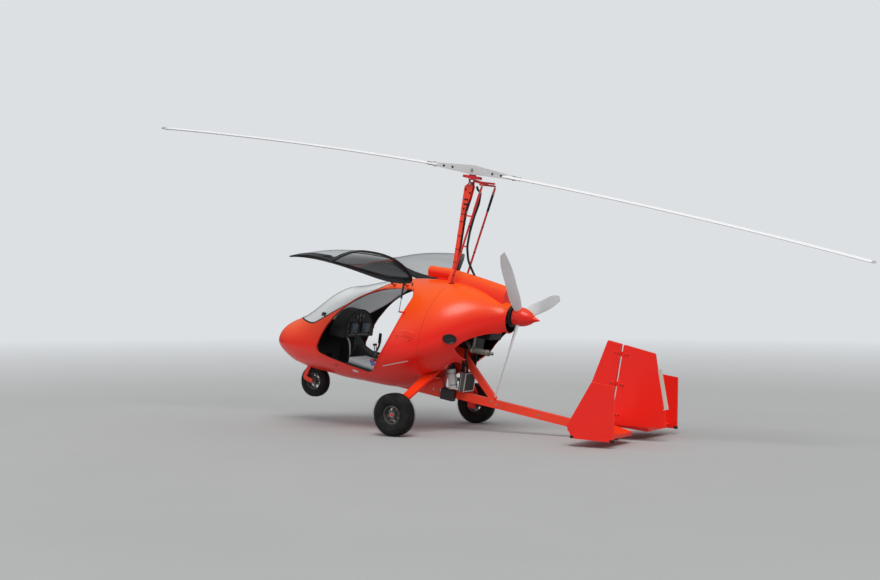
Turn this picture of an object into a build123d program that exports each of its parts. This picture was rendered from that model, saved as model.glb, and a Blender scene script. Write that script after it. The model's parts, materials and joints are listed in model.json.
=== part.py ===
from build123d import *
import os
from math import cos, hypot, radians, sin, tan

# Enclosed side-by-side gyrocopter, parked on its main wheels and tail wheel.
# Every piece is drawn in the level frame, in millimetres: X runs aft, Y to starboard and
# Z up from the main axle. PARKED then sets it down nose-up on the ground.

os.makedirs("parts", exist_ok=True)

# Attitude and clearances
PARK_ANGLE = 10.1
RUNNING_FIT = 0.05
SIDES = (("left", -1), ("right", 1))

# Main landing gear
MAIN_TYRE_DIAMETER = 440
MAIN_TYRE_WIDTH = 158
MAIN_RIM_DIAMETER = 190
MAIN_RIM_WIDTH = 104
TRACK = 1680
MAIN_AXLE_DIAMETER = 24
MAIN_AXLE_END = 16
LEG_THICKNESS = 24
LEG_TIP_WIDTH = 92
LEG_ROOT_WIDTH = 124
LEG_ROOT_X = 82
LEG_ROOT_HEIGHT = 530
LEG_ROOT_Y = 88
LEG_KNEE_HEIGHT = 128
WHEEL_TO_LEG = 8
BRAKE_DISC_DIAMETER = 140
BRAKE_DISC_THICKNESS = 6

# Nose wheel
NOSE_X = -1594
NOSE_HEIGHT = -42
NOSE_TYRE_DIAMETER = 350
NOSE_TYRE_WIDTH = 105
NOSE_RIM_DIAMETER = 184
NOSE_RIM_WIDTH = 78
NOSE_TRAIL = 62
NOSE_AXLE_DIAMETER = 18
TOW_PIN_LENGTH = 18
FORK_PLATE = 10
FORK_WIDTH = 46
STEER_TUBE_DIAMETER = 44
WELL_CLEARANCE = 30
WELL_WALL = 8

# Tail wheel
TAIL_WHEEL_X = 2048
TAIL_WHEEL_HEIGHT = 191
TAIL_WHEEL_DIAMETER = 100
TAIL_WHEEL_WIDTH = 34
TAIL_AXLE_DIAMETER = 12

# Tie-down hole across the keel
TIE_DOWN_HOLE = 13
TIE_DOWN_X = 1850

# Body form: section place, belly, height of the widest point, roof, half width
BODY_SECTIONS = (
    (-2137, 304, 334, 364, 30),
    (-2110, 272, 335, 430, 85),
    (-2030, 218, 340, 522, 165),
    (-1840, 136, 360, 640, 275),
    (-1520, 100, 400, 900, 405),
    (-1140, 98, 470, 1115, 530),
    (-660, 120, 560, 1270, 635),
    (-240, 190, 620, 1345, 660),
    (30, 330, 700, 1365, 635),
    (360, 600, 880, 1335, 470),
    (720, 955, 1120, 1255, 150),
)
NOSE_SOLID_SECTIONS = 2
CABIN_WALL = 14
COWL_WALL = 8
CABIN_END_X = 25
COWL_END_X = 716
FIREWALL_X = 84
FIREWALL_THICKNESS = 12

# Windscreen and doors, as side-view outlines
GLASS = 5
GLASS_GAP = 1
DOOR_GAP = 6
DOOR_BAND = 42
DOOR_THICKNESS = 14
DOOR_FRONT_TIP = (-1322, 372)
DOOR_REAR_FOOT = (-552, 300)
DOOR_REAR_MIDDLE = (-318, 749)
DOOR_REAR_HEAD = (-238, 1206)
DOOR_TOP_MIDDLE = (-905, 1022)
DOOR_FOOT_RADIUS = 75
DOOR_HEAD_RADIUS = 70
DOOR_TIP_RADIUS = 60

# Door hinge and gas strut
HINGE_X = -492
HINGE_Y = 322
HINGE_HEIGHT = 1243
HINGE_SLOPE = 6.7
HINGE_TOE = 5.0
HINGE_SPACING = 166
HINGE_BARREL = 38
HINGE_BARREL_DIAMETER = 16
HINGE_PIN_DIAMETER = 8
DOOR_OPEN_ANGLE = 91

# Mast and rotor head
MAST_X = -43
MAST_DEPTH = 46
MAST_WIDTH = 42
MAST_TOP = 2396
HUB_X = -4
TEETER_HEIGHT = 2535
HEAD_TILT = 1.0
PIVOT_HEIGHT = 2398
ROTOR_RADIUS = 4265
BLADE_CHORD = 222
BLADE_THICKNESS = 25
BLADE_DROOP = 160
BLADE_PITCH = 3.7
BLADE_ROOT = 425
HUB_BAR_HALF = 500
HUB_BAR_HEIGHT = 98
HUB_BAR_END_HEIGHT = 36
HUB_BAR_WIDTH = 64
ROTOR_GEAR_DIAMETER = 190

# Control rods
ROD_Y = 140
ROD_DIAMETER = 22
ROD_FOOT_X = 6
ROD_FOOT_HEIGHT = 1290
ROD_HOLE_DIAMETER = 66

# Propeller
PROP_HEIGHT = 1140
PROP_X = 800
PROP_RADIUS = 865
PROP_BLADES = 3
PROP_FIRST_ANGLE = -42
PROP_PITCH = 24
SPINNER_DIAMETER = 196
SPINNER_TIP_X = 1036
BACKPLATE_DIAMETER = 244

# Keel and tail
KEEL_WIDTH = 60
KEEL_DEPTH = 84
KEEL_HEIGHT = 200
KEEL_FRONT_X = -540
KEEL_END_X = 2076
FIN_THICKNESS = 42
RUDDER_HINGE_X = 1975
END_FIN_Y = 780
END_FIN_THICKNESS = 24
STABILISER_HEIGHT = 281
STABILISER_THICKNESS = 36

# Where the level frame stands on the ground: X so that the rotor is centred over the origin
TILT = radians(PARK_ANGLE)
DISC_TILT = radians(PARK_ANGLE + HEAD_TILT)
HUB_GROUND_X = HUB_X * cos(TILT) + TEETER_HEIGHT * sin(TILT) - BLADE_DROOP * sin(DISC_TILT)
PARKED = Location((-HUB_GROUND_X, 0, MAIN_TYRE_DIAMETER / 2), (0, PARK_ANGLE, 0))


def body_form(inset, sections):
    """The body's skin surface as a solid, drawn in by an inset."""
    with BuildPart() as form:
        for x, belly, waist, roof, half_width in sections:
            with BuildSketch(Plane((x, 0, waist), x_dir=(0, 1, 0), z_dir=(1, 0, 0))):
                with BuildLine():
                    EllipticalCenterArc((0, 0), half_width - inset, roof - waist - inset, 0, arc_size=180)
                    EllipticalCenterArc((0, 0), half_width - inset, waist - belly - inset, 180, arc_size=180)
                make_face()
        loft()
    return form.part


def side_prism(outline, near, far):
    """A prism on a side-view outline, between two distances from the centre plane."""
    with BuildPart() as prism:
        with BuildSketch(Plane.XZ.offset(-near)):
            add(outline)
        extrude(amount=near - far)
    return prism.part


OUTER_FORM = body_form(0, BODY_SECTIONS)
CABIN_INNER = body_form(CABIN_WALL, BODY_SECTIONS[NOSE_SOLID_SECTIONS:])
COWL_INNER = body_form(COWL_WALL, BODY_SECTIONS[NOSE_SOLID_SECTIONS:])


def widened(outline, spread):
    """An outline widened by a spread all round, redrawn with plain lines and arcs."""
    if not spread:
        return outline
    with BuildSketch() as wide:
        add(outline)
        offset(amount=spread)
    with BuildSketch() as redrawn:
        with BuildLine():
            for edge in wide.edges():
                if edge.geom_type == GeomType.LINE:
                    Line(edge @ 0, edge @ 1)
                else:
                    ThreePointArc(edge @ 0, edge @ 0.5, edge @ 1)
        make_face()
    return redrawn.sketch


def door_outline(spread):
    """The door's side-view outline, widened by a spread all round."""
    with BuildSketch() as outline:
        with BuildLine():
            foot = Line(DOOR_FRONT_TIP, DOOR_REAR_FOOT)
            rear = ThreePointArc(foot @ 1, DOOR_REAR_MIDDLE, DOOR_REAR_HEAD)
            ThreePointArc(rear @ 1, DOOR_TOP_MIDDLE, foot @ 0)
        make_face()
        corners = outline.vertices()
        fillet(corners.sort_by(Axis.X)[0], DOOR_TIP_RADIUS)
        fillet(outline.vertices().sort_by(Axis.Y)[-1], DOOR_HEAD_RADIUS)
        lowest = outline.vertices().filter_by(lambda v: abs(v.X - DOOR_REAR_FOOT[0]) < 1)
        fillet(lowest.sort_by(Axis.Y)[0], DOOR_FOOT_RADIUS)
    return widened(outline.sketch, spread)


# Windscreen outline in side view, closed above the roof
SCREEN_SILL_HEIGHT = 636
SCREEN_FRONT_X = -1900
SCREEN_CORNER_X = -1470
SCREEN_PILLAR_MIDDLE = (-1098, 893)
SCREEN_TOP = (-640, 1236)
SCREEN_TOP_X = -565
SCREEN_CORNER_RADIUS = 110


def screen_outline(spread):
    """The windscreen's side-view outline, widened by a spread all round."""
    with BuildSketch() as outline:
        with BuildLine():
            sill = Line((SCREEN_FRONT_X, SCREEN_SILL_HEIGHT), (SCREEN_CORNER_X, SCREEN_SILL_HEIGHT))
            pillar = ThreePointArc(sill @ 1, SCREEN_PILLAR_MIDDLE, SCREEN_TOP)
            head = Line(pillar @ 1, (SCREEN_TOP_X, BODY_SECTIONS[-3][3] + 60))
            Polyline(head @ 1, (SCREEN_FRONT_X, BODY_SECTIONS[-3][3] + 60), sill @ 0)
        make_face()
        corner = outline.vertices().filter_by(lambda v: abs(v.X - SCREEN_CORNER_X) < 1)
        fillet(corner, SCREEN_CORNER_RADIUS)
    return widened(outline.sketch, spread)


# Side prisms reach from near the centre plane to well outside the body
PRISM_NEAR = 40
PRISM_FAR = 900
DOOR_CUTS = [side_prism(door_outline(DOOR_GAP), s * PRISM_NEAR, s * PRISM_FAR) for _, s in SIDES]
SCREEN_CUT = side_prism(screen_outline(GLASS_GAP), -PRISM_FAR, PRISM_FAR)

WELL_RADIUS = hypot(NOSE_TRAIL + 100, NOSE_TYRE_WIDTH / 2) + WELL_CLEARANCE
STEER_X = NOSE_X - NOSE_TRAIL
WELL_TOP = NOSE_HEIGHT + NOSE_TYRE_DIAMETER / 2 + WELL_CLEARANCE


def hinge_line(side):
    """The direction of a door's hinge line, aft, up and away from the centre plane."""
    slope = radians(HINGE_SLOPE)
    toe = radians(HINGE_TOE)
    return Vector(cos(slope) * cos(toe), side * cos(slope) * sin(toe), sin(slope))


def hinge_point(along, side):
    """A point on a door's hinge line."""
    return Vector(HINGE_X, side * HINGE_Y, HINGE_HEIGHT) + hinge_line(side) * along


def hinge_plane(along, side):
    """A plane across a door's hinge line: local X outboard, local Y up, normal along the line."""
    toe = radians(HINGE_TOE)
    return Plane(
        hinge_point(along, side),
        x_dir=(-sin(toe), side * cos(toe), 0),
        z_dir=hinge_line(side) * side,
    )


KEEL_TOP = KEEL_HEIGHT + KEEL_DEPTH / 2
KEEL_BOTTOM = KEEL_HEIGHT - KEEL_DEPTH / 2

# What lies outside the body's skin round the nose wheel well
with BuildPart() as well_trim:
    with Locations((STEER_X, 0, WELL_TOP)):
        Box(4 * WELL_RADIUS, 4 * WELL_RADIUS, 4 * WELL_TOP, align=(Align.CENTER, Align.CENTER, Align.MAX))
    add(OUTER_FORM, mode=Mode.SUBTRACT)
WELL_TRIM = well_trim.part

# Rods pass through the roof in round holes, and the mast in a square one
with BuildPart() as roof_holes:
    for _, side in SIDES:
        with Locations((ROD_FOOT_X + 16, side * ROD_Y, ROD_FOOT_HEIGHT)):
            Cylinder(ROD_HOLE_DIAMETER / 2, 400)
    with Locations((MAST_X, 0, PROP_HEIGHT)):
        Box(MAST_DEPTH, MAST_WIDTH, PROP_HEIGHT)
ROOF_HOLES = roof_holes.part

# Keel frame: square keel with the tail wheel's fork, belly plates, pylon and rear strut
PYLON_FRONT_X = -136
PYLON_REAR_X = 48
PYLON_WIDTH = 60
BELLY_PLATE_BOTTOM = 128
BELLY_PLATE_FRONT_X = -520
SADDLE_DEPTH = 30
STRUT_TOP = (140, 690)
STRUT_FOOT = (660, 238)
STRUT_DEPTH = 68
STRUT_WIDTH = 44
FORK_SLOT = TAIL_WHEEL_WIDTH + 13
FORK_SLOT_X = TAIL_WHEEL_X - TAIL_WHEEL_DIAMETER / 2 - 10
FORK_TRIM = 12
with BuildPart() as keel_frame:
    with BuildSketch(Plane.XZ) as keel_side:
        with BuildLine():
            Polyline(
                (KEEL_FRONT_X, KEEL_BOTTOM),
                (BELLY_PLATE_FRONT_X, BELLY_PLATE_BOTTOM),
                (PYLON_REAR_X, BELLY_PLATE_BOTTOM),
                (PYLON_REAR_X + 60, KEEL_BOTTOM),
                (FORK_SLOT_X - 60, KEEL_BOTTOM),
                (FORK_SLOT_X, KEEL_BOTTOM + FORK_TRIM),
                (KEEL_END_X, KEEL_BOTTOM + FORK_TRIM + 8),
                (KEEL_END_X, KEEL_TOP - FORK_TRIM),
                (FORK_SLOT_X, KEEL_TOP),
                (PYLON_REAR_X, KEEL_TOP),
                (PYLON_REAR_X, LEG_ROOT_HEIGHT),
                (PYLON_FRONT_X, LEG_ROOT_HEIGHT),
                (PYLON_FRONT_X, KEEL_TOP),
                (KEEL_FRONT_X, KEEL_TOP),
                close=True,
            )
        make_face()
    extrude(amount=KEEL_WIDTH / 2, both=True)
    with BuildSketch(Plane.XZ):
        with BuildLine():
            Line(STRUT_TOP, STRUT_FOOT)
        trace(line_width=STRUT_DEPTH)
    extrude(amount=STRUT_WIDTH / 2, both=True)
    with Locations((LEG_ROOT_X, 0, LEG_ROOT_HEIGHT)):
        Box(
            LEG_ROOT_WIDTH + 12,
            2 * LEG_ROOT_Y,
            SADDLE_DEPTH,
            align=(Align.CENTER, Align.CENTER, Align.MIN),
        )
    with Locations((PYLON_REAR_X, 0, LEG_ROOT_HEIGHT)):
        Box(
            LEG_ROOT_WIDTH, PYLON_WIDTH, SADDLE_DEPTH, align=(Align.MIN, Align.CENTER, Align.MIN)
        )
    with Locations((FORK_SLOT_X, 0, KEEL_HEIGHT)):
        Box(
            TAIL_WHEEL_DIAMETER * 2,
            FORK_SLOT,
            TAIL_WHEEL_DIAMETER * 2,
            align=(Align.MIN, Align.CENTER, Align.CENTER),
            mode=Mode.SUBTRACT,
        )
    with Locations(Plane.XZ * Location((TAIL_WHEEL_X, TAIL_WHEEL_HEIGHT, 0))):
        Cylinder(TAIL_AXLE_DIAMETER / 2, KEEL_WIDTH + 8)
    with Locations(Plane.XZ * Location((TIE_DOWN_X, KEEL_HEIGHT, 0))):
        Cylinder(TIE_DOWN_HOLE / 2, 2 * KEEL_WIDTH, mode=Mode.SUBTRACT)
keel_frame.part.label = "keel_frame"
export_step(keel_frame.part.moved(PARKED), "parts/keel_frame.step")

# Tail wheel, turning on the axle in the keel's fork
with BuildPart() as tail_wheel:
    with BuildSketch(Plane.YZ):
        with Locations((0, (TAIL_WHEEL_DIAMETER + TAIL_AXLE_DIAMETER) / 4 + RUNNING_FIT)):
            RectangleRounded(
                TAIL_WHEEL_WIDTH, (TAIL_WHEEL_DIAMETER - TAIL_AXLE_DIAMETER) / 2, TAIL_WHEEL_WIDTH / 4
            )
    revolve(axis=Axis.Y)
tail_wheel.part.move(Location((TAIL_WHEEL_X, 0, TAIL_WHEEL_HEIGHT)))
tail_wheel.part.label = "tail_wheel"
export_step(tail_wheel.part.moved(PARKED), "parts/tail_wheel.step")

# Brake discs stand just inboard of the rims, in calipers on the gear legs
MAIN_HUB_WIDTH = 98
BRAKE_DISC_Y = TRACK / 2 - MAIN_HUB_WIDTH / 2 - BRAKE_DISC_THICKNESS / 2 + 1
CALIPER_LENGTH = 54
CALIPER_FOOT = 42
CALIPER_TOP = 80
CALIPER_OUTBOARD = 12
CALIPER_CLEAR = 2

# Main gear legs: flat leaves from the saddle down to the wheel axles
AXLE_Y = TRACK / 2
LEG_END_Y = AXLE_Y - MAIN_TYRE_WIDTH / 2 - WHEEL_TO_LEG
LEG_END_RADIUS = 46
LEG_BEND_RADIUS = 70
LEG_CLEAR = 3
LEG_SLOT_FRONT_X = -12
with BuildPart() as gear_legs:
    for _, side in SIDES:
        with BuildSketch(Plane.YZ.offset(LEG_ROOT_X)):
            with BuildLine():
                FilletPolyline(
                    (side * LEG_ROOT_Y, LEG_ROOT_HEIGHT - LEG_THICKNESS / 2),
                    (side * (LEG_ROOT_Y + 60), LEG_ROOT_HEIGHT - LEG_THICKNESS / 2),
                    (side * (LEG_END_Y - LEG_THICKNESS / 2), LEG_KNEE_HEIGHT),
                    (side * (LEG_END_Y - LEG_THICKNESS / 2), -LEG_END_RADIUS),
                    radius=LEG_BEND_RADIUS,
                )
            trace(line_width=LEG_THICKNESS)
        extrude(amount=2 * LEG_ROOT_WIDTH, both=True)
    with BuildSketch(Plane.XY):
        for _, side in SIDES:
            with BuildLine():
                Polyline(
                    (LEG_ROOT_X - LEG_ROOT_WIDTH / 2, 0),
                    (LEG_ROOT_X - LEG_ROOT_WIDTH / 2, side * LEG_ROOT_Y),
                    (-LEG_TIP_WIDTH / 2, side * LEG_END_Y),
                    (LEG_TIP_WIDTH / 2, side * LEG_END_Y),
                    (LEG_ROOT_X + LEG_ROOT_WIDTH / 2, side * LEG_ROOT_Y),
                    (LEG_ROOT_X + LEG_ROOT_WIDTH / 2, 0),
                    close=True,
                )
            make_face()
    extrude(amount=LEG_ROOT_HEIGHT * 2, both=True, mode=Mode.INTERSECT)
    add(keel_frame.part, mode=Mode.SUBTRACT)
    caliper_reach = BRAKE_DISC_Y + CALIPER_OUTBOARD - LEG_END_Y + LEG_THICKNESS / 2
    for _, side in SIDES:
        with Locations((0, side * (BRAKE_DISC_Y + CALIPER_OUTBOARD - caliper_reach / 2), CALIPER_FOOT)):
            Box(
                CALIPER_LENGTH,
                caliper_reach,
                CALIPER_TOP - CALIPER_FOOT,
                align=(Align.CENTER, Align.CENTER, Align.MIN),
            )
        with Locations(Plane.XZ * Location((0, 0, -side * BRAKE_DISC_Y))):
            Cylinder(
                BRAKE_DISC_DIAMETER / 2 + CALIPER_CLEAR,
                BRAKE_DISC_THICKNESS + 2 * CALIPER_CLEAR,
                mode=Mode.SUBTRACT,
            )
    with Locations(Plane.XZ):
        Cylinder(MAIN_AXLE_DIAMETER / 2, TRACK + MAIN_HUB_WIDTH + 2 * MAIN_AXLE_END)
        Cylinder(
            MAIN_AXLE_DIAMETER / 2 + 1, 2 * (LEG_END_Y - LEG_THICKNESS), mode=Mode.SUBTRACT
        )
gear_legs.part.label = "gear_legs"
export_step(gear_legs.part.moved(PARKED), "parts/gear_legs.step")

# Slots that the legs pass through, in the cabin shell and the cowl
with BuildPart() as leg_slots:
    for _, side in SIDES:
        with BuildSketch(Plane.YZ.offset(LEG_SLOT_FRONT_X)):
            with BuildLine():
                Polyline(
                    (0, LEG_ROOT_HEIGHT - LEG_THICKNESS / 2),
                    (side * (LEG_ROOT_Y + 60), LEG_ROOT_HEIGHT - LEG_THICKNESS / 2),
                    (side * (LEG_END_Y - LEG_THICKNESS / 2), LEG_KNEE_HEIGHT),
                )
            trace(line_width=LEG_THICKNESS + 2 * LEG_CLEAR)
        extrude(amount=LEG_ROOT_X + LEG_ROOT_WIDTH / 2 + LEG_CLEAR - LEG_SLOT_FRONT_X)

# Cabin shell: hollow, open at the back, with the door and windscreen openings cut
with BuildPart() as cabin_shell:
    add(OUTER_FORM)
    split(bisect_by=Plane.YZ.offset(CABIN_END_X), keep=Keep.BOTTOM)
    add(CABIN_INNER, mode=Mode.SUBTRACT)
    for cut in DOOR_CUTS:
        add(cut, mode=Mode.SUBTRACT)
    add(SCREEN_CUT, mode=Mode.SUBTRACT)
    with Locations((STEER_X, 0, WELL_TOP + WELL_WALL)):
        Cylinder(
            WELL_RADIUS + WELL_WALL,
            WELL_TOP + WELL_WALL,
            align=(Align.CENTER, Align.CENTER, Align.MAX),
        )
    add(WELL_TRIM, mode=Mode.SUBTRACT)
    with Locations((STEER_X, 0, WELL_TOP)):
        Cylinder(
            WELL_RADIUS,
            2 * WELL_TOP,
            align=(Align.CENTER, Align.CENTER, Align.MAX),
            mode=Mode.SUBTRACT,
        )
    with Locations((STEER_X, 0, WELL_TOP)):
        Cylinder(STEER_TUBE_DIAMETER / 2 + RUNNING_FIT, 80, mode=Mode.SUBTRACT)
    add(ROOF_HOLES, mode=Mode.SUBTRACT)
    add(keel_frame.part, mode=Mode.SUBTRACT)
    add(leg_slots.part, mode=Mode.SUBTRACT)
cabin_shell_body = cabin_shell.part



def hinge_slab(start, thickness, side):
    """A plane across the hinge line whose extrusion covers a stretch from a start along it."""
    return hinge_plane(start if side > 0 else start + thickness, side)


# Door hinges: a pin on a roof knuckle, and a barrel on the door that turns on it
HINGE_LEAF = 9
HINGE_LEAF_BEND = (34, -38)
HINGE_LEAF_FOOT = (34, -68)
KNUCKLE_LENGTH = 28
KNUCKLE_FOOT = 42
KNUCKLE_GAP = 0.5


def hinge_stations():
    """Distances of a door's two hinges along its hinge line."""
    return (-HINGE_SPACING / 2, HINGE_SPACING / 2)


def roof_knuckles(side):
    """The fixed halves of one door's hinges, with their pins."""
    half = HINGE_BARREL / 2
    with BuildPart() as knuckles:
        for along in hinge_stations():
            with BuildSketch(hinge_slab(along + KNUCKLE_GAP, half, side)):
                Circle(HINGE_BARREL_DIAMETER / 2)
                with Locations((-KNUCKLE_LENGTH / 2, -KNUCKLE_FOOT / 2)):
                    Rectangle(KNUCKLE_LENGTH, KNUCKLE_FOOT)
            extrude(amount=half)
            with BuildSketch(hinge_plane(along, side)):
                Circle(HINGE_PIN_DIAMETER / 2)
            extrude(amount=half, both=True)
    return knuckles.part


def door_straps(side):
    """The moving halves of one door's hinges, up to the door's top band."""
    half = HINGE_BARREL / 2
    with BuildPart() as straps:
        for along in hinge_stations():
            with BuildSketch(hinge_slab(along - half, half, side)):
                Circle(HINGE_BARREL_DIAMETER / 2)
                with BuildLine():
                    Polyline((0, 0), HINGE_LEAF_BEND, HINGE_LEAF_FOOT)
                trace(line_width=HINGE_LEAF)
                Circle(HINGE_PIN_DIAMETER / 2 + RUNNING_FIT, mode=Mode.SUBTRACT)
            extrude(amount=half)
    return straps.part


# Gas struts, in the plane across the hinge line: distances outboard and up from the hinge
STRUT_ALONG = 140
STRUT_BODY_PIN = (166, -276)
STRUT_DOOR_PIN_CLOSED = (46, -104)
STRUT_TUBE_DIAMETER = 20
STRUT_ROD_DIAMETER = 8
STRUT_TUBE_LENGTH = 180
STRUT_ROD_INSIDE = 22
STRUT_EYE = 16
STRUT_PIN_DIAMETER = 8
STRUT_EYE_THICKNESS = 10
STRUT_PIN_GAP = 1
BRACKET_START = 12
BRACKET_THICKNESS = 12
BRACKET_REACH = 110
BRACKET_FOOT = 74
STRUT_STUB_START = STRUT_ALONG + STRUT_EYE_THICKNESS / 2 + STRUT_PIN_GAP
STRUT_STUB_LENGTH = STRUT_ALONG + BRACKET_START + 2 - STRUT_STUB_START
DOOR_BRACKET_PATH = ((0, 0), (5, 15), (27, 15))
DOOR_BRACKET_WIDTH = 8


def turned(point, angle):
    """A point turned about the hinge, in the plane across it."""
    a = radians(angle)
    return (point[0] * cos(a) - point[1] * sin(a), point[0] * sin(a) + point[1] * cos(a))


STRUT_DOOR_PIN = turned(STRUT_DOOR_PIN_CLOSED, DOOR_OPEN_ANGLE)
STRUT_SPAN = hypot(STRUT_DOOR_PIN[0] - STRUT_BODY_PIN[0], STRUT_DOOR_PIN[1] - STRUT_BODY_PIN[1])


def strut_axis_plane(side, start):
    """A plane across a gas strut at a distance from its door pin, with its normal down the strut."""
    base = hinge_plane(STRUT_ALONG, side)
    foot = base.from_local_coords(Vector(*STRUT_BODY_PIN, 0))
    top = base.from_local_coords(Vector(*STRUT_DOOR_PIN, 0))
    along = (foot - top).normalized()
    return Plane(top + along * start, x_dir=base.z_dir, z_dir=along)


with BuildPart() as cabin_shell:
    add(cabin_shell_body)
    for _, side in SIDES:
        add(roof_knuckles(side))
        with BuildSketch(hinge_slab(STRUT_STUB_START, STRUT_STUB_LENGTH, side)):
            with Locations(STRUT_BODY_PIN):
                Circle(STRUT_PIN_DIAMETER / 2)
        extrude(amount=STRUT_STUB_LENGTH)
        with BuildSketch(hinge_slab(STRUT_ALONG + BRACKET_START, BRACKET_REACH, side)):
            with Locations(STRUT_BODY_PIN):
                Circle(STRUT_EYE / 2)
        extrude(amount=BRACKET_REACH)
        foot_start = STRUT_ALONG + BRACKET_START + BRACKET_REACH - BRACKET_THICKNESS
        with BuildSketch(hinge_slab(foot_start, BRACKET_THICKNESS, side)):
            with Locations((STRUT_BODY_PIN[0] + BRACKET_FOOT / 2, STRUT_BODY_PIN[1])):
                Rectangle(BRACKET_FOOT, STRUT_EYE)
        extrude(amount=BRACKET_THICKNESS)
cabin_shell.part.label = "cabin_shell"
export_step(cabin_shell.part.moved(PARKED), "parts/cabin_shell.step")

# Windscreen, seated edge to edge in the shell's opening
SCREEN_INSET = 2
with BuildPart() as windscreen:
    add(body_form(SCREEN_INSET, BODY_SECTIONS))
    add(body_form(SCREEN_INSET + GLASS, BODY_SECTIONS), mode=Mode.SUBTRACT)
    add(SCREEN_CUT, mode=Mode.INTERSECT)
windscreen.part.label = "windscreen"
export_step(windscreen.part.moved(PARKED), "parts/windscreen.step")

# Doors, drawn closed in their openings and then swung open on their hinge lines
DOOR_GLASS_INSET = 6
DOOR_TRIM = (3, 0, -6)
with BuildPart() as door_blank:
    add(side_prism(door_outline(0), -PRISM_FAR, PRISM_FAR))
    add(side_prism(door_outline(0), -PRISM_FAR, PRISM_FAR).moved(Location(DOOR_TRIM)), mode=Mode.INTERSECT)
DOOR_PANE = side_prism(door_outline(-DOOR_BAND), -PRISM_FAR, PRISM_FAR)
DOOR_INNER = body_form(DOOR_THICKNESS, BODY_SECTIONS[NOSE_SOLID_SECTIONS:])
GLASS_INNER = body_form(DOOR_GLASS_INSET + GLASS, BODY_SECTIONS[NOSE_SOLID_SECTIONS:])
with BuildPart() as door_bands:
    add(OUTER_FORM)
    add(DOOR_INNER, mode=Mode.SUBTRACT)
    add(door_blank.part, mode=Mode.INTERSECT)
    add(DOOR_PANE, mode=Mode.SUBTRACT)
with BuildPart() as door_panes:
    add(body_form(DOOR_GLASS_INSET, BODY_SECTIONS))
    add(GLASS_INNER, mode=Mode.SUBTRACT)
    add(DOOR_PANE, mode=Mode.INTERSECT)
for name, side in SIDES:
    swing = Axis(hinge_point(0, side), hinge_line(side))
    own = 0 if side < 0 else -1
    with BuildPart() as door_frame:
        add(door_bands.part.solids().sort_by(Axis.Y)[own])
        add(door_straps(side))
        with BuildSketch(hinge_plane(STRUT_ALONG, side)):
            with Locations(STRUT_DOOR_PIN_CLOSED):
                Circle(STRUT_PIN_DIAMETER / 2)
        extrude(amount=BRACKET_START + 2, both=True)
        with BuildSketch(hinge_slab(STRUT_ALONG + BRACKET_START, BRACKET_THICKNESS, side)):
            with Locations(STRUT_DOOR_PIN_CLOSED):
                Circle(STRUT_EYE / 2)
                with BuildLine():
                    Polyline(*DOOR_BRACKET_PATH)
                trace(line_width=DOOR_BRACKET_WIDTH)
        extrude(amount=BRACKET_THICKNESS)
    with BuildPart() as door_glass:
        add(door_panes.part.solids().sort_by(Axis.Y)[own])
    door_frame.part = door_frame.part.rotate(swing, side * DOOR_OPEN_ANGLE)
    door_glass.part = door_glass.part.rotate(swing, side * DOOR_OPEN_ANGLE)
    door_frame.part.label = f"{name}_door_frame"
    export_step(door_frame.part.moved(PARKED), f"parts/{name}_door_frame.step")
    door_glass.part.label = f"{name}_door_glass"
    export_step(door_glass.part.moved(PARKED), f"parts/{name}_door_glass.step")

    with BuildPart() as strut_tube:
        with BuildSketch(strut_axis_plane(side, STRUT_EYE / 2 - 1)):
            Circle(STRUT_TUBE_DIAMETER / 2)
        extrude(amount=STRUT_TUBE_LENGTH)
        with BuildSketch(hinge_plane(STRUT_ALONG, side)):
            with Locations(STRUT_DOOR_PIN):
                Circle(STRUT_EYE / 2)
        extrude(amount=STRUT_EYE_THICKNESS / 2, both=True)
        with BuildSketch(hinge_plane(STRUT_ALONG, side)):
            with Locations(STRUT_DOOR_PIN):
                Circle(STRUT_PIN_DIAMETER / 2 + RUNNING_FIT)
        extrude(amount=20, both=True, mode=Mode.SUBTRACT)
        with BuildSketch(strut_axis_plane(side, STRUT_EYE / 2 + 6)):
            Circle(STRUT_ROD_DIAMETER / 2 + RUNNING_FIT)
        extrude(amount=STRUT_TUBE_LENGTH, mode=Mode.SUBTRACT)
    strut_tube.part.label = f"{name}_strut_tube"
    export_step(strut_tube.part.moved(PARKED), f"parts/{name}_strut_tube.step")

    with BuildPart() as strut_rod:
        rod_start = STRUT_TUBE_LENGTH + STRUT_EYE / 2 - STRUT_ROD_INSIDE
        with BuildSketch(strut_axis_plane(side, rod_start)):
            Circle(STRUT_ROD_DIAMETER / 2)
        extrude(amount=STRUT_SPAN - rod_start - STRUT_EYE / 2 + 1)
        with BuildSketch(hinge_plane(STRUT_ALONG, side)):
            with Locations(STRUT_BODY_PIN):
                Circle(STRUT_EYE / 2)
        extrude(amount=STRUT_EYE_THICKNESS / 2, both=True)
    strut_rod.part.label = f"{name}_strut_rod"
    export_step(strut_rod.part.moved(PARKED), f"parts/{name}_strut_rod.step")

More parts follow.
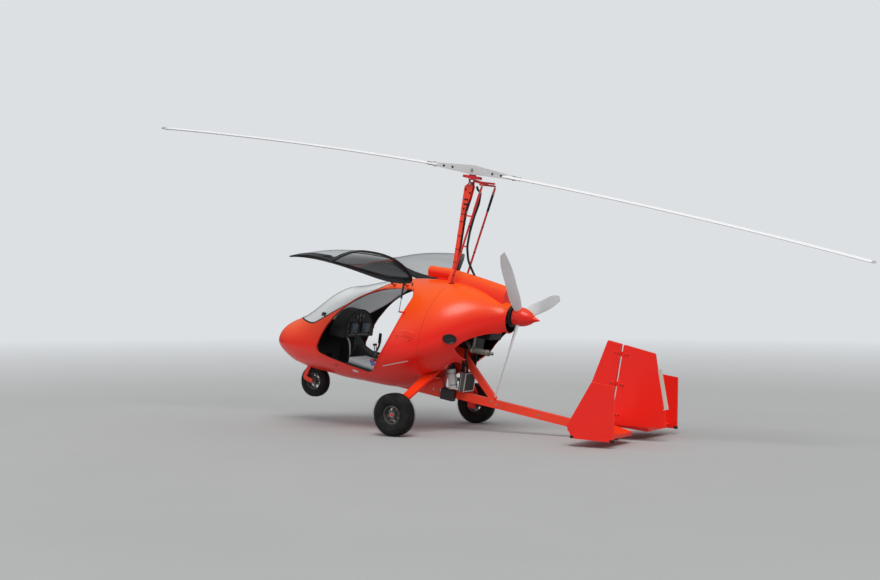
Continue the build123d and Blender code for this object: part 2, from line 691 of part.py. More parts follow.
# Engine cowl: open at the front and along the lower rear, with the firewall across it
COWL_LIP = ((CABIN_END_X - 1, 408), (63, 421), (169, 476), (243, 556), (338, 600), (335, 728))
COWL_ARCH_MIDDLE = (452, 850)
COWL_ARCH_END = (622, 935)
COWL_TAIL_EDGE = (760, 941)
with BuildPart() as cowl_opening:
    with BuildSketch(Plane.XZ):
        with BuildLine():
            lip = Polyline((COWL_LIP[0][0], 150), *COWL_LIP)
            arch = ThreePointArc(lip @ 1, COWL_ARCH_MIDDLE, COWL_ARCH_END)
            Polyline(arch @ 1, COWL_TAIL_EDGE, (COWL_TAIL_EDGE[0], 150), lip @ 0)
        make_face()
    extrude(amount=PRISM_FAR, both=True)
with BuildPart() as firewall:
    add(body_form(COWL_WALL / 2, BODY_SECTIONS[NOSE_SOLID_SECTIONS:]))
    split(bisect_by=Plane.YZ.offset(FIREWALL_X), keep=Keep.TOP)
    split(bisect_by=Plane.YZ.offset(FIREWALL_X + FIREWALL_THICKNESS), keep=Keep.BOTTOM)
    split(bisect_by=Plane.XY.offset(LEG_ROOT_HEIGHT + SADDLE_DEPTH), keep=Keep.TOP)
with BuildPart() as engine_cowl:
    add(OUTER_FORM)
    add(COWL_INNER, mode=Mode.SUBTRACT)
    add(firewall.part)
    split(bisect_by=Plane.YZ.offset(CABIN_END_X), keep=Keep.TOP)
    split(bisect_by=Plane.YZ.offset(COWL_END_X), keep=Keep.BOTTOM)
    add(cowl_opening.part, mode=Mode.SUBTRACT)
    add(ROOF_HOLES, mode=Mode.SUBTRACT)
    add(keel_frame.part, mode=Mode.SUBTRACT)
    add(leg_slots.part, mode=Mode.SUBTRACT)
engine_cowl.part.label = "engine_cowl"
export_step(engine_cowl.part.moved(PARKED), "parts/engine_cowl.step")

# Spin-up drive: a sheathed shaft from the rotor head down behind the mast into the spine
DRIVE_DIAMETER = 24
DRIVE_PATH = (
    (66, 2376),
    (84, 2342),
    (122, 2322),
    (122, 2205),
    (88, 2060),
    (66, 1900),
    (60, 1740),
    (98, 1600),
    (160, 1512),
    (226, 1428),
)
DRIVE_RADII = (40, 30, 200, 400, 400, 300, 260, 300)
with BuildPart() as drive_sheath:
    with BuildLine(Plane.XZ) as drive_line:
        FilletPolyline(*DRIVE_PATH, radius=DRIVE_RADII)
    with BuildSketch(Plane(drive_line.line @ 0, z_dir=drive_line.line % 0)):
        Circle(DRIVE_DIAMETER / 2)
    sweep(path=drive_line.line)
drive_sheath.part.label = "drive_sheath"
export_step(drive_sheath.part.moved(PARKED), "parts/drive_sheath.step")

# Dorsal spine from the air intake to the tail of the cowl: place, half width, root and top
SPINE_SECTIONS = (
    (-60, 96, 1290, 1484),
    (300, 96, 1285, 1452),
    (624, 88, 1210, 1414),
)
INTAKE_DIAMETER = 118
INTAKE_BORE = 98
INTAKE_DEPTH = 90
INTAKE_FRONT = (-332, 1416)
INTAKE_REAR = (-20, 1428)
INTAKE_PEDESTAL_X = -212
INTAKE_PEDESTAL_WIDTH = 84
with BuildPart() as dorsal_spine:
    for x, half_width, root, top in SPINE_SECTIONS:
        with BuildSketch(Plane((x, 0, root), x_dir=(0, 1, 0), z_dir=(1, 0, 0))):
            with BuildLine():
                hood = EllipticalCenterArc((0, 0), half_width, top - root, 0, arc_size=180)
                Line(hood @ 1, hood @ 0)
            make_face()
    loft()
    intake_run = Vector(INTAKE_REAR[0] - INTAKE_FRONT[0], 0, INTAKE_REAR[1] - INTAKE_FRONT[1])
    intake_mouth = Plane((INTAKE_FRONT[0], 0, INTAKE_FRONT[1]), x_dir=(0, 1, 0), z_dir=intake_run)
    with BuildSketch(intake_mouth):
        Circle(INTAKE_DIAMETER / 2)
    extrude(amount=intake_run.length)
    with Locations((INTAKE_PEDESTAL_X, 0, INTAKE_REAR[1])):
        Box(
            INTAKE_REAR[0] - INTAKE_PEDESTAL_X,
            INTAKE_PEDESTAL_WIDTH,
            200,
            align=(Align.MIN, Align.CENTER, Align.MAX),
        )
    with BuildSketch(intake_mouth):
        Circle(INTAKE_BORE / 2)
    extrude(amount=INTAKE_DEPTH, mode=Mode.SUBTRACT)
    add(OUTER_FORM, mode=Mode.SUBTRACT)
    add(ROOF_HOLES, mode=Mode.SUBTRACT)
    add(drive_sheath.part, mode=Mode.SUBTRACT)
dorsal_spine.part.label = "dorsal_spine"
export_step(dorsal_spine.part.moved(PARKED), "parts/dorsal_spine.step")

# Mast with the cheek plates that carry the rotor head
CHEEK_THICKNESS = 8
SHEATH_CLIPS = ((1740, 80), (2060, 112))
CLIP_WIDTH = 16
CHEEK_GAP = 38
CHEEK_FOOT_HEIGHT = 2105
CHEEK_REAR_X = 30
PIVOT_X = -4
PIVOT_PIN_DIAMETER = 12
with BuildPart() as mast:
    with Locations((MAST_X, 0, LEG_ROOT_HEIGHT)):
        Box(
            MAST_DEPTH,
            MAST_WIDTH,
            PIVOT_HEIGHT - 40 - LEG_ROOT_HEIGHT,
            align=(Align.CENTER, Align.CENTER, Align.MIN),
        )
    for _, side in SIDES:
        with BuildSketch(Plane.XZ.offset(-side * (CHEEK_GAP / 2 + CHEEK_THICKNESS / 2))):
            with BuildLine():
                Polyline(
                    (MAST_X - MAST_DEPTH / 2, CHEEK_FOOT_HEIGHT),
                    (MAST_X + MAST_DEPTH / 2, CHEEK_FOOT_HEIGHT),
                    (CHEEK_REAR_X - 16, PIVOT_HEIGHT - 160),
                    (CHEEK_REAR_X, PIVOT_HEIGHT - 30),
                    (PIVOT_X + 12, PIVOT_HEIGHT + 12),
                    (PIVOT_X - 12, PIVOT_HEIGHT + 12),
                    (MAST_X - MAST_DEPTH / 2, PIVOT_HEIGHT - 40),
                    close=True,
                )
            make_face()
        extrude(amount=CHEEK_THICKNESS / 2, both=True)
    with Locations(Plane.XZ * Location((PIVOT_X, PIVOT_HEIGHT, 0))):
        Cylinder(PIVOT_PIN_DIAMETER / 2, CHEEK_GAP + 2 * CHEEK_THICKNESS + 8)
    for height, reach in SHEATH_CLIPS:
        with Locations((MAST_X + MAST_DEPTH / 2, 0, height)):
            Box(reach, CLIP_WIDTH, CLIP_WIDTH, align=(Align.MIN, Align.CENTER, Align.CENTER))
    add(drive_sheath.part, mode=Mode.SUBTRACT)
mast.part.label = "mast"
export_step(mast.part.moved(PARKED), "parts/mast.step")

# Rotor head: gimbal block on the pitch pin, tee bar on the block's roll pin
BLOCK_LENGTH = 40
BLOCK_WIDTH = 27
BLOCK_HEIGHT = 34
ROLL_PIN_DIAMETER = 10
YOKE_THICKNESS = 9
HEAD_PLATE_HEIGHT = 2436
HEAD_PLATE_THICKNESS = 10
HEAD_PLATE_WIDTH = 54
TEE_TUBE_DIAMETER = 20
TEE_TUBE_X = 184
TEE_TUBE_SPACING = 24
TEE_PIN_HEIGHT = 2405
TEE_PIN_DIAMETER = 8
SWIVEL_X = 203
SWIVEL_DROP = 24
TEE_ARM_WIDTH = 34
with BuildPart() as gimbal_block:
    with Locations((PIVOT_X, 0, PIVOT_HEIGHT)):
        Box(BLOCK_LENGTH, BLOCK_WIDTH, BLOCK_HEIGHT)
    with Locations(Plane.YZ * Location((0, PIVOT_HEIGHT, PIVOT_X))):
        Cylinder(ROLL_PIN_DIAMETER / 2, BLOCK_LENGTH + 2 * YOKE_THICKNESS + 14)
    with Locations(Plane.XZ * Location((PIVOT_X, PIVOT_HEIGHT, 0))):
        Cylinder(PIVOT_PIN_DIAMETER / 2 + RUNNING_FIT, 2 * BLOCK_WIDTH, mode=Mode.SUBTRACT)
gimbal_block.part.label = "gimbal_block"
export_step(gimbal_block.part.moved(PARKED), "parts/gimbal_block.step")

# The rotor shaft's line, square to the hub's plane
SHAFT_DIAMETER = 30
SHAFT_SEAT = 7
shaft_plane = Plane(
    (HUB_X, 0, TEETER_HEIGHT),
    x_dir=(cos(radians(HEAD_TILT)), 0, -sin(radians(HEAD_TILT))),
    z_dir=(sin(radians(HEAD_TILT)), 0, cos(radians(HEAD_TILT))),
)
SHAFT_DROP = TEETER_HEIGHT - HEAD_PLATE_HEIGHT - HEAD_PLATE_THICKNESS

YOKE_X = BLOCK_LENGTH / 2 + 1.5 + YOKE_THICKNESS / 2
with BuildPart() as tee_bar:
    for end in (-1, 1):
        with Locations((PIVOT_X + end * YOKE_X, 0, PIVOT_HEIGHT - 11)):
            Box(
                YOKE_THICKNESS,
                BLOCK_WIDTH,
                HEAD_PLATE_HEIGHT - PIVOT_HEIGHT + 11,
                align=(Align.CENTER, Align.CENTER, Align.MIN),
            )
    with Locations((PIVOT_X, 0, HEAD_PLATE_HEIGHT)):
        Box(
            2 * YOKE_X + YOKE_THICKNESS,
            HEAD_PLATE_WIDTH,
            HEAD_PLATE_THICKNESS,
            align=(Align.CENTER, Align.CENTER, Align.MIN),
        )
    with BuildSketch(Plane.XZ):
        with BuildLine():
            Polyline(
                (PIVOT_X + YOKE_X, HEAD_PLATE_HEIGHT + HEAD_PLATE_THICKNESS),
                (PIVOT_X + YOKE_X, HEAD_PLATE_HEIGHT - 16),
                (TEE_TUBE_X - 22, TEE_PIN_HEIGHT - 4),
                (TEE_TUBE_X + 4, TEE_PIN_HEIGHT - 4),
                (TEE_TUBE_X + 4, TEE_PIN_HEIGHT + TEE_TUBE_SPACING),
                (TEE_TUBE_X - 22, TEE_PIN_HEIGHT + TEE_TUBE_SPACING),
                close=True,
            )
        make_face()
    extrude(amount=TEE_ARM_WIDTH / 2, both=True)
    for lift in (0, TEE_TUBE_SPACING):
        with Locations(Plane.XZ * Location((TEE_TUBE_X, TEE_PIN_HEIGHT + lift, 0))):
            Cylinder(TEE_TUBE_DIAMETER / 2, 2 * ROD_Y + TEE_TUBE_DIAMETER)
    for _, side in SIDES:
        with Locations(Plane.YZ * Location((side * ROD_Y, TEE_PIN_HEIGHT, TEE_TUBE_X))):
            Cylinder(
                TEE_PIN_DIAMETER / 2,
                SWIVEL_X - TEE_TUBE_X + 8,
                align=(Align.CENTER, Align.CENTER, Align.MIN),
            )
    with Locations(Plane.YZ * Location((0, PIVOT_HEIGHT, PIVOT_X))):
        Cylinder(
            ROLL_PIN_DIAMETER / 2 + RUNNING_FIT,
            BLOCK_LENGTH + 4 * YOKE_THICKNESS,
            mode=Mode.SUBTRACT,
        )
    with BuildSketch(shaft_plane.offset(-SHAFT_DROP - SHAFT_SEAT - 1)):
        Circle(SHAFT_DIAMETER / 2 + RUNNING_FIT)
    extrude(amount=SHAFT_SEAT + 4, mode=Mode.SUBTRACT)
tee_bar.part.label = "tee_bar"
export_step(tee_bar.part.moved(PARKED), "parts/tee_bar.step")

# Rotor shaft, gear ring and teeter tower, turning on the tilted shaft line
TOWER_WIDTH = 40
TOWER_LENGTH = 60
TEETER_PIN_DIAMETER = 14
GEAR_THICKNESS = 12
GEAR_LIFT = 6
with BuildPart() as rotor_tower:
    with BuildSketch(shaft_plane.offset(-SHAFT_DROP + GEAR_LIFT)):
        Circle(ROTOR_GEAR_DIAMETER / 2)
    extrude(amount=GEAR_THICKNESS)
    with BuildSketch(shaft_plane.offset(-SHAFT_DROP - SHAFT_SEAT)):
        Circle(SHAFT_DIAMETER / 2)
    extrude(amount=GEAR_LIFT + SHAFT_SEAT)
    with BuildSketch(shaft_plane.offset(-SHAFT_DROP + GEAR_LIFT + GEAR_THICKNESS)):
        Rectangle(TOWER_LENGTH, TOWER_WIDTH)
    extrude(amount=SHAFT_DROP - GEAR_LIFT - GEAR_THICKNESS + 20)
    with BuildSketch(Plane.XZ):
        with Locations((HUB_X, TEETER_HEIGHT)):
            Circle(TEETER_PIN_DIAMETER / 2)
    extrude(amount=HUB_BAR_WIDTH / 2 + 8, both=True)
rotor_tower.part.label = "rotor_tower"
export_step(rotor_tower.part.moved(PARKED), "parts/rotor_tower.step")

# Hub bar: two tall cheeks joined by spacers, and the two blades clamped to its ends
HUB_SLOT_HALF = 58
HUB_SLOT_WIDTH = TOWER_WIDTH + 10
HUB_BAR_DROP = 44
with BuildPart() as hub_bar:
    with BuildSketch(Plane(shaft_plane.origin, x_dir=shaft_plane.x_dir, z_dir=(0, -1, 0))):
        with BuildLine():
            Polyline(
                (-HUB_BAR_HALF, -HUB_BAR_END_HEIGHT / 2 - 6),
                (0, -HUB_BAR_DROP),
                (HUB_BAR_HALF, -HUB_BAR_END_HEIGHT / 2 - 6),
                (HUB_BAR_HALF, HUB_BAR_END_HEIGHT / 2 - 6),
                (0, HUB_BAR_HEIGHT - HUB_BAR_DROP),
                (-HUB_BAR_HALF, HUB_BAR_END_HEIGHT / 2 - 6),
                close=True,
            )
        make_face()
    extrude(amount=HUB_BAR_WIDTH / 2, both=True)
    with BuildSketch(shaft_plane):
        Rectangle(2 * HUB_SLOT_HALF, HUB_SLOT_WIDTH)
    extrude(amount=HUB_BAR_HEIGHT, both=True, mode=Mode.SUBTRACT)
    with BuildSketch(Plane.XZ):
        with Locations((HUB_X, TEETER_HEIGHT)):
            Circle(TEETER_PIN_DIAMETER / 2 + RUNNING_FIT)
    extrude(amount=HUB_BAR_WIDTH, both=True, mode=Mode.SUBTRACT)
hub_bar.part.label = "hub_bar"
export_step(hub_bar.part.moved(PARKED), "parts/hub_bar.step")

# Blade sections: share of the radius and share of the chord
BLADE_SECTIONS = ((BLADE_ROOT / ROTOR_RADIUS, 1.0), (0.4, 1.0), (0.7, 1.0), (1.0, 1.0))
BLADE_NOSE_SHARE = 0.3
with BuildPart() as rotor_blades:
    for ahead in (1, -1):
        for share, chord_share in BLADE_SECTIONS:
            radius = share * ROTOR_RADIUS
            chord = BLADE_CHORD * chord_share
            drop = BLADE_DROOP * share**2 + 6
            centre = shaft_plane.from_local_coords(Vector(ahead * radius, 0, -drop))
            across = Plane(centre, x_dir=(0, ahead, 0), z_dir=shaft_plane.x_dir * ahead)
            with BuildSketch(across):
                with Locations(Location((0, 0), BLADE_PITCH)):
                    with BuildLine():
                        nose = chord * BLADE_NOSE_SHARE
                        upper = ThreePointArc(
                            (nose, 0), (0, BLADE_THICKNESS * 0.62), (nose - chord, 0)
                        )
                        ThreePointArc(upper @ 1, (0, -BLADE_THICKNESS * 0.38), upper @ 0)
                    make_face()
        loft()
    add(hub_bar.part, mode=Mode.SUBTRACT)
rotor_blades.part.label = "rotor_blades"
export_step(rotor_blades.part.moved(PARKED), "parts/rotor_blades.step")

# Control rods: each hangs from a swivel on a fore-and-aft pin behind the tee bar's end
SWIVEL_PIN_DIAMETER = 8
SWIVEL_THICKNESS = 8
SWIVEL_WIDTH = 12
SWIVEL_EYE = 18
SWIVEL_SLACK = 1.5
rod_foot = Vector(ROD_FOOT_X, 0, ROD_FOOT_HEIGHT)
rod_top = Vector(SWIVEL_X, 0, TEE_PIN_HEIGHT - SWIVEL_DROP)
rod_run = (rod_top - rod_foot).normalized()
for name, side in SIDES:
    place = Vector(0, side * ROD_Y, 0)
    cross_pin = Plane.XZ * Location((rod_top.X, rod_top.Z, -side * ROD_Y))
    with BuildPart() as rod_swivel:
        with BuildSketch(Plane.YZ.offset(SWIVEL_X)):
            with Locations((side * ROD_Y, TEE_PIN_HEIGHT)):
                Circle(SWIVEL_EYE / 2)
            with Locations((side * ROD_Y, TEE_PIN_HEIGHT)):
                Rectangle(SWIVEL_WIDTH, SWIVEL_DROP + 8, align=(Align.CENTER, Align.MAX))
            with Locations((side * ROD_Y, TEE_PIN_HEIGHT)):
                Circle(SWIVEL_PIN_DIAMETER / 2 + RUNNING_FIT, mode=Mode.SUBTRACT)
        extrude(amount=SWIVEL_THICKNESS / 2, both=True)
        with Locations(cross_pin):
            Cylinder(SWIVEL_PIN_DIAMETER / 2, ROD_DIAMETER + 4)
    rod_swivel.part.label = f"{name}_rod_swivel"
    export_step(rod_swivel.part.moved(PARKED), f"parts/{name}_rod_swivel.step")
    with BuildPart() as control_rod:
        with BuildSketch(Plane(rod_foot + place, x_dir=(0, 1, 0), z_dir=rod_run)):
            Circle(ROD_DIAMETER / 2)
        extrude(amount=(rod_top - rod_foot).length + SWIVEL_PIN_DIAMETER)
        with Locations(rod_top + place):
            Box(
                2 * ROD_DIAMETER,
                SWIVEL_WIDTH + 2 * SWIVEL_SLACK,
                2 * SWIVEL_DROP,
                mode=Mode.SUBTRACT,
            )
        with Locations(cross_pin):
            Cylinder(SWIVEL_PIN_DIAMETER / 2 + RUNNING_FIT, 3 * ROD_DIAMETER, mode=Mode.SUBTRACT)
    control_rod.part.label = f"{name}_control_rod"
    export_step(control_rod.part.moved(PARKED), f"parts/{name}_control_rod.step")

# Propeller: blades on a hub disc, and a pointed spinner with its mouth on the disc
PROP_HUB_DIAMETER = 150
PROP_HUB_THICKNESS = 34
PROP_SHAFT_DIAMETER = 56
PROP_SHAFT_X = 700
SPINNER_BASE_X = 752
# Propeller blade sections: radius, chord, thickness, pitch angle
PROP_SECTIONS = (
    (60, 52, 38, 48),
    (200, 112, 24, 36),
    (480, 124, 15, 24),
    (PROP_RADIUS, 62, 6, 15),
)
with BuildPart() as spinner:
    with BuildSketch(Plane.XZ):
        with BuildLine():
            base = Line((SPINNER_BASE_X, PROP_HEIGHT), (SPINNER_BASE_X, PROP_HEIGHT + SPINNER_DIAMETER / 2))
            rim = Line(base @ 1, (PROP_X + 20, PROP_HEIGHT + SPINNER_DIAMETER / 2))
            nose = ThreePointArc(
                rim @ 1, (PROP_X + 105, PROP_HEIGHT + 74), (SPINNER_TIP_X - 70, PROP_HEIGHT + 30)
            )
            tip = Line(nose @ 1, (SPINNER_TIP_X - 8, PROP_HEIGHT + 6))
            cap = Line(tip @ 1, (SPINNER_TIP_X, PROP_HEIGHT))
            Line(cap @ 1, base @ 0)
        make_face()
    revolve(axis=Axis((0, 0, PROP_HEIGHT), (1, 0, 0)))
with BuildPart() as propeller:
    with BuildSketch(Plane((PROP_SHAFT_X, 0, PROP_HEIGHT), x_dir=(0, 1, 0), z_dir=(1, 0, 0))):
        Circle(PROP_SHAFT_DIAMETER / 2)
    extrude(amount=PROP_X - PROP_SHAFT_X)
    with BuildSketch(Plane((PROP_X, 0, PROP_HEIGHT), x_dir=(0, 1, 0), z_dir=(1, 0, 0))):
        Circle(PROP_HUB_DIAMETER / 2)
    extrude(amount=PROP_HUB_THICKNESS / 2, both=True)
    for index in range(PROP_BLADES):
        turn = radians(PROP_FIRST_ANGLE + index * 360 / PROP_BLADES)
        outward = Vector(0, sin(turn), cos(turn))
        for radius, chord, thickness, pitch in PROP_SECTIONS:
            centre = Vector(PROP_X, 0, PROP_HEIGHT) + outward * radius
            with BuildSketch(Plane(centre, x_dir=(1, 0, 0), z_dir=outward)):
                with Locations(Location((0, 0), 90 - pitch)):
                    Ellipse(chord / 2, thickness / 2)
        loft()
propeller.part.label = "propeller"
export_step(propeller.part.moved(PARKED), "parts/propeller.step")
with BuildPart() as spinner_cut:
    add(spinner.part)
    add(propeller.part, mode=Mode.SUBTRACT)
spinner_cut.part.label = "spinner"
export_step(spinner_cut.part.moved(PARKED), "parts/spinner.step")

# Engine: one plain crankcase with four finned cylinders, gearbox and backplate
CASE_FRONT_X = 150
CASE_REAR_X = 560
CASE_WIDTH = 250
CASE_BOTTOM = 850
CASE_TOP = 1130
CYLINDER_DIAMETER = 122
CYLINDER_REACH = 285
CYLINDER_HEIGHT = 955
CYLINDER_X = (232, 412)
CYLINDER_FINS = 5
FIN_DIAMETER = 140
GEARBOX_DIAMETER = 190
GEARBOX_REAR_X = 716
BACKPLATE_THICKNESS = 26
MOUNT_WIDTH = 50
MOUNT_REACH = 130
SUMP_BOTTOM = 705
with BuildPart() as engine:
    with Locations((CASE_FRONT_X, 0, CASE_BOTTOM)):
        Box(
            CASE_REAR_X - CASE_FRONT_X,
            CASE_WIDTH,
            CASE_TOP - CASE_BOTTOM,
            align=(Align.MIN, Align.CENTER, Align.MIN),
        )
    with Locations((CASE_FRONT_X + 40, 0, SUMP_BOTTOM)):
        Box(200, CASE_WIDTH - 80, CASE_BOTTOM - SUMP_BOTTOM, align=(Align.MIN, Align.CENTER, Align.MIN))
    for x in CYLINDER_X:
        for _, side in SIDES:
            with Locations(Plane.XZ * Location((x, CYLINDER_HEIGHT, -side * CYLINDER_REACH / 2))):
                Cylinder(CYLINDER_DIAMETER / 2, CYLINDER_REACH)
            for fin in range(CYLINDER_FINS):
                reach = CASE_WIDTH / 2 + 18 + fin * 24
                with Locations(Plane.XZ * Location((x, CYLINDER_HEIGHT, -side * reach))):
                    Cylinder(FIN_DIAMETER / 2, 9)
    with Locations(Plane((CASE_REAR_X, 0, PROP_HEIGHT), x_dir=(0, 1, 0), z_dir=(1, 0, 0))):
        Cylinder(
            GEARBOX_DIAMETER / 2,
            GEARBOX_REAR_X - CASE_REAR_X,
            align=(Align.CENTER, Align.CENTER, Align.MIN),
        )
    with Locations(Plane((GEARBOX_REAR_X, 0, PROP_HEIGHT), x_dir=(0, 1, 0), z_dir=(1, 0, 0))):
        Cylinder(
            BACKPLATE_DIAMETER / 2,
            BACKPLATE_THICKNESS,
            align=(Align.CENTER, Align.CENTER, Align.MIN),
        )
    with Locations(Plane((PROP_SHAFT_X - 2, 0, PROP_HEIGHT), x_dir=(0, 1, 0), z_dir=(1, 0, 0))):
        Cylinder(
            PROP_SHAFT_DIAMETER / 2 + RUNNING_FIT,
            200,
            align=(Align.CENTER, Align.CENTER, Align.MIN),
            mode=Mode.SUBTRACT,
        )
    for lift in (CASE_BOTTOM + 60, CASE_TOP - 60):
        for _, side in SIDES:
            with Locations((FIREWALL_X + FIREWALL_THICKNESS, side * (CASE_WIDTH - MOUNT_WIDTH) / 2, lift)):
                Box(
                    CASE_FRONT_X - FIREWALL_X - FIREWALL_THICKNESS,
                    MOUNT_WIDTH,
                    MOUNT_WIDTH,
                    align=(Align.MIN, Align.CENTER, Align.CENTER),
                )
    add(keel_frame.part, mode=Mode.SUBTRACT)
engine.part.label = "engine"
export_step(engine.part.moved(PARKED), "parts/engine.step")

# Exhaust: a silencer under the left cylinders, on two pipes up to them
SILENCER_DIAMETER = 64
SILENCER_Y = -236
SILENCER_HEIGHT = 735
SILENCER_FRONT_X = 420
SILENCER_LENGTH = 230
PIPE_DIAMETER = 34
with BuildPart() as exhaust:
    with Locations(Plane((SILENCER_FRONT_X, SILENCER_Y, SILENCER_HEIGHT), x_dir=(0, 1, 0), z_dir=(1, 0, 0))):
        Cylinder(
            SILENCER_DIAMETER / 2, SILENCER_LENGTH, align=(Align.CENTER, Align.CENTER, Align.MIN)
        )
    fillet(exhaust.edges().filter_by(GeomType.CIRCLE), 12)
    with Locations((CYLINDER_X[1] + 36, SILENCER_Y, SILENCER_HEIGHT)):
        Cylinder(
            PIPE_DIAMETER / 2,
            CYLINDER_HEIGHT - SILENCER_HEIGHT,
            align=(Align.CENTER, Align.CENTER, Align.MIN),
        )
    with BuildSketch(Plane.XZ.offset(-SILENCER_Y)):
        with BuildLine():
            Line((CYLINDER_X[0], CYLINDER_HEIGHT - 40), (SILENCER_FRONT_X + 20, SILENCER_HEIGHT))
        trace(line_width=PIPE_DIAMETER)
    extrude(amount=PIPE_DIAMETER / 2, both=True)
    add(engine.part, mode=Mode.SUBTRACT)
exhaust.part.label = "exhaust"
export_step(exhaust.part.moved(PARKED), "parts/exhaust.step")

# Radiator on the keel behind the pylon
RADIATOR_X = 312
RADIATOR_THICKNESS = 48
RADIATOR_WIDTH = 214
RADIATOR_BOTTOM = 258
RADIATOR_HEIGHT = 196
RADIATOR_FOOT = 40
with BuildPart() as radiator:
    with Locations((RADIATOR_X, 0, RADIATOR_BOTTOM)):
        Box(
            RADIATOR_THICKNESS,
            RADIATOR_WIDTH,
            RADIATOR_HEIGHT,
            align=(Align.CENTER, Align.CENTER, Align.MIN),
        )
    with Locations((RADIATOR_X, 0, KEEL_TOP)):
        Box(
            RADIATOR_THICKNESS / 2,
            RADIATOR_FOOT,
            RADIATOR_BOTTOM - KEEL_TOP,
            align=(Align.CENTER, Align.CENTER, Align.MIN),
        )
    add(keel_frame.part, mode=Mode.SUBTRACT)
radiator.part.label = "radiator"
export_step(radiator.part.moved(PARKED), "parts/radiator.step")

POST_X = 236
# Oil tank: a leaning cylinder in a clamp on the pylon's left side
TANK_DIAMETER = 92
TANK_TOP = (152, 462)
TANK_FOOT = (213, 263)
TANK_Y = -98
CLAMP_WIDTH = 30
with BuildPart() as oil_tank:
    tank_run = Vector(TANK_TOP[0] - TANK_FOOT[0], 0, TANK_TOP[1] - TANK_FOOT[1])
    tank_foot = Plane((TANK_FOOT[0], TANK_Y, TANK_FOOT[1]), x_dir=(0, 1, 0), z_dir=tank_run)
    with BuildSketch(tank_foot):
        Circle(TANK_DIAMETER / 2)
    extrude(amount=tank_run.length)
    fillet(oil_tank.edges().filter_by(GeomType.CIRCLE), 8)
    with BuildSketch(tank_foot.offset(tank_run.length + 12)):
        Circle(TANK_DIAMETER / 5)
    extrude(amount=-24)
    with Locations(((TANK_TOP[0] + TANK_FOOT[0]) / 2, TANK_Y, (TANK_TOP[1] + TANK_FOOT[1]) / 2)):
        Box(
            POST_X - (TANK_TOP[0] + TANK_FOOT[0]) / 2,
            -TANK_Y,
            CLAMP_WIDTH,
            align=(Align.MIN, Align.MIN, Align.CENTER),
        )
oil_tank.part.label = "oil_tank"
export_step(oil_tank.part.moved(PARKED), "parts/oil_tank.step")

# Battery box on the keel's left side, and the post between keel and strut
BATTERY_LENGTH = 150
BATTERY_WIDTH = 82
BATTERY_HEIGHT = 110
BATTERY_X = 72
BATTERY_BOTTOM = 132
POST_DIAMETER = 40
POST_LENGTH = 330
with BuildPart() as battery_box:
    with Locations((BATTERY_X, -KEEL_WIDTH / 2, BATTERY_BOTTOM)):
        Box(
            BATTERY_LENGTH,
            BATTERY_WIDTH,
            BATTERY_HEIGHT,
            align=(Align.MIN, Align.MAX, Align.MIN),
        )
    fillet(battery_box.edges().filter_by(Axis.Z), 8)
battery_box.part.label = "battery_box"
export_step(battery_box.part.moved(PARKED), "parts/battery_box.step")
with BuildPart() as coolant_post:
    with Locations((POST_X, 0, KEEL_TOP)):
        Cylinder(POST_DIAMETER / 2, POST_LENGTH, align=(Align.CENTER, Align.CENTER, Align.MIN))
    add(keel_frame.part, mode=Mode.SUBTRACT)
    add(oil_tank.part, mode=Mode.SUBTRACT)
coolant_post.part.label = "coolant_post"
export_step(coolant_post.part.moved(PARKED), "parts/coolant_post.step")


def tyre_form(diameter, width, rim_diameter):
    """A round-shouldered tyre about the Y axis."""
    with BuildPart() as tyre:
        with BuildSketch(Plane.YZ):
            with Locations((0, (diameter + rim_diameter) / 4)):
                RectangleRounded(width, (diameter - rim_diameter) / 2, width * 0.34)
            with Locations((0, rim_diameter / 2)):
                Rectangle(width * 0.6, width * 0.3, align=(Align.CENTER, Align.MIN))
        revolve(axis=Axis.Y)
    return tyre.part


def rim_form(rim_diameter, rim_width, axle_diameter, hub_diameter, hub_width, holes):
    """A dished wheel rim about the Y axis, bored for its axle."""
    barrel = 7
    web = 12
    with BuildPart() as rim:
        with BuildSketch(Plane.YZ):
            with Locations((0, (rim_diameter - barrel) / 2)):
                Rectangle(rim_width, barrel)
            with Locations((0, (rim_diameter + hub_diameter) / 4)):
                Rectangle(web, (rim_diameter - hub_diameter) / 2)
            with Locations((0, (hub_diameter + axle_diameter) / 4 + RUNNING_FIT)):
                Rectangle(hub_width, (hub_diameter - axle_diameter) / 2 - RUNNING_FIT)
        revolve(axis=Axis.Y)
        hole_circle = (rim_diameter / 2 + hub_diameter / 2) / 2
        hole_radius = (rim_diameter - 2 * barrel - hub_diameter) / 6
        with BuildSketch(Plane.XZ):
            with PolarLocations(hole_circle, holes):
                Circle(hole_radius)
        extrude(amount=web, both=True, mode=Mode.SUBTRACT)
    return rim.part


# Main wheels, with a brake disc on each hub's inner end
MAIN_HUB_DIAMETER = 74
MAIN_RIM_HOLES = 8
main_tyre_form = tyre_form(MAIN_TYRE_DIAMETER, MAIN_TYRE_WIDTH, MAIN_RIM_DIAMETER)
main_rim_form = rim_form(
    MAIN_RIM_DIAMETER,
    MAIN_RIM_WIDTH,
    MAIN_AXLE_DIAMETER,
    MAIN_HUB_DIAMETER,
    MAIN_HUB_WIDTH,
    MAIN_RIM_HOLES,
)
for name, side in SIDES:
    place = Location((0, side * AXLE_Y, 0))
    with BuildPart() as main_tyre:
        add(main_tyre_form.moved(place))
    main_tyre.part.label = f"{name}_tyre"
    export_step(main_tyre.part.moved(PARKED), f"parts/{name}_tyre.step")
    with BuildPart() as main_rim:
        add(main_rim_form.moved(place))
        with Locations(Plane.XZ * Location((0, 0, -side * BRAKE_DISC_Y))):
            Cylinder(BRAKE_DISC_DIAMETER / 2, BRAKE_DISC_THICKNESS)
            Cylinder(MAIN_AXLE_DIAMETER / 2 + RUNNING_FIT, 60, mode=Mode.SUBTRACT)
    main_rim.part.label = f"{name}_rim"
    export_step(main_rim.part.moved(PARKED), f"parts/{name}_rim.step")

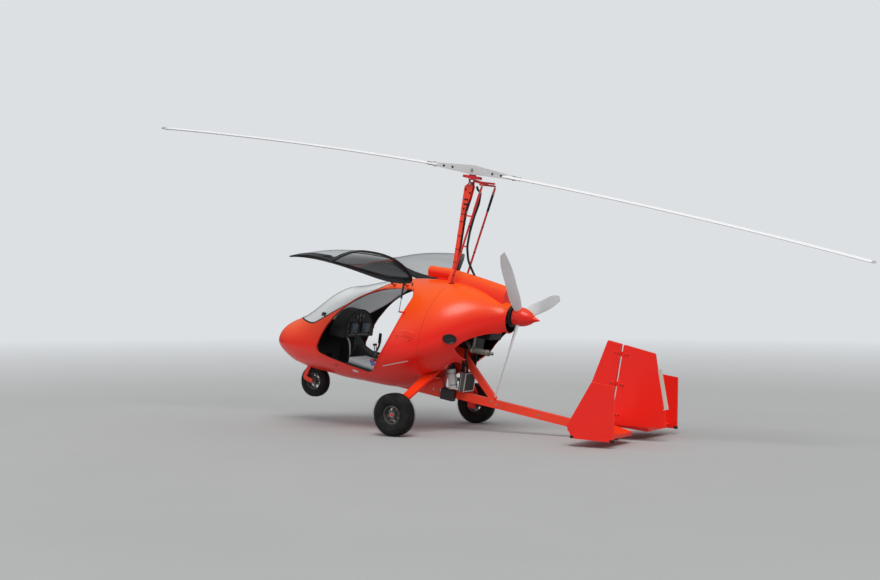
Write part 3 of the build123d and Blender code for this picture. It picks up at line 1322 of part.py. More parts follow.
# Nose wheel on its trailing fork, steered about an upright tube in the wheel well
NOSE_HUB_DIAMETER = 62
NOSE_HUB_WIDTH = 72
NOSE_RIM_HOLES = 6
nose_place = Location((NOSE_X, 0, NOSE_HEIGHT))
with BuildPart() as nose_tyre:
    add(tyre_form(NOSE_TYRE_DIAMETER, NOSE_TYRE_WIDTH, NOSE_RIM_DIAMETER).moved(nose_place))
nose_tyre.part.label = "nose_tyre"
export_step(nose_tyre.part.moved(PARKED), "parts/nose_tyre.step")
with BuildPart() as nose_rim:
    nose_rim_form = rim_form(
        NOSE_RIM_DIAMETER,
        NOSE_RIM_WIDTH,
        NOSE_AXLE_DIAMETER,
        NOSE_HUB_DIAMETER,
        NOSE_HUB_WIDTH,
        NOSE_RIM_HOLES,
    )
    add(nose_rim_form.moved(nose_place))
nose_rim.part.label = "nose_rim"
export_step(nose_rim.part.moved(PARKED), "parts/nose_rim.step")
FORK_INNER = NOSE_TYRE_WIDTH / 2 + 9
FORK_KNEE = (STEER_X - 48, -18)
with BuildPart() as nose_fork:
    with Locations((STEER_X, 0, WELL_TOP - 12)):
        Cylinder(STEER_TUBE_DIAMETER / 2, 90, align=(Align.CENTER, Align.CENTER, Align.MIN))
    for _, side in SIDES:
        with BuildSketch(Plane.XZ.offset(-side * (FORK_INNER + FORK_PLATE / 2))):
            with BuildLine():
                FilletPolyline(
                    (STEER_X, WELL_TOP - 24),
                    (STEER_X - 6, WELL_TOP - 60),
                    FORK_KNEE,
                    (NOSE_X, NOSE_HEIGHT),
                    radius=24,
                )
            trace(line_width=FORK_WIDTH)
        extrude(amount=FORK_PLATE / 2, both=True)
    with Locations((STEER_X, 0, WELL_TOP - 8)):
        Box(
            FORK_WIDTH + 8,
            2 * (FORK_INNER + FORK_PLATE),
            14,
            align=(Align.CENTER, Align.CENTER, Align.MAX),
        )
    with Locations(Plane.XZ * Location((NOSE_X, NOSE_HEIGHT, 0))):
        Cylinder(NOSE_AXLE_DIAMETER / 2, 2 * (FORK_INNER + FORK_PLATE + TOW_PIN_LENGTH))
nose_fork.part.label = "nose_fork"
export_step(nose_fork.part.moved(PARKED), "parts/nose_fork.step")

# Tail: centre fin on the keel, rudder behind it, stabiliser and two end fins
STABILISER_FRONT_X = 1886
STABILISER_REAR_X = 2300
STABILISER_GAP = 6
FIN_FOOT = STABILISER_HEIGHT + STABILISER_THICKNESS / 2
FIN_OUTLINE = (
    (RUDDER_HINGE_X - 12, FIN_FOOT),
    (RUDDER_HINGE_X - 12, 1087),
    (1815, 1096),
    (1623, KEEL_TOP),
    (STABILISER_FRONT_X - STABILISER_GAP, KEEL_TOP),
    (STABILISER_FRONT_X - STABILISER_GAP, FIN_FOOT),
)
RUDDER_OUTLINE = (
    (RUDDER_HINGE_X + 14, 300),
    (RUDDER_HINGE_X + 14, 1086),
    (2325, 1065),
    (2372, 934),
    (2517, 540),
    (2556, 376),
    (RUDDER_HINGE_X + 75, 290),
)
RUDDER_THICKNESS = 34
RUDDER_EDGE = 8
RUDDER_PIN_DIAMETER = 10
RUDDER_HINGES = (390, 690, 990)
END_FIN_OUTLINE = (
    (1955, 207),
    (1879, 310),
    (2061, 773),
    (2291, 779),
    (2374, 262),
)
RUDDER_SWING = 25
NOTCH_MARGIN = 22


def plate(outline, thickness, corner):
    """A rounded flat plate standing on the centre plane, from its side-view outline."""
    with BuildPart() as body:
        with BuildSketch(Plane.XZ):
            with BuildLine():
                Polyline(*outline, close=True)
            make_face()
        extrude(amount=thickness / 2, both=True)
        fillet(body.edges().filter_by(Axis.Y), corner)
    return body.part


with BuildPart() as centre_fin:
    add(plate(FIN_OUTLINE, FIN_THICKNESS, 6))
    for height in RUDDER_HINGES:
        with Locations((RUDDER_HINGE_X - 14, 0, height)):
            Box(28, 12, 16)
        with Locations((RUDDER_HINGE_X, 0, height)):
            Cylinder(8, 16)
            Cylinder(RUDDER_PIN_DIAMETER / 2, 48)
centre_fin.part.label = "centre_fin"
export_step(centre_fin.part.moved(PARKED), "parts/centre_fin.step")

with BuildPart() as rudder:
    add(plate(RUDDER_OUTLINE, RUDDER_THICKNESS, 10))
    with BuildSketch(Plane.XY.offset(RUDDER_OUTLINE[-1][1] - 20)):
        with BuildLine():
            Polyline(
                (RUDDER_HINGE_X, -RUDDER_THICKNESS / 2),
                (RUDDER_HINGE_X + 240, -RUDDER_THICKNESS / 2),
                (RUDDER_OUTLINE[5][0] + 4, -RUDDER_EDGE / 2),
                (RUDDER_OUTLINE[5][0] + 4, RUDDER_EDGE / 2),
                (RUDDER_HINGE_X + 240, RUDDER_THICKNESS / 2),
                (RUDDER_HINGE_X, RUDDER_THICKNESS / 2),
                close=True,
            )
        make_face()
    extrude(amount=RUDDER_OUTLINE[1][1], mode=Mode.INTERSECT)
    for height in RUDDER_HINGES:
        for lift in (-17, 17):
            with Locations((RUDDER_HINGE_X + 12, 0, height + lift)):
                Box(24, 12, 14)
            with Locations((RUDDER_HINGE_X, 0, height + lift)):
                Cylinder(8, 14)
                Cylinder(RUDDER_PIN_DIAMETER / 2 + RUNNING_FIT, 14, mode=Mode.SUBTRACT)
rudder.part.label = "rudder"
export_step(rudder.part.moved(PARKED), "parts/rudder.step")

with BuildPart() as stabiliser:
    with BuildSketch(Plane.XY.offset(STABILISER_HEIGHT)):
        with Locations(((STABILISER_FRONT_X + STABILISER_REAR_X) / 2, 0)):
            Rectangle(
                STABILISER_REAR_X - STABILISER_FRONT_X, 2 * END_FIN_Y - END_FIN_THICKNESS
            )
        notch = tan(radians(RUDDER_SWING)) * (STABILISER_REAR_X - RUDDER_HINGE_X)
        with BuildLine():
            Polyline(
                (RUDDER_HINGE_X - 6, -RUDDER_THICKNESS / 2 - NOTCH_MARGIN),
                (STABILISER_REAR_X + 1, -notch - RUDDER_THICKNESS / 2 - NOTCH_MARGIN),
                (STABILISER_REAR_X + 1, notch + RUDDER_THICKNESS / 2 + NOTCH_MARGIN),
                (RUDDER_HINGE_X - 6, RUDDER_THICKNESS / 2 + NOTCH_MARGIN),
                close=True,
            )
        make_face(mode=Mode.SUBTRACT)
    extrude(amount=STABILISER_THICKNESS / 2, both=True)
    with Locations((STABILISER_FRONT_X + 30, 0, KEEL_TOP)):
        Box(
            50,
            KEEL_WIDTH,
            STABILISER_HEIGHT - KEEL_TOP,
            align=(Align.CENTER, Align.CENTER, Align.MIN),
        )
stabiliser.part.label = "stabiliser"
export_step(stabiliser.part.moved(PARKED), "parts/stabiliser.step")

with BuildPart() as end_fins:
    for _, side in SIDES:
        add(plate(END_FIN_OUTLINE, END_FIN_THICKNESS, 14).moved(Location((0, side * END_FIN_Y, 0))))
end_fins.part.label = "end_fins"
export_step(end_fins.part.moved(PARKED), "parts/end_fins.step")

# Cabin: seat shells, cushions, instrument pod and the cockpit controls
SEAT_Y = 256
SEAT_WIDTH = 372
SEAT_FRONT = (-950, 318)
SEAT_CROTCH = (-474, 292)
SEAT_HEAD = (-236, 905)
SEAT_SHELL = 14
CUSHION_THICKNESS = 84
BACK_THICKNESS = 64
CUSHION_CLEAR = 0.5
CUSHION_MARGIN = 14
with BuildPart() as seat_space:
    add(body_form(CABIN_WALL, BODY_SECTIONS[NOSE_SOLID_SECTIONS:]))
with BuildPart() as seat_shells:
    for _, side in SIDES:
        with BuildSketch(Plane.XZ.offset(-side * SEAT_Y)):
            with BuildLine():
                Polyline(
                    (SEAT_FRONT[0], 60),
                    SEAT_FRONT,
                    SEAT_CROTCH,
                    SEAT_HEAD,
                    (SEAT_HEAD[0] + SEAT_SHELL, SEAT_HEAD[1] - 6),
                    (SEAT_CROTCH[0] + SEAT_SHELL, SEAT_CROTCH[1] - 2),
                    (SEAT_CROTCH[0] + SEAT_SHELL, 60),
                    (SEAT_CROTCH[0], 60),
                    (SEAT_CROTCH[0], SEAT_CROTCH[1] - SEAT_SHELL),
                    (SEAT_FRONT[0] + SEAT_SHELL, SEAT_FRONT[1] - SEAT_SHELL),
                    (SEAT_FRONT[0] + SEAT_SHELL, 60),
                    close=True,
                )
            make_face()
        extrude(amount=SEAT_WIDTH / 2, both=True)
    add(seat_space.part, mode=Mode.INTERSECT)
seat_shells.part.label = "seat_shells"
export_step(seat_shells.part.moved(PARKED), "parts/seat_shells.step")

seat_run = Vector(SEAT_FRONT[0] - SEAT_CROTCH[0], 0, SEAT_FRONT[1] - SEAT_CROTCH[1])
back_run = Vector(SEAT_HEAD[0] - SEAT_CROTCH[0], 0, SEAT_HEAD[1] - SEAT_CROTCH[1])
for name, side in SIDES:
    corner = Vector(SEAT_CROTCH[0], side * SEAT_Y, SEAT_CROTCH[1])
    seat_plane = Plane(corner, x_dir=seat_run, z_dir=(0, side, 0))
    back_plane = Plane(corner, x_dir=back_run, z_dir=(0, side, 0))
    seat_up = 1 if seat_plane.y_dir.Z > 0 else -1
    back_up = 1 if back_plane.y_dir.X < 0 else -1
    with BuildPart() as seat_cushion:
        with BuildSketch(seat_plane):
            with BuildLine():
                Polyline(
                    (BACK_THICKNESS + 12, seat_up * CUSHION_CLEAR),
                    (seat_run.length - CUSHION_MARGIN, seat_up * CUSHION_CLEAR),
                    (seat_run.length - CUSHION_MARGIN, seat_up * (CUSHION_THICKNESS - 10)),
                    (BACK_THICKNESS + 40, seat_up * (CUSHION_THICKNESS - 20)),
                    close=True,
                )
            make_face()
        extrude(amount=SEAT_WIDTH / 2 - CUSHION_MARGIN, both=True)
        fillet(seat_cushion.edges().filter_by(Axis.Y), 18)
    seat_cushion.part.label = f"{name}_seat_cushion"
    export_step(seat_cushion.part.moved(PARKED), f"parts/{name}_seat_cushion.step")
    with BuildPart() as back_cushion:
        with BuildSketch(back_plane):
            with BuildLine():
                Polyline(
                    (34, back_up * CUSHION_CLEAR),
                    (back_run.length - 4, back_up * CUSHION_CLEAR),
                    (back_run.length - 4, back_up * (BACK_THICKNESS - 20)),
                    (34, back_up * BACK_THICKNESS),
                    close=True,
                )
            make_face()
        extrude(amount=SEAT_WIDTH / 2 - CUSHION_MARGIN, both=True)
        fillet(back_cushion.edges().filter_by(Axis.Y), 16)
    back_cushion.part.label = f"{name}_back_cushion"
    export_step(back_cushion.part.moved(PARKED), f"parts/{name}_back_cushion.step")

# Instrument pod: a domed panel facing aft, hollow, on a pedestal that runs back along the floor
POD_FACE_X = -1128
POD_DEPTH = 190
POD_HALF_WIDTH = 292
POD_SHOULDER = 640
POD_TOP = 852
POD_WALL = 9
PEDESTAL_WIDTH = 130
PEDESTAL_TOP = 470
PEDESTAL_REAR = (-700, 330)
with BuildPart() as pod_hood:
    with BuildSketch(Plane((POD_FACE_X, 0, 0), x_dir=(0, 1, 0), z_dir=(1, 0, 0))):
        with BuildLine():
            sill = Line((POD_HALF_WIDTH, POD_SHOULDER - 90), (-POD_HALF_WIDTH, POD_SHOULDER - 90))
            left = Line(sill @ 1, (-POD_HALF_WIDTH, POD_SHOULDER))
            dome = ThreePointArc(left @ 1, (0, POD_TOP), (POD_HALF_WIDTH, POD_SHOULDER))
            Line(dome @ 1, sill @ 0)
        make_face()
    extrude(amount=-POD_DEPTH)
    back_edges = pod_hood.faces().sort_by(Axis.X)[0].edges()
    fillet(back_edges.sort_by(Axis.Z)[-1], 60)
    with BuildSketch(Plane((POD_FACE_X - 2 * POD_WALL, 0, 0), x_dir=(0, 1, 0), z_dir=(1, 0, 0))):
        with BuildLine():
            half = POD_HALF_WIDTH - POD_WALL
            sill = Line((half, POD_SHOULDER - 90 + POD_WALL), (-half, POD_SHOULDER - 90 + POD_WALL))
            left = Line(sill @ 1, (-half, POD_SHOULDER))
            dome = ThreePointArc(left @ 1, (0, POD_TOP - 4 * POD_WALL), (half, POD_SHOULDER))
            Line(dome @ 1, sill @ 0)
        make_face()
    extrude(amount=-POD_DEPTH, mode=Mode.SUBTRACT)
with BuildPart() as instrument_pod:
    add(pod_hood.part)
    with BuildSketch(Plane.XZ):
        with BuildLine():
            Polyline(
                (POD_FACE_X - POD_DEPTH + 30, 60),
                (POD_FACE_X - POD_DEPTH + 30, POD_SHOULDER - 86),
                (POD_FACE_X - 6, POD_SHOULDER - 86),
                (POD_FACE_X + 70, PEDESTAL_TOP),
                PEDESTAL_REAR,
                (PEDESTAL_REAR[0], 60),
                close=True,
            )
        make_face()
    extrude(amount=PEDESTAL_WIDTH / 2, both=True)
    with BuildSketch(Plane.XZ):
        with BuildLine():
            Polyline(
                (POD_FACE_X - POD_DEPTH + 40, 40),
                (POD_FACE_X - POD_DEPTH + 40, POD_SHOULDER - 110),
                (POD_FACE_X - 16, POD_SHOULDER - 110),
                (POD_FACE_X + 60, PEDESTAL_TOP - 14),
                (PEDESTAL_REAR[0] - 12, PEDESTAL_REAR[1] - 12),
                (PEDESTAL_REAR[0] - 12, 40),
                close=True,
            )
        make_face()
    extrude(amount=PEDESTAL_WIDTH / 2 - POD_WALL, both=True, mode=Mode.SUBTRACT)
    add(CABIN_INNER, mode=Mode.INTERSECT)
    add(keel_frame.part, mode=Mode.SUBTRACT)
    add(seat_shells.part, mode=Mode.SUBTRACT)
instrument_pod.part.label = "instrument_pod"
export_step(instrument_pod.part.moved(PARKED), "parts/instrument_pod.step")

# Cockpit controls: a stick and a pair of pedals for each seat, and the centre lever
STICK_DIAMETER = 22
GRIP_DIAMETER = 34
STICK_PATH = ((-1010, 130), (-1046, 300), (-985, 470), (-990, 585))
PEDAL_X = -1385
PEDAL_HEIGHT = 292
PEDAL_SPACING = 150
PEDAL_WIDTH = 84
with BuildPart() as cockpit_controls:
    for _, side in SIDES:
        lane = Plane.XZ.offset(-side * SEAT_Y * 0.92)
        with BuildLine(lane) as stick_line:
            FilletPolyline(*STICK_PATH, radius=60)
        with BuildSketch(Plane(stick_line.line @ 0, z_dir=stick_line.line % 0)):
            Circle(STICK_DIAMETER / 2)
        sweep(path=stick_line.line)
        with BuildSketch(Plane(stick_line.line @ 1, z_dir=stick_line.line % 1).offset(-90)):
            Circle(GRIP_DIAMETER / 2)
        extrude(amount=100)
        for pedal in (-1, 1):
            with BuildSketch(Plane.XZ.offset(-side * SEAT_Y * 0.8 - pedal * PEDAL_SPACING / 2)):
                with BuildLine():
                    Polyline(
                        (PEDAL_X - 70, 90), (PEDAL_X - 8, PEDAL_HEIGHT - 60), (PEDAL_X, PEDAL_HEIGHT)
                    )
                trace(line_width=14)
            extrude(amount=9, both=True)
            with BuildSketch(Plane.XZ.offset(-side * SEAT_Y * 0.8 - pedal * PEDAL_SPACING / 2)):
                with BuildLine():
                    Line((PEDAL_X - 4, PEDAL_HEIGHT - 70), (PEDAL_X + 14, PEDAL_HEIGHT + 30))
                trace(line_width=12)
            extrude(amount=PEDAL_WIDTH / 2, both=True)
    add(CABIN_INNER, mode=Mode.INTERSECT)
cockpit_controls.part.label = "cockpit_controls"
export_step(cockpit_controls.part.moved(PARKED), "parts/cockpit_controls.step")
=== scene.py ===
import json
import logging
import math
from collections.abc import Sequence
from dataclasses import dataclass
from enum import Enum

import bmesh
import bpy
from mathutils import Matrix, Vector
from mathutils.bvhtree import BVHTree

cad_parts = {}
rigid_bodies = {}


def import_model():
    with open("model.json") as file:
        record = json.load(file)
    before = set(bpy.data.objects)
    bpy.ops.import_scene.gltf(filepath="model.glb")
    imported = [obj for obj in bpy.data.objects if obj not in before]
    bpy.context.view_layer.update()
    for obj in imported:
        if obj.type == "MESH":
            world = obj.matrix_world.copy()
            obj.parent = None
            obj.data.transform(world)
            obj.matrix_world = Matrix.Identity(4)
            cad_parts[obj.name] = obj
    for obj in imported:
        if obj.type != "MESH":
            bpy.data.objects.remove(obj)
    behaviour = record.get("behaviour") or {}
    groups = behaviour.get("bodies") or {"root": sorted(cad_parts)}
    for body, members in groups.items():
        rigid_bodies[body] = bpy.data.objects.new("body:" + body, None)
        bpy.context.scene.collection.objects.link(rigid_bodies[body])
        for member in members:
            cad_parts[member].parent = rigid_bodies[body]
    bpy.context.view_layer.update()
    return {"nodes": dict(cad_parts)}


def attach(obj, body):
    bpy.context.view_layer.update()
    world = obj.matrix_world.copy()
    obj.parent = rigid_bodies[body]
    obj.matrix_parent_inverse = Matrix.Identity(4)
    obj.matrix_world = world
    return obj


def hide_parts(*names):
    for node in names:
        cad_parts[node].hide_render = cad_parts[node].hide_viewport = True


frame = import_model()
LOG = logging.getLogger("gyrocopter")

# The machine is drawn level, in metres, and parked nose-up on its main and tail wheels
PARK = math.radians(10.1)
HUB_GROUND_X = -0.004 * math.cos(PARK) + 2.535 * math.sin(PARK) - 0.160 * math.sin(math.radians(11.1))
AXLE_HEIGHT = 0.220
PARKED = Matrix.Translation((-HUB_GROUND_X, 0, AXLE_HEIGHT)) @ Matrix.Rotation(PARK, 4, "Y")
LEVELLED = PARKED.inverted()
SIDES = (("left", -1), ("right", 1))
FACES = (("port", -1), ("starboard", 1))

# A door's hinge line, and how far the doors stand open at rest
HINGE_MIDDLE = (-492.0, 322.0, 1243.0)
HINGE_SLOPE = math.radians(6.7)
HINGE_TOE = math.radians(5.0)
DOOR_OPEN = 91.0

# The door's three corners in the side view, and a point on each of its curved sides
DOOR_FRONT = (-1322.0, 372.0)
DOOR_REAR = (-552.0, 300.0)
DOOR_TOP = (-238.0, 1206.0)
DOOR_BACK = (-318.0, 749.0)
DOOR_BROW = (-905.0, 1022.0)

# How far the sides are cut back at the rear, top and front corner
DOOR_CUTS = (66.0, 64.0, 46.0)

Point = tuple[float, float, float]
Flat = tuple[float, float]

X_AXIS = Vector((1, 0, 0))
Y_AXIS = Vector((0, 1, 0))
Z_AXIS = Vector((0, 0, 1))


class Body(Enum):
    """The CAD bodies that pieces ride on."""

    AIRFRAME = "airframe"
    LEFT_WHEEL = "left_wheel"
    RIGHT_WHEEL = "right_wheel"
    NOSE_LEG = "nose_leg"
    NOSE_WHEEL = "nose_wheel"
    TAIL_WHEEL = "tail_wheel"
    RUDDER = "rudder"
    TEE = "tee"
    ROTOR_SHAFT = "rotor_shaft"
    ROTOR = "rotor"
    PROPELLER = "propeller"
    LEFT_DOOR = "left_door"
    RIGHT_DOOR = "right_door"
    LEFT_ROD = "left_rod"
    RIGHT_ROD = "right_rod"
    LEFT_STRUT_TUBE = "left_strut_tube"
    RIGHT_STRUT_TUBE = "right_strut_tube"


def side_body(name: str, side: str) -> Body:
    """The body of that name on the left or right side."""
    return Body(f"{side}_{name}")


def mm(*values: float) -> Vector:
    """A vector of the level drawing, given in millimetres."""
    return Vector(values) / 1000


# Node graphs


class Wire:
    """An output of a node graph that Python's operators work on."""

    def __init__(self, graph: "Graph", socket: bpy.types.NodeSocket) -> None:
        """Keeps the graph and the socket."""
        self.graph = graph
        self.socket = socket

    def sum_up(self, operation: str, first: object, second: object) -> "Wire":
        """Adds one Math node.

        Args:
            operation: The Math node's operation.
            first: Its first value or wire.
            second: Its second value or wire.

        Returns:
            The node's result.
        """
        kind = self.graph.MATH
        return self.graph.node(kind, {"operation": operation}, {0: first, 1: second})

    def __add__(self, other: object) -> "Wire":
        """This plus another."""
        return self.sum_up("ADD", self, other)

    def __radd__(self, other: object) -> "Wire":
        """Another plus this."""
        return self.sum_up("ADD", other, self)

    def __sub__(self, other: object) -> "Wire":
        """This minus another."""
        return self.sum_up("SUBTRACT", self, other)

    def __rsub__(self, other: object) -> "Wire":
        """Another minus this."""
        return self.sum_up("SUBTRACT", other, self)

    def __mul__(self, other: object) -> "Wire":
        """This times another."""
        return self.sum_up("MULTIPLY", self, other)

    def __rmul__(self, other: object) -> "Wire":
        """Another times this."""
        return self.sum_up("MULTIPLY", other, self)

    def __pow__(self, other: object) -> "Wire":
        """This to the power of another."""
        return self.sum_up("POWER", self, other)


class Graph:
    """A node tree that is written as calls."""

    MATH = "ShaderNodeMath"

    def __init__(self, tree: bpy.types.NodeTree) -> None:
        """Keeps the tree."""
        self.tree = tree

    def node(
        self,
        kind: str,
        settings: dict[str, object] | None = None,
        values: dict[object, object] | None = None,
        output: object = 0,
    ) -> Wire:
        """Adds a node.

        Args:
            kind: The node's type.
            settings: Its settings, and the stops of a ramp under "stops".
            values: Its inputs by name or number, as values or wires.
            output: The name or number of the output to return.

        Returns:
            The output as a wire.
        """
        made = self.tree.nodes.new(kind)
        for key, value in (settings or {}).items():
            if key == "stops":
                ramp = made.color_ramp.elements
                while len(ramp) < len(value):
                    ramp.new(0.5)
                for stop, (place, colour) in zip(ramp, value):
                    stop.position = place
                    stop.color = (*colour, 1.0)
            else:
                setattr(made, key, value)
        for key, value in (values or {}).items():
            self.feed(made.inputs[key], value)
        return Wire(self, made.outputs[output])

    def feed(self, socket: bpy.types.NodeSocket, value: object) -> None:
        """Links a wire to a socket, or sets the socket's own value.

        Args:
            socket: The socket.
            value: The wire, or the value to set.
        """
        if isinstance(value, Wire):
            self.tree.links.new(value.socket, socket)
        else:
            socket.default_value = value


class Bench(Graph):
    """The shader of one material."""

    def __init__(self, name: str) -> None:
        """Makes an empty material of that name with its main shader.

        Args:
            name: The material's name.
        """
        self.material = bpy.data.materials.new(name)
        self.material.use_nodes = True
        super().__init__(self.material.node_tree)
        self.shader = self.tree.nodes["Principled BSDF"]
        self.spots = self.node("ShaderNodeTexCoord", {}, {}, "Object")

    def set(self, **inputs: object) -> None:
        """Sets or links inputs of the main shader, named with underscores for blanks."""
        for key, value in inputs.items():
            self.feed(self.shader.inputs[key.replace("_", " ")], value)

    def stretched(self, scale: Point, turn: Point = (0.0, 0.0, 0.0)) -> Wire:
        """Object coordinates scaled along the axes, for grain and weave."""
        values = {"Vector": self.spots, "Scale": scale, "Rotation": turn}
        return self.node("ShaderNodeMapping", {}, values)

    def upward(self) -> Wire:
        """How far the surface faces up, from -1 to 1."""
        facing = self.node("ShaderNodeTexCoord", {}, {}, "Normal")
        return self.node("ShaderNodeSeparateXYZ", {}, {0: facing}, "Z")

    def grain(
        self, scale: float, detail: float = 4.0, rough: float = 0.55, where: Wire | None = None
    ) -> Wire:
        """Fractal noise from 0 to 1."""
        values = {"Vector": where or self.spots, "Scale": scale, "Detail": detail, "Roughness": rough}
        return self.node("ShaderNodeTexNoise", {}, values, "Fac")

    def waves(self, way: str, profile: str, where: Wire, scale: float, wander: float = 0.0) -> Wire:
        """Even bands across an axis, for threads and ribs.

        Args:
            way: The axis that the bands lie across.
            profile: The profile of a band.
            where: The coordinates.
            scale: How close the bands are.
            wander: How much they wander.

        Returns:
            The bands from 0 to 1.
        """
        settings = {"wave_type": "BANDS", "bands_direction": way, "wave_profile": profile}
        values = {"Vector": where, "Scale": scale, "Distortion": wander}
        return self.node("ShaderNodeTexWave", settings, values, "Fac")

    def span(self, value: Wire, low: float, high: float, to_low: float = 0.0, to_high: float = 1.0) -> Wire:
        """A value mapped from one range to another and clamped."""
        values = {0: value, 1: low, 2: high, 3: to_low, 4: to_high}
        return self.node("ShaderNodeMapRange", {"clamp": True}, values)

    def mixed(self, share: object, first: object, second: object, way: str = "MIX") -> Wire:
        """Two colours mixed by a share."""
        settings = {"data_type": "RGBA", "blend_type": way}
        return self.node("ShaderNodeMix", settings, {0: share, 6: first, 7: second}, 2)

    def raised(self, height: Wire, strength: float, depth: float) -> None:
        """Feeds a bump of a height in metres to the main shader's normal."""
        values = {"Strength": strength, "Distance": depth, "Height": height}
        self.set(Normal=self.node("ShaderNodeBump", {}, values))


def rgba(colour: Point) -> tuple[float, float, float, float]:
    """A colour with full alpha."""
    return (*colour, 1.0)


def tone(colour: Point, factor: float) -> tuple[float, float, float, float]:
    """A colour made lighter or darker, with full alpha."""
    return tuple(min(1.0, c * factor) for c in colour) + (1.0,)


# Finishes

MADE: dict[str, bpy.types.Material] = {}


@dataclass(frozen=True)
class Finish:
    """A finish of one of the machine's surfaces."""

    name: str
    slot: str
    colour: Point
    roughness: float = 0.4

    def paint(self, bench: Bench) -> None:
        """Builds the shader; each kind of finish has its own.

        Args:
            bench: The material's shader.
        """
        raise NotImplementedError

    def material(self) -> bpy.types.Material:
        """The finish's material, made once.

        Returns:
            The material.
        """
        if self.name not in MADE:
            bench = Bench(self.name)
            self.paint(bench)
            MADE[self.name] = bench.material
        return MADE[self.name]


# Painted light: the lit orange that the paint turns to where it faces up, and the pale sky that the door
# panes turn to there as a painted reflection
PAINTED_TOP_LIGHT = (0.94, 0.100, 0.004)
PAINTED_SKY = (0.62, 0.65, 0.66)


@dataclass(frozen=True)
class GlossPaint(Finish):
    """Sprayed gloss paint with a painted top light that turns it more orange where it faces up, orange peel,
    a clear coat and faint dust.
    """

    coat: float = 0.25
    dust: float = 0.06
    top_light_share: float = 1.0

    def paint(self, bench: Bench) -> None:
        """Builds the paint.

        Args:
            bench: The material's shader.
        """
        drift = bench.grain(1.3, 3.0)
        # Painted light: the colour is mixed towards a lit orange where the surface faces up
        lift = bench.span(bench.upward(), 0.05, 0.80)
        painted_top = tuple(part + self.top_light_share * (top - part) for part, top in zip(self.colour, PAINTED_TOP_LIGHT))
        body = bench.mixed(lift, rgba(self.colour), rgba(painted_top))
        shade = bench.mixed(bench.span(drift, 0.35, 0.65, 0.0, 0.06), body, rgba(painted_top))
        specks = bench.span(bench.grain(55.0, 5.0, 0.7), 0.56, 0.76)
        film = specks * bench.span(bench.grain(3.1, 4.0), 0.45, 0.7) * self.dust
        bench.set(Base_Color=bench.mixed(film, shade, (0.42, 0.38, 0.33, 1.0)))
        bench.set(Roughness=self.roughness + film * 0.5 + bench.span(drift, 0.3, 0.7, 0.0, 0.05))
        bench.set(Coat_Weight=self.coat, Coat_Roughness=0.22, IOR=1.5, Specular_IOR_Level=0.3)
        bench.raised(bench.grain(240.0, 2.0), 0.10, 0.0004)


@dataclass(frozen=True)
class PowderCoat(Finish):
    """Baked powder on metal, finely pebbled, with worn chips."""

    def paint(self, bench: Bench) -> None:
        """Builds the powder coat.

        Args:
            bench: The material's shader.
        """
        pebbles = bench.grain(420.0, 2.0)
        worn = bench.span(bench.grain(36.0, 6.0, 0.75), 0.70, 0.76)
        cloud = bench.span(bench.grain(2.4), 0.3, 0.7)
        shade = bench.mixed(cloud, tone(self.colour, 0.92), tone(self.colour, 1.04))
        bench.set(Base_Color=bench.mixed(worn * 0.5, shade, tone(self.colour, 0.45)))
        bench.set(Roughness=self.roughness + pebbles * 0.1 + worn * 0.2, Coat_Weight=0.25)
        bench.set(Coat_Roughness=0.2)
        bench.raised(pebbles, 0.18, 0.0006)


@dataclass(frozen=True)
class Alloy(Finish):
    """Light alloy with drawing lines along one axis and handling marks."""

    lines: Point = (4.0, 400.0, 400.0)
    metallic: float = 0.9
    contrast: float = 0.06

    def paint(self, bench: Bench) -> None:
        """Builds the metal.

        Args:
            bench: The material's shader.
        """
        streaks = bench.grain(1.0, 4.0, 0.6, bench.stretched(self.lines))
        marks = bench.grain(24.0, 6.0, 0.7)
        low = tone(self.colour, 1.0 - 2 * self.contrast)
        high = tone(self.colour, 1.0 + self.contrast)
        bench.set(Base_Color=bench.mixed(bench.span(streaks * 0.6 + marks * 0.4, 0.35, 0.65), low, high))
        bench.set(Roughness=self.roughness + bench.span(marks, 0.4, 0.7) * 0.12 + streaks * 0.08)
        bench.set(Metallic=self.metallic)
        bench.raised(streaks, 0.12, 0.0003)


@dataclass(frozen=True)
class Casting(Finish):
    """Sand-cast metal with a coarse skin and oil stains."""

    metallic: float = 0.7

    def paint(self, bench: Bench) -> None:
        """Builds the casting.

        Args:
            bench: The material's shader.
        """
        skin = bench.grain(180.0, 5.0, 0.7)
        stains = bench.span(bench.grain(9.0, 5.0), 0.48, 0.62)
        base = bench.mixed(skin, tone(self.colour, 0.7), tone(self.colour, 1.3))
        bench.set(Base_Color=bench.mixed(stains * 0.6, base, tone(self.colour, 0.35)))
        bench.set(Roughness=self.roughness - stains * 0.15 + skin * 0.1, Metallic=self.metallic)
        bench.raised(skin, 0.5, 0.0012)


@dataclass(frozen=True)
class Moulding(Finish):
    """Moulded plastic with a fine leather-like grain."""

    pore: float = 900.0

    def paint(self, bench: Bench) -> None:
        """Builds the plastic.

        Args:
            bench: The material's shader.
        """
        values = {"Vector": bench.spots, "Scale": self.pore}
        cells = bench.node("ShaderNodeTexVoronoi", {"feature": "F1"}, values, "Distance")
        rub = bench.span(bench.grain(7.0, 5.0), 0.45, 0.7)
        bench.set(Base_Color=bench.mixed(rub * 0.35, rgba(self.colour), tone(self.colour, 2.1)))
        bench.set(Roughness=self.roughness + rub * 0.08)
        bench.raised(cells, 0.25, 0.0006)


@dataclass(frozen=True)
class Rubber(Finish):
    """Rubber with a fine grain and dust in patches."""

    dust: float = 0.35

    def paint(self, bench: Bench) -> None:
        """Builds the rubber.

        Args:
            bench: The material's shader.
        """
        fine = bench.grain(160.0, 5.0, 0.7)
        patches = bench.span(bench.grain(11.0, 5.0, 0.6), 0.42, 0.72)
        dusty = patches * fine * self.dust
        bench.set(Base_Color=bench.mixed(dusty, rgba(self.colour), (0.24, 0.22, 0.195, 1.0)))
        bench.set(Roughness=self.roughness + dusty * 0.3, Specular_IOR_Level=0.25)
        bench.raised(fine, 0.3, 0.0008)


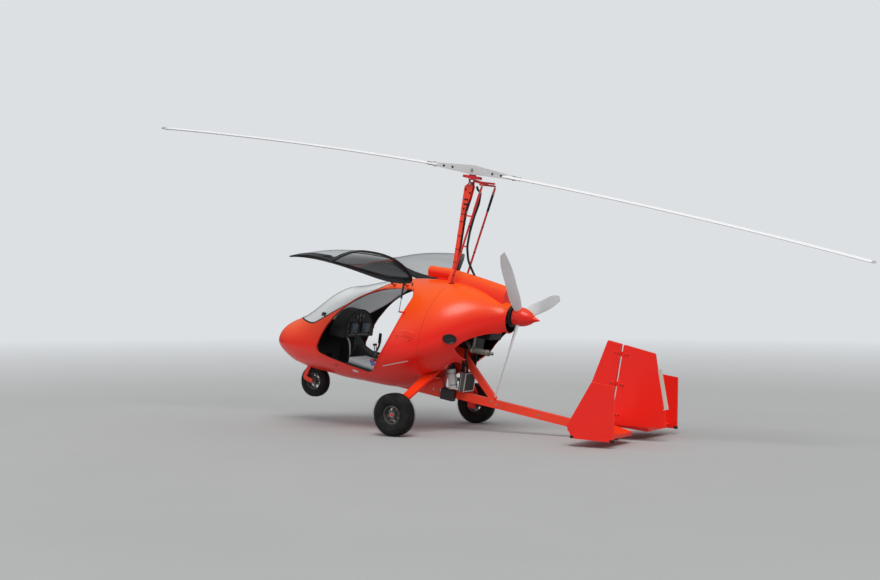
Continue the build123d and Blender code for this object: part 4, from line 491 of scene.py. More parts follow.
@dataclass(frozen=True)
class Pane(Finish):
    """A thin formed pane, tinted, with polishing haze and a painted sky reflection that makes it paler where
    it faces up.
    """

    veil: float = 0.3
    sky: float = 0.0

    def paint(self, bench: Bench) -> None:
        """Builds the pane.

        Args:
            bench: The material's shader.
        """
        haze = bench.grain(4.0, 4.0, 0.6)
        edge = bench.node("ShaderNodeLayerWeight", {}, {"Blend": 0.35}, "Facing")
        tint = bench.mixed(haze, tone(self.colour, 0.92), tone(self.colour, 1.06))
        # Painted reflection: the colour turns towards the pale sky where the pane faces up
        lift = bench.span(bench.upward(), 0.2, 0.7) * self.sky
        bench.set(Base_Color=bench.mixed(lift, tint, rgba(PAINTED_SKY)))
        bench.set(Roughness=self.roughness + bench.span(haze, 0.4, 0.7) * 0.03, IOR=1.49)
        bench.set(Alpha=self.veil + edge * edge * 0.45, Coat_Weight=1.0, Coat_Roughness=0.02)


@dataclass(frozen=True)
class Cloth(Finish):
    """Woven cover cloth, with the weave's two thread directions and a mottled dye."""

    threads: float = 620.0
    second: Point = (0.3, 0.3, 0.32)

    def paint(self, bench: Bench) -> None:
        """Builds the cloth.

        Args:
            bench: The material's shader.
        """
        turned = bench.stretched((1.0, 1.0, 1.0), (0.0, -PARK, 0.0))
        across = bench.waves("X", "SIN", turned, self.threads, 0.6)
        along = bench.waves("Y", "SIN", turned, self.threads, 0.6)
        weave = along * across
        dye = bench.grain(38.0, 5.0, 0.65)
        yarn = bench.mixed(weave, rgba(self.second), rgba(self.colour))
        worn = bench.span(bench.grain(6.0, 4.0), 0.35, 0.7)
        shade = bench.mixed(dye, tone(self.colour, 0.78), tone(self.colour, 1.12))
        bench.set(Base_Color=bench.mixed(0.55 + worn * 0.3, yarn, shade), Roughness=0.9 - worn * 0.1)
        bench.set(Sheen_Weight=0.35, Sheen_Roughness=0.5)
        bench.raised(weave * 0.7 + dye * 0.3, 0.55, 0.0012)


@dataclass(frozen=True)
class Webbing(Finish):
    """Flat woven strap with ribs across it, on the piece's own map."""

    def paint(self, bench: Bench) -> None:
        """Builds the strap.

        Args:
            bench: The material's shader.
        """
        chart = bench.node("ShaderNodeTexCoord", {}, {}, "UV")
        ribs = bench.waves("X", "TRI", chart, 160.0)
        rows = bench.waves("Y", "SIN", chart, 60.0)
        dye = bench.grain(70.0, 4.0)
        share = ribs * 0.5 + dye * 0.4
        bench.set(Base_Color=bench.mixed(share, tone(self.colour, 0.7), tone(self.colour, 1.2)))
        bench.set(Roughness=0.75 - rows * 0.1, Sheen_Weight=0.3)
        bench.raised(ribs * 0.6 + rows * 0.4, 0.6, 0.0008)


@dataclass(frozen=True)
class Composite(Finish):
    """Satin composite, with faint sanding lines and fine pits."""

    coat: float = 0.3

    def paint(self, bench: Bench) -> None:
        """Builds the blade finish.

        Args:
            bench: The material's shader.
        """
        sanding = bench.grain(1.0, 3.0, 0.6, bench.stretched((30.0, 500.0, 30.0)))
        pits = bench.span(bench.grain(310.0, 4.0, 0.8), 0.68, 0.74)
        cloud = bench.span(bench.grain(3.0), 0.35, 0.65)
        shade = bench.mixed(cloud, tone(self.colour, 0.94), tone(self.colour, 1.03))
        bench.set(Base_Color=bench.mixed(pits * 0.5, shade, tone(self.colour, 0.35)))
        bench.set(Roughness=self.roughness + sanding * 0.08 + pits * 0.2, Coat_Weight=self.coat)
        bench.raised(sanding, 0.08, 0.0003)


RED = (0.88, 0.014, 0.006)
BODY_PAINT = GlossPaint("body_paint", "body_gloss", RED, 0.30)
TAIL_PAINT = GlossPaint(
    "tail_paint", "tail_skin", (0.90, 0.014, 0.007), 0.38,
    coat=0.2, dust=0.05, top_light_share=0.4,
)
LEG_PAINT = GlossPaint("leg_paint", "leg_red", RED, 0.36, coat=0.25, dust=0.12, top_light_share=0.3)
SPINNER_PAINT = GlossPaint(
    "spinner_paint", "spinner_gloss", (0.80, 0.012, 0.007), 0.30,
    coat=0.3, dust=0.06, top_light_share=0.4,
)
FRAME_COAT = PowderCoat("frame_coat", "frame_red", (0.93, 0.040, 0.007), 0.42)
# A darker copy of the frame's red, for the rotor head, tee bar, gear pan and control rods: painted shade
SHADED_FRAME_COAT = PowderCoat("head_coat", "head_red", (0.64, 0.010, 0.011), 0.40)
BAND_BLACK = GlossPaint(
    "band_black", "door_band", (0.012, 0.012, 0.014), 0.26,
    coat=0.5, dust=0.03, top_light_share=0.0,
)
# The screen's near-white colour behind a strong alpha is a painted reflection of the sky
SCREEN_PANE = Pane("screen_pane", "clear_pane", (0.93, 0.95, 0.96), 0.03, veil=0.60)
# The door pane carries the painted sky reflection where it faces up
DOOR_PANE = Pane("door_pane", "clear_pane", (0.040, 0.046, 0.050), 0.03, veil=0.68, sky=0.8)
BLADE_ALLOY = Alloy(
    "blade_alloy", "blade_skin", (0.92, 0.92, 0.93), 0.40,
    lines=(3.0, 220.0, 220.0), metallic=0.05, contrast=0.02,
)
HUB_ALLOY = Alloy(
    "hub_alloy", "bare_alloy", (0.74, 0.745, 0.75), 0.40,
    lines=(5.0, 260.0, 260.0), metallic=0.35,
)
RIM_ALLOY = Alloy(
    "rim_alloy_cast", "rim_alloy", (0.17, 0.165, 0.16), 0.42,
    lines=(90.0, 20.0, 90.0), metallic=0.6, contrast=0.12,
)
TANK_ALLOY = Alloy(
    "tank_alloy_spun", "tank_alloy", (0.80, 0.81, 0.82), 0.30,
    lines=(30.0, 30.0, 500.0), metallic=0.55,
)
PIPE_STEEL = Alloy(
    "pipe_steel", "exhaust_steel", (0.27, 0.25, 0.225), 0.33,
    lines=(220.0, 30.0, 220.0), metallic=0.95, contrast=0.16,
)
BOLT_STEEL = Alloy(
    "bolt_steel", "steel", (0.52, 0.53, 0.55), 0.30,
    lines=(300.0, 300.0, 60.0), metallic=0.95, contrast=0.08,
)
BOLT_BLACK = Alloy(
    "bolt_black", "strut_black", (0.03, 0.03, 0.033), 0.40,
    lines=(300.0, 300.0, 60.0), metallic=0.6, contrast=0.08,
)
STRUT_COAT = PowderCoat("strut_coat", "strut_black", (0.020, 0.020, 0.022), 0.34)
ENGINE_CAST = Casting("engine_cast", "engine_grey", (0.020, 0.020, 0.022), 0.5, metallic=0.3)
FIN_CAST = Casting("fin_cast", "engine_grey", (0.035, 0.035, 0.037), 0.45, metallic=0.4)
CORE_BLACK = Alloy(
    "core_black", "radiator_black", (0.11, 0.112, 0.11), 0.45,
    lines=(400.0, 400.0, 40.0), metallic=0.25, contrast=0.15,
)
GRAINED_BLACK = Moulding("grained_black", "plastic_black", (0.020, 0.020, 0.022), 0.50)
SMOOTH_BLACK = Moulding("smooth_black", "plastic_black", (0.012, 0.012, 0.013), 0.30, pore=400.0)
HOSE_RUBBER = Rubber("hose_rubber", "sheath_rubber", (0.014, 0.014, 0.015), 0.62, dust=0.12)
TYRE_RUBBER = Rubber("tyre_rubber", "tyre", (0.007, 0.007, 0.007), 0.75, dust=0.12)
SOLID_RUBBER = Rubber("solid_rubber", "rubber", (0.030, 0.030, 0.031), 0.7)
SEAL_RED = Rubber("seal_red", "body_gloss", (0.42, 0.018, 0.010), 0.45, dust=0.1)
SEAL_BLACK = Rubber("seal_black", "plastic_black", (0.010, 0.010, 0.011), 0.42, dust=0.08)
PROP_GREY = Composite("prop_skin", "prop_grey", (0.70, 0.71, 0.72), 0.34)
SEAT_CLOTH = Cloth("seat_cloth_grey", "seat_cloth", (0.44, 0.45, 0.47), 0.85)
PIPING = Cloth("piping_cloth", "seat_cloth", (0.20, 0.205, 0.22), 0.85, threads=900.0)
STRAP_BLUE = Webbing("strap_blue", "seat_cloth", (0.020, 0.055, 0.42))
STRAP_RED = Webbing("strap_red", "seat_cloth", (0.62, 0.020, 0.015))
BUCKLE_RED = Moulding("buckle_red", "plastic_black", (0.60, 0.018, 0.012), 0.34, pore=500.0)
LINING_BLACK = Moulding("lining_black", "plastic_black", (0.016, 0.016, 0.017), 0.75, pore=700.0)
SHIELD_BLACK = Casting("shield_black", "engine_grey", (0.012, 0.012, 0.012), 0.7, metallic=0.2)
TIE_WHITE = Moulding("tie_white", "plastic_black", (0.62, 0.62, 0.60), 0.45, pore=300.0)
DIAL_BLACK = Moulding("dial_black", "plastic_black", (0.006, 0.006, 0.007), 0.25, pore=200.0)
DIAL_WHITE = Moulding("dial_white", "plastic_black", (0.72, 0.72, 0.70), 0.5, pore=200.0)
DIAL_AMBER = Moulding("dial_amber", "plastic_black", (0.72, 0.30, 0.02), 0.4, pore=200.0)
SCREEN_BLUE = Moulding("display_blue", "plastic_black", (0.030, 0.070, 0.11), 0.12, pore=200.0)
HOSE_BLUE = Rubber("hose_blue", "plastic_black", (0.03, 0.06, 0.24), 0.45, dust=0.1)
LAMP_PALE = GlossPaint("lamp_pale", "clear_pane", (0.74, 0.75, 0.74), 0.16, coat=0.8, dust=0.02, top_light_share=0.0)
BARE_BAR = Composite("pale_bar", "tail_skin", (0.56, 0.50, 0.42), 0.55, coat=0.0)
SILL_ALLOY = Alloy(
    "sill_alloy", "bare_alloy", (0.72, 0.71, 0.69), 0.34,
    lines=(4.0, 200.0, 200.0), metallic=0.7, contrast=0.05,
)

PAIR_FINISH: dict[str, Finish] = {
    "door_frame": BAND_BLACK,
    "door_glass": DOOR_PANE,
    "rod_swivel": BOLT_STEEL,
    "control_rod": SHADED_FRAME_COAT,
    "rim": RIM_ALLOY,
    "strut_tube": STRUT_COAT,
    "strut_rod": BOLT_STEEL,
    "tyre": TYRE_RUBBER,
    "seat_cushion": SEAT_CLOTH,
    "back_cushion": SEAT_CLOTH,
}
NODE_FINISH: dict[str, Finish] = {
    **{f"{side}_{name}": finish for side, _ in SIDES for name, finish in PAIR_FINISH.items()},
    "cabin_shell": BODY_PAINT,
    "engine_cowl": BODY_PAINT,
    "dorsal_spine": BODY_PAINT,
    "windscreen": SCREEN_PANE,
    "mast": FRAME_COAT,
    "keel_frame": FRAME_COAT,
    "gear_legs": LEG_PAINT,
    "rotor_blades": BLADE_ALLOY,
    "hub_bar": HUB_ALLOY,
    "rotor_tower": SHADED_FRAME_COAT,
    "gimbal_block": STRUT_COAT,
    "tee_bar": SHADED_FRAME_COAT,
    "propeller": PROP_GREY,
    "spinner": SPINNER_PAINT,
    "engine": ENGINE_CAST,
    "exhaust": PIPE_STEEL,
    "radiator": CORE_BLACK,
    "oil_tank": TANK_ALLOY,
    "battery_box": GRAINED_BLACK,
    "coolant_post": HOSE_RUBBER,
    "drive_sheath": HOSE_RUBBER,
    "tail_wheel": SOLID_RUBBER,
    "nose_rim": RIM_ALLOY,
    "nose_fork": FRAME_COAT,
    "centre_fin": TAIL_PAINT,
    "rudder": TAIL_PAINT,
    "stabiliser": TAIL_PAINT,
    "end_fins": TAIL_PAINT,
    "seat_shells": GRAINED_BLACK,
    "instrument_pod": GRAINED_BLACK,
    "cockpit_controls": SMOOTH_BLACK,
    "nose_tyre": TYRE_RUBBER,
}


# Meshes


def linked(name: str, data: bpy.types.ID | None) -> bpy.types.Object:
    """A new object of the scene with that data.

    Args:
        name: The object's name.
        data: Its mesh, curve, camera or lamp.

    Returns:
        The object.
    """
    item = bpy.data.objects.new(name, data)
    bpy.context.scene.collection.objects.link(item)
    return item


def evaluated(carrier: bpy.types.Object) -> bpy.types.Mesh:
    """The mesh that an object's modifiers make; the object goes.

    Args:
        carrier: The object.

    Returns:
        The mesh.
    """
    depsgraph = bpy.context.evaluated_depsgraph_get()
    mesh = bpy.data.meshes.new_from_object(carrier.evaluated_get(depsgraph))
    bpy.data.objects.remove(carrier)
    return mesh


def aimed(way: Vector) -> Matrix:
    """The turn that points Z along a direction."""
    return way.to_track_quat("Z", "Y").to_matrix().to_4x4()


def seat_piece(
    name: str,
    mesh: bpy.types.Mesh,
    finish: Finish,
    body: Body = Body.AIRFRAME,
    turn: Matrix | None = None,
    sharp: float = 35.0,
) -> bpy.types.Object:
    """Gives a level mesh its finish, its place in the parked frame and its body.

    Args:
        name: The piece's name.
        mesh: The mesh, in the level drawing.
        finish: Its finish.
        body: The body that it rides on.
        turn: A further turn in the level drawing, such as a door's swing.
        sharp: Edges that bend by more than these degrees stay sharp.

    Returns:
        The object.
    """
    mesh.name = name
    mesh.transform(PARKED @ turn if turn else PARKED)
    mesh.materials.clear()
    mesh.materials.append(finish.material())
    mesh.shade_smooth()
    mesh.set_sharp_from_angle(angle=math.radians(sharp))
    piece = linked(name, mesh)
    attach(piece, body.value)
    return piece


def closed_mesh(points: Sequence[Vector], faces: Sequence[Sequence[int]]) -> bpy.types.Mesh:
    """A mesh with merged doubles and faces that point outwards.

    Args:
        points: The points, in metres.
        faces: Each face's point numbers.

    Returns:
        The mesh.
    """
    mesh = bpy.data.meshes.new("part")
    mesh.from_pydata([tuple(p) for p in points], [], [tuple(f) for f in faces])
    work = bmesh.new()
    work.from_mesh(mesh)
    bmesh.ops.remove_doubles(work, verts=work.verts, dist=1e-6)
    bmesh.ops.recalc_face_normals(work, faces=work.faces)
    work.to_mesh(mesh)
    work.free()
    return mesh


def turned_form(profile: Sequence[Flat], centre: Vector, axis: Vector, sides: int = 64) -> bpy.types.Mesh:
    """A closed form of revolution.

    Args:
        profile: Pairs of distance along the axis and radius, in millimetres, as a closed loop.
        centre: The point on the axis that the distances start from, in metres.
        axis: The axis.
        sides: How many steps the turn has.

    Returns:
        The mesh.
    """
    spin = axis.normalized().to_track_quat("Z", "Y").to_matrix()
    points = []
    for step in range(sides):
        angle = math.tau * step / sides
        for along, radius in profile:
            local = Vector((radius * math.cos(angle), radius * math.sin(angle), along)) / 1000
            points.append(centre + spin @ local)
    count = len(profile)
    faces = []
    for step in range(sides):
        after = (step + 1) % sides
        for i in range(count):
            j = (i + 1) % count
            faces.append((step * count + i, after * count + i, after * count + j, step * count + j))
    return closed_mesh(points, faces)


def rounded_block(centre: Vector, size: Point, round_by: float, turn: Matrix | None = None) -> bpy.types.Mesh:
    """A block in metres with rounded edges, turned about its centre.

    Args:
        centre: The block's centre.
        size: Its three sides.
        round_by: How far its edges are cut back.
        turn: Its turn about the centre.

    Returns:
        The mesh.
    """
    work = bmesh.new()
    bmesh.ops.create_cube(work, size=1.0)
    bmesh.ops.scale(work, vec=size, verts=work.verts)
    bmesh.ops.bevel(work, geom=work.edges[:], offset=round_by, segments=3, profile=0.5, affect="EDGES")
    mesh = bpy.data.meshes.new("block")
    work.to_mesh(mesh)
    work.free()
    mesh.transform(Matrix.Translation(centre) @ (turn or Matrix.Identity(4)))
    return mesh


def joined(meshes: Sequence[bpy.types.Mesh]) -> bpy.types.Mesh:
    """Several meshes as one.

    Args:
        meshes: The meshes.

    Returns:
        One mesh with the geometry of all.
    """
    work = bmesh.new()
    for mesh in meshes:
        work.from_mesh(mesh)
    whole = bpy.data.meshes.new("joined")
    work.to_mesh(whole)
    work.free()
    return whole


def smooth_path(points: Sequence[Vector], step: float = 0.012) -> list[Vector]:
    """Points along a smooth curve that is drawn to a few given ones, by a NURBS spline.

    Args:
        points: The spline's control points.
        step: The rough distance between the points returned.

    Returns:
        The curve's points.
    """
    curve = bpy.data.curves.new("route", "CURVE")
    curve.dimensions = "3D"
    length = sum((b - a).length for a, b in zip(points, points[1:]))
    curve.resolution_u = max(2, int(length / step / max(1, len(points) - 1)) + 1)
    spline = curve.splines.new("NURBS")
    spline.points.add(len(points) - 1)
    for spot, point in zip(spline.points, points):
        spot.co = (*point, 1.0)
    spline.order_u = 3
    spline.use_endpoint_u = True
    mesh = evaluated(linked("route", curve))
    found = [v.co.copy() for v in mesh.vertices]
    bpy.data.meshes.remove(mesh)
    return found


def loft_faces(rings: int, sides: int, closed: bool = False) -> list[Sequence[int]]:
    """The faces between rings of points, with end caps unless the rings close on themselves.

    Args:
        rings: How many rings there are.
        sides: How many points each has.
        closed: Whether the last ring joins the first.

    Returns:
        Each face's point numbers.
    """
    faces: list[Sequence[int]] = []
    for i in range(rings if closed else rings - 1):
        j = (i + 1) % rings
        for k in range(sides):
            m = (k + 1) % sides
            faces.append((i * sides + k, i * sides + m, j * sides + m, j * sides + k))
    if not closed:
        faces.append(tuple(range(sides)))
        faces.append(tuple(range((rings - 1) * sides, rings * sides)))
    return faces


def band_profile(start: float, width: float, inner: float, outer: float) -> list[Flat]:
    """The profile of a plain band round an axis, as distances along it and radii in millimetres."""
    return [(start, inner), (start, outer), (start + width, outer), (start + width, inner)]


def round_section(across: float, out: float, sides: int) -> list[Flat]:
    """An oval section for a trim, in millimetres."""
    turns = [math.tau * k / sides for k in range(sides)]
    return [(across * math.cos(angle), out * math.sin(angle)) for angle in turns]


def hose_form(path: Sequence[Vector], radius: float, sides: int = 12) -> bpy.types.Mesh:
    """A round hose with closed ends along a path, in metres.

    Args:
        path: The path's points.
        radius: The hose's radius.
        sides: How many sides its section has.

    Returns:
        The mesh.
    """
    points: list[Vector] = []
    lift = Z_AXIS
    for i, spot in enumerate(path):
        ahead = (path[min(i + 1, len(path) - 1)] - path[max(i - 1, 0)]).normalized()
        across = ahead.cross(lift)
        if across.length < 0.05:
            across = ahead.cross(Y_AXIS)
        across.normalize()
        lift = across.cross(ahead).normalized()
        for k in range(sides):
            angle = math.tau * k / sides
            points.append(spot + radius * (across * math.cos(angle) + lift * math.sin(angle)))
    return closed_mesh(points, loft_faces(len(path), sides))


def trim_form(
    path: Sequence[Vector], normals: Sequence[Vector], section: Sequence[Flat], closed: bool = False
) -> bpy.types.Mesh:
    """A trim strip along a path on a surface.

    Args:
        path: The path's points, in metres.
        normals: The surface's outward normal at each.
        section: The strip's closed section, as pairs of distance across and out, in millimetres.
        closed: Whether the path is a loop.

    Returns:
        The mesh, with a map of metres along and across it.
    """
    count = len(path)
    rings = []
    lengths = [0.0]
    for i, spot in enumerate(path):
        before = path[i - 1] if closed or i else spot
        after = path[(i + 1) % count] if closed or i < count - 1 else spot
        ahead = (after - before).normalized()
        across = ahead.cross(normals[i]).normalized()
        out = across.cross(ahead).normalized()
        if out.dot(normals[i]) < 0:
            out.negate()
        rings.append([spot + across * (a / 1000) + out * (o / 1000) for a, o in section])
        if i:
            lengths.append(lengths[-1] + (spot - path[i - 1]).length)
    sides = len(section)
    points = [p for ring in rings for p in ring]
    mesh = bpy.data.meshes.new("trim")
    mesh.from_pydata([tuple(p) for p in points], [], loft_faces(count, sides, closed))
    chart = mesh.uv_layers.new(name="map")
    for face in mesh.polygons:
        for loop in face.loop_indices:
            ring, place = divmod(mesh.loops[loop].vertex_index, sides)
            chart.data[loop].uv = (lengths[ring], section[place][0] / 1000)
    work = bmesh.new()
    work.from_mesh(mesh)
    bmesh.ops.recalc_face_normals(work, faces=work.faces)
    work.to_mesh(mesh)
    work.free()
    return mesh


def bar_section(width: float, height: float, sunk: float = 1.0) -> list[Flat]:
    """The section of a low trim bar with rounded shoulders, in millimetres.

    Args:
        width: The bar's width.
        height: How far it stands out.
        sunk: How far it goes into the surface.

    Returns:
        The section's points, across and out.
    """
    half = width / 2
    soft = min(height, width) * 0.35
    return [
        (-half, -sunk),
        (-half, height - soft),
        (-half + soft, height),
        (half - soft, height),
        (half, height - soft),
        (half, -sunk),
    ]


def strip_area(width: float, thick: float, lift: float = 0.0) -> list[Flat]:
    """The section of a flat strap, in millimetres."""
    half = width / 2
    return [(-half, lift), (-half, lift + thick), (half, lift + thick), (half, lift)]


# Flat outlines of the side view, in millimetres


def arc_points(start: Flat, middle: Flat, end: Flat, count: int = 40) -> list[Flat]:
    """Points on the arc through three points.

    Args:
        start: The first point.
        middle: A point in between.
        end: The last point.
        count: How many steps the arc has.

    Returns:
        The arc's points, with both ends.
    """
    (ax, ay), (bx, by), (cx, cy) = start, middle, end
    d = 2 * (ax * (by - cy) + bx * (cy - ay) + cx * (ay - by))
    ux = ((ax**2 + ay**2) * (by - cy) + (bx**2 + by**2) * (cy - ay) + (cx**2 + cy**2) * (ay - by)) / d
    uy = ((ax**2 + ay**2) * (cx - bx) + (bx**2 + by**2) * (ax - cx) + (cx**2 + cy**2) * (bx - ax)) / d
    radius = math.hypot(ax - ux, ay - uy)
    first, mid, last = (math.atan2(y - uy, x - ux) for x, y in (start, middle, end))
    sweep = (last - first) % math.tau
    if (mid - first) % math.tau > sweep:
        sweep -= math.tau
    steps = (first + sweep * i / count for i in range(count + 1))
    return [(ux + radius * math.cos(a), uy + radius * math.sin(a)) for a in steps]


def rounded_corner(
    before: Sequence[Flat], after: Sequence[Flat], cut: float
) -> tuple[list[Flat], list[Flat]]:
    """Cuts two runs back from the corner they share and bridges them with a curve.

    Args:
        before: The run that ends at the corner.
        after: The run that starts there.
        cut: How far each is cut back.

    Returns:
        The first run with the bridge on its end, and the second run cut back.
    """
    corner = before[-1]
    kept = [p for p in before if math.dist(p, corner) > cut]
    rest = [p for p in after if math.dist(p, corner) > cut]
    start, end = kept[-1], rest[0]
    bridge = []
    for i in range(1, 9):
        t = i / 9
        pulls = ((1 - t) ** 2, 2 * t * (1 - t), t * t)
        bridge.append(tuple(pulls[0] * start[k] + pulls[1] * corner[k] + pulls[2] * end[k] for k in (0, 1)))
    return kept + bridge, rest


def line_points(start: Flat, end: Flat, count: int = 30) -> list[Flat]:
    """Points on a straight run."""
    return [tuple(start[k] + (end[k] - start[k]) * i / count for k in (0, 1)) for i in range(count + 1)]


def spread_loop(loop: Sequence[Flat], spread: float) -> list[Flat]:
    """A closed clockwise or anticlockwise loop moved outwards by a spread.

    Args:
        loop: The loop's points.
        spread: How far they move, inwards if negative.

    Returns:
        The moved points.
    """
    area = sum(a[0] * b[1] - b[0] * a[1] for a, b in zip(loop, [*loop[1:], loop[0]]))
    way = 1 if area > 0 else -1
    moved = []
    for i, (x, z) in enumerate(loop):
        before, after = loop[i - 1], loop[(i + 1) % len(loop)]
        run = (after[0] - before[0], after[1] - before[1])
        size = math.hypot(*run) or 1.0
        moved.append((x + way * run[1] / size * spread, z - way * run[0] / size * spread))
    return moved


def evened(loop: Sequence[Flat], step: float) -> list[Flat]:
    """A closed loop with its points at even distances.

    Args:
        loop: The loop's points.
        step: The rough distance between the points returned.

    Returns:
        The new points.
    """
    marks = [0.0]
    ring = [*loop, loop[0]]
    for a, b in zip(ring, ring[1:]):
        marks.append(marks[-1] + math.dist(a, b))
    count = max(8, int(marks[-1] / step))
    result = []
    i = 0
    for k in range(count):
        target = marks[-1] * k / count
        while marks[i + 1] < target:
            i += 1
        share = (target - marks[i]) / max(1e-9, marks[i + 1] - marks[i])
        result.append(tuple(ring[i][c] + (ring[i + 1][c] - ring[i][c]) * share for c in (0, 1)))
    return result


# Surfaces


class Skin:
    """The outside of some CAD nodes in the level drawing, for pieces that lie on them."""

    def __init__(self, nodes: Sequence[str], turn: Matrix | None = None) -> None:
        """Collects the nodes' faces.

        Args:
            nodes: The CAD nodes' names.
            turn: A further turn, such as one that closes a door.
        """
        points: list[Vector] = []
        faces: list[tuple[int, ...]] = []
        move = (turn or Matrix.Identity(4)) @ LEVELLED
        for name in nodes:
            mesh = frame["nodes"][name].data
            start = len(points)
            points.extend(move @ v.co for v in mesh.vertices)
            faces.extend(tuple(start + v for v in p.vertices) for p in mesh.polygons)
        self.tree = BVHTree.FromPolygons(points, faces)

    def meet(self, start: Vector, way: Vector) -> tuple[Vector, Vector] | None:
        """Where a ray meets the surface, with the normal that faces it.

        Args:
            start: Where the ray starts, in metres.
            way: Where it goes.

        Returns:
            The spot and the normal, or None.
        """
        spot, normal, _, _ = self.tree.ray_cast(start, way.normalized())
        if spot is None:
            return None
        if normal.dot(way) > 0:
            normal = -normal
        return spot, normal

    def beside(self, x: float, z: float, side: int) -> tuple[Vector, Vector] | None:
        """The surface seen from a side at a point of the side view, in millimetres."""
        return self.meet(mm(x, side * 1400, z), Vector((0, -side, 0)))

    def above(self, x: float, y: float) -> tuple[Vector, Vector] | None:
        """The surface seen from above, in millimetres."""
        return self.meet(mm(x, y, 3500), Vector((0, 0, -1)))

    def hits(self, places: Sequence[Flat], side: int) -> list[tuple[Vector, Vector]]:
        """Where side-view points meet the surface, with its normals."""
        return [hit for x, z in places if (hit := self.beside(x, z, side))]

    def track(self, path: Sequence[Flat], side: int) -> tuple[list[Vector], list[Vector]]:
        """A side-view path laid on the surface, with its normals."""
        found = self.hits(path, side)
        return [h[0] for h in found], [h[1] for h in found]


class Sight:
    """The photograph's camera, which finds level points from picture points."""

    PLACE = Vector((7.773, -13.563, 1.566))
    AHEAD = Vector((-0.5150, 0.8572, 0.0))
    ASIDE = Vector((0.8572, 0.5150, 0.0))
    FOCUS = 1500.0
    MIDDLE = (440.0, 281.0)
    PICTURE = (880, 580)

    @classmethod
    def ray(cls, px: float, py: float) -> tuple[Vector, Vector]:
        """The level-drawing ray through a picture point.

        Args:
            px: The picture point's distance from the left.
            py: Its distance from the top.

        Returns:
            The ray's start and its way.
        """
        across = (px - cls.MIDDLE[0]) / cls.FOCUS
        down = (py - cls.MIDDLE[1]) / cls.FOCUS
        way = cls.AHEAD + cls.ASIDE * across + Vector((0, 0, -down))
        return LEVELLED @ cls.PLACE, LEVELLED.to_3x3() @ way

    @classmethod
    def find(cls, skin: Skin, px: float, py: float) -> tuple[Vector, Vector]:
        """The point of a surface that a picture point shows, with its normal.

        Args:
            skin: The surface.
            px: The picture point's distance from the left.
            py: Its distance from the top.

        Returns:
            The spot and the normal.
        """
        hit = skin.meet(*cls.ray(px, py))
        if hit is None:
            raise ValueError(f"nothing at {px}, {py}")
        return hit


def on_plane(px: float, py: float, y: float) -> Vector:
    """The point under a picture point on the upright plane that lies so many millimetres to starboard."""
    start, way = Sight.ray(px, py)
    return start + way * ((y / 1000 - start.y) / way.y)


# Geometry Nodes


class Grower(Graph):
    """A Geometry Nodes tree whose result becomes a plain mesh."""

    def __init__(self, name: str) -> None:
        """Starts an empty tree with one geometry input and one output.

        Args:
            name: The tree's name.
        """
        super().__init__(bpy.data.node_groups.new(name, "GeometryNodeTree"))
        self.tree.interface.new_socket(name="Geometry", in_out="INPUT", socket_type="NodeSocketGeometry")
        self.tree.interface.new_socket(name="Geometry", in_out="OUTPUT", socket_type="NodeSocketGeometry")
        self.entry = self.tree.nodes.new("NodeGroupInput")
        self.exit = self.tree.nodes.new("NodeGroupOutput")
        self.settings: dict[str, object] = {}

    def size(self, name: str, value: float, whole: bool = False) -> Wire:
        """A named input of the tree, with the value that this piece takes.

        Args:
            name: The input's name.
            value: Its value.
            whole: Whether it is a whole number.

        Returns:
            The input as a wire.
        """
        kind = "NodeSocketInt" if whole else "NodeSocketFloat"
        socket = self.tree.interface.new_socket(name=name, in_out="INPUT", socket_type=kind)
        self.settings[socket.identifier] = int(value) if whole else float(value)
        return Wire(self, self.entry.outputs[name])

    def named(self, name: str) -> Wire:
        """A vector attribute of the input points.

        Args:
            name: The attribute's name.

        Returns:
            The attribute as a wire.
        """
        made = self.tree.nodes.new("GeometryNodeInputNamedAttribute")
        made.data_type = "FLOAT_VECTOR"
        made.inputs["Name"].default_value = name
        return Wire(self, next(o for o in made.outputs if o.enabled and o.name == "Attribute"))

    def bounded(self, low: object, high: object, third: object) -> Wire:
        """Three numbers as a vector."""
        return self.node("ShaderNodeCombineXYZ", {}, {0: low, 1: high, 2: third})

    def merged(self, *parts: Wire) -> Wire:
        """Several geometries as one.

        Args:
            parts: The geometries.

        Returns:
            Their union as a wire.
        """
        made = self.tree.nodes.new("GeometryNodeJoinGeometry")
        for part in reversed(parts):
            self.tree.links.new(part.socket, made.inputs[0])
        return Wire(self, made.outputs[0])

    def grown(self, result: Wire, finish: Finish, points: bpy.types.Mesh | None = None) -> bpy.types.Mesh:
        """Realises the tree's result.

        Args:
            result: The geometry to keep.
            finish: The finish that the tree's last node sets.
            points: The mesh that goes in.

        Returns:
            The plain mesh.
        """
        real = self.node("GeometryNodeRealizeInstances", {}, {0: result})
        dressed = self.node("GeometryNodeSetMaterial", {}, {"Geometry": real, "Material": finish.material()})
        self.tree.links.new(dressed.socket, self.exit.inputs[0])
        carrier = linked("grown", points or bpy.data.meshes.new("empty"))
        modifier = carrier.modifiers.new("grow", "NODES")
        modifier.node_group = self.tree
        for identifier, value in self.settings.items():
            modifier[identifier] = value
        bpy.context.view_layer.update()
        return evaluated(carrier)


class Head(Enum):
    """Kinds of small heads: sides of the body, washer share, dome share."""

    HEX = (6, 1.55, 0.0)
    PAN = (14, 0.0, 0.55)
    RIVET = (10, 0.0, 0.9)
    SOCKET = (16, 1.3, 0.0)
    STUD = (10, 0.0, 0.0)


def points_mesh(spots: Sequence[tuple[Vector, Vector]]) -> bpy.types.Mesh:
    """A mesh of loose points that carry the way each faces.

    Args:
        spots: Each point and the way it faces.

    Returns:
        The mesh, with the ways as its facing attribute.
    """
    mesh = bpy.data.meshes.new("spots")
    mesh.from_pydata([tuple(p) for p, _ in spots], [], [])
    facing = mesh.attributes.new("facing", "FLOAT_VECTOR", "POINT")
    for value, (_, normal) in zip(facing.data, spots):
        value.vector = normal
    return mesh


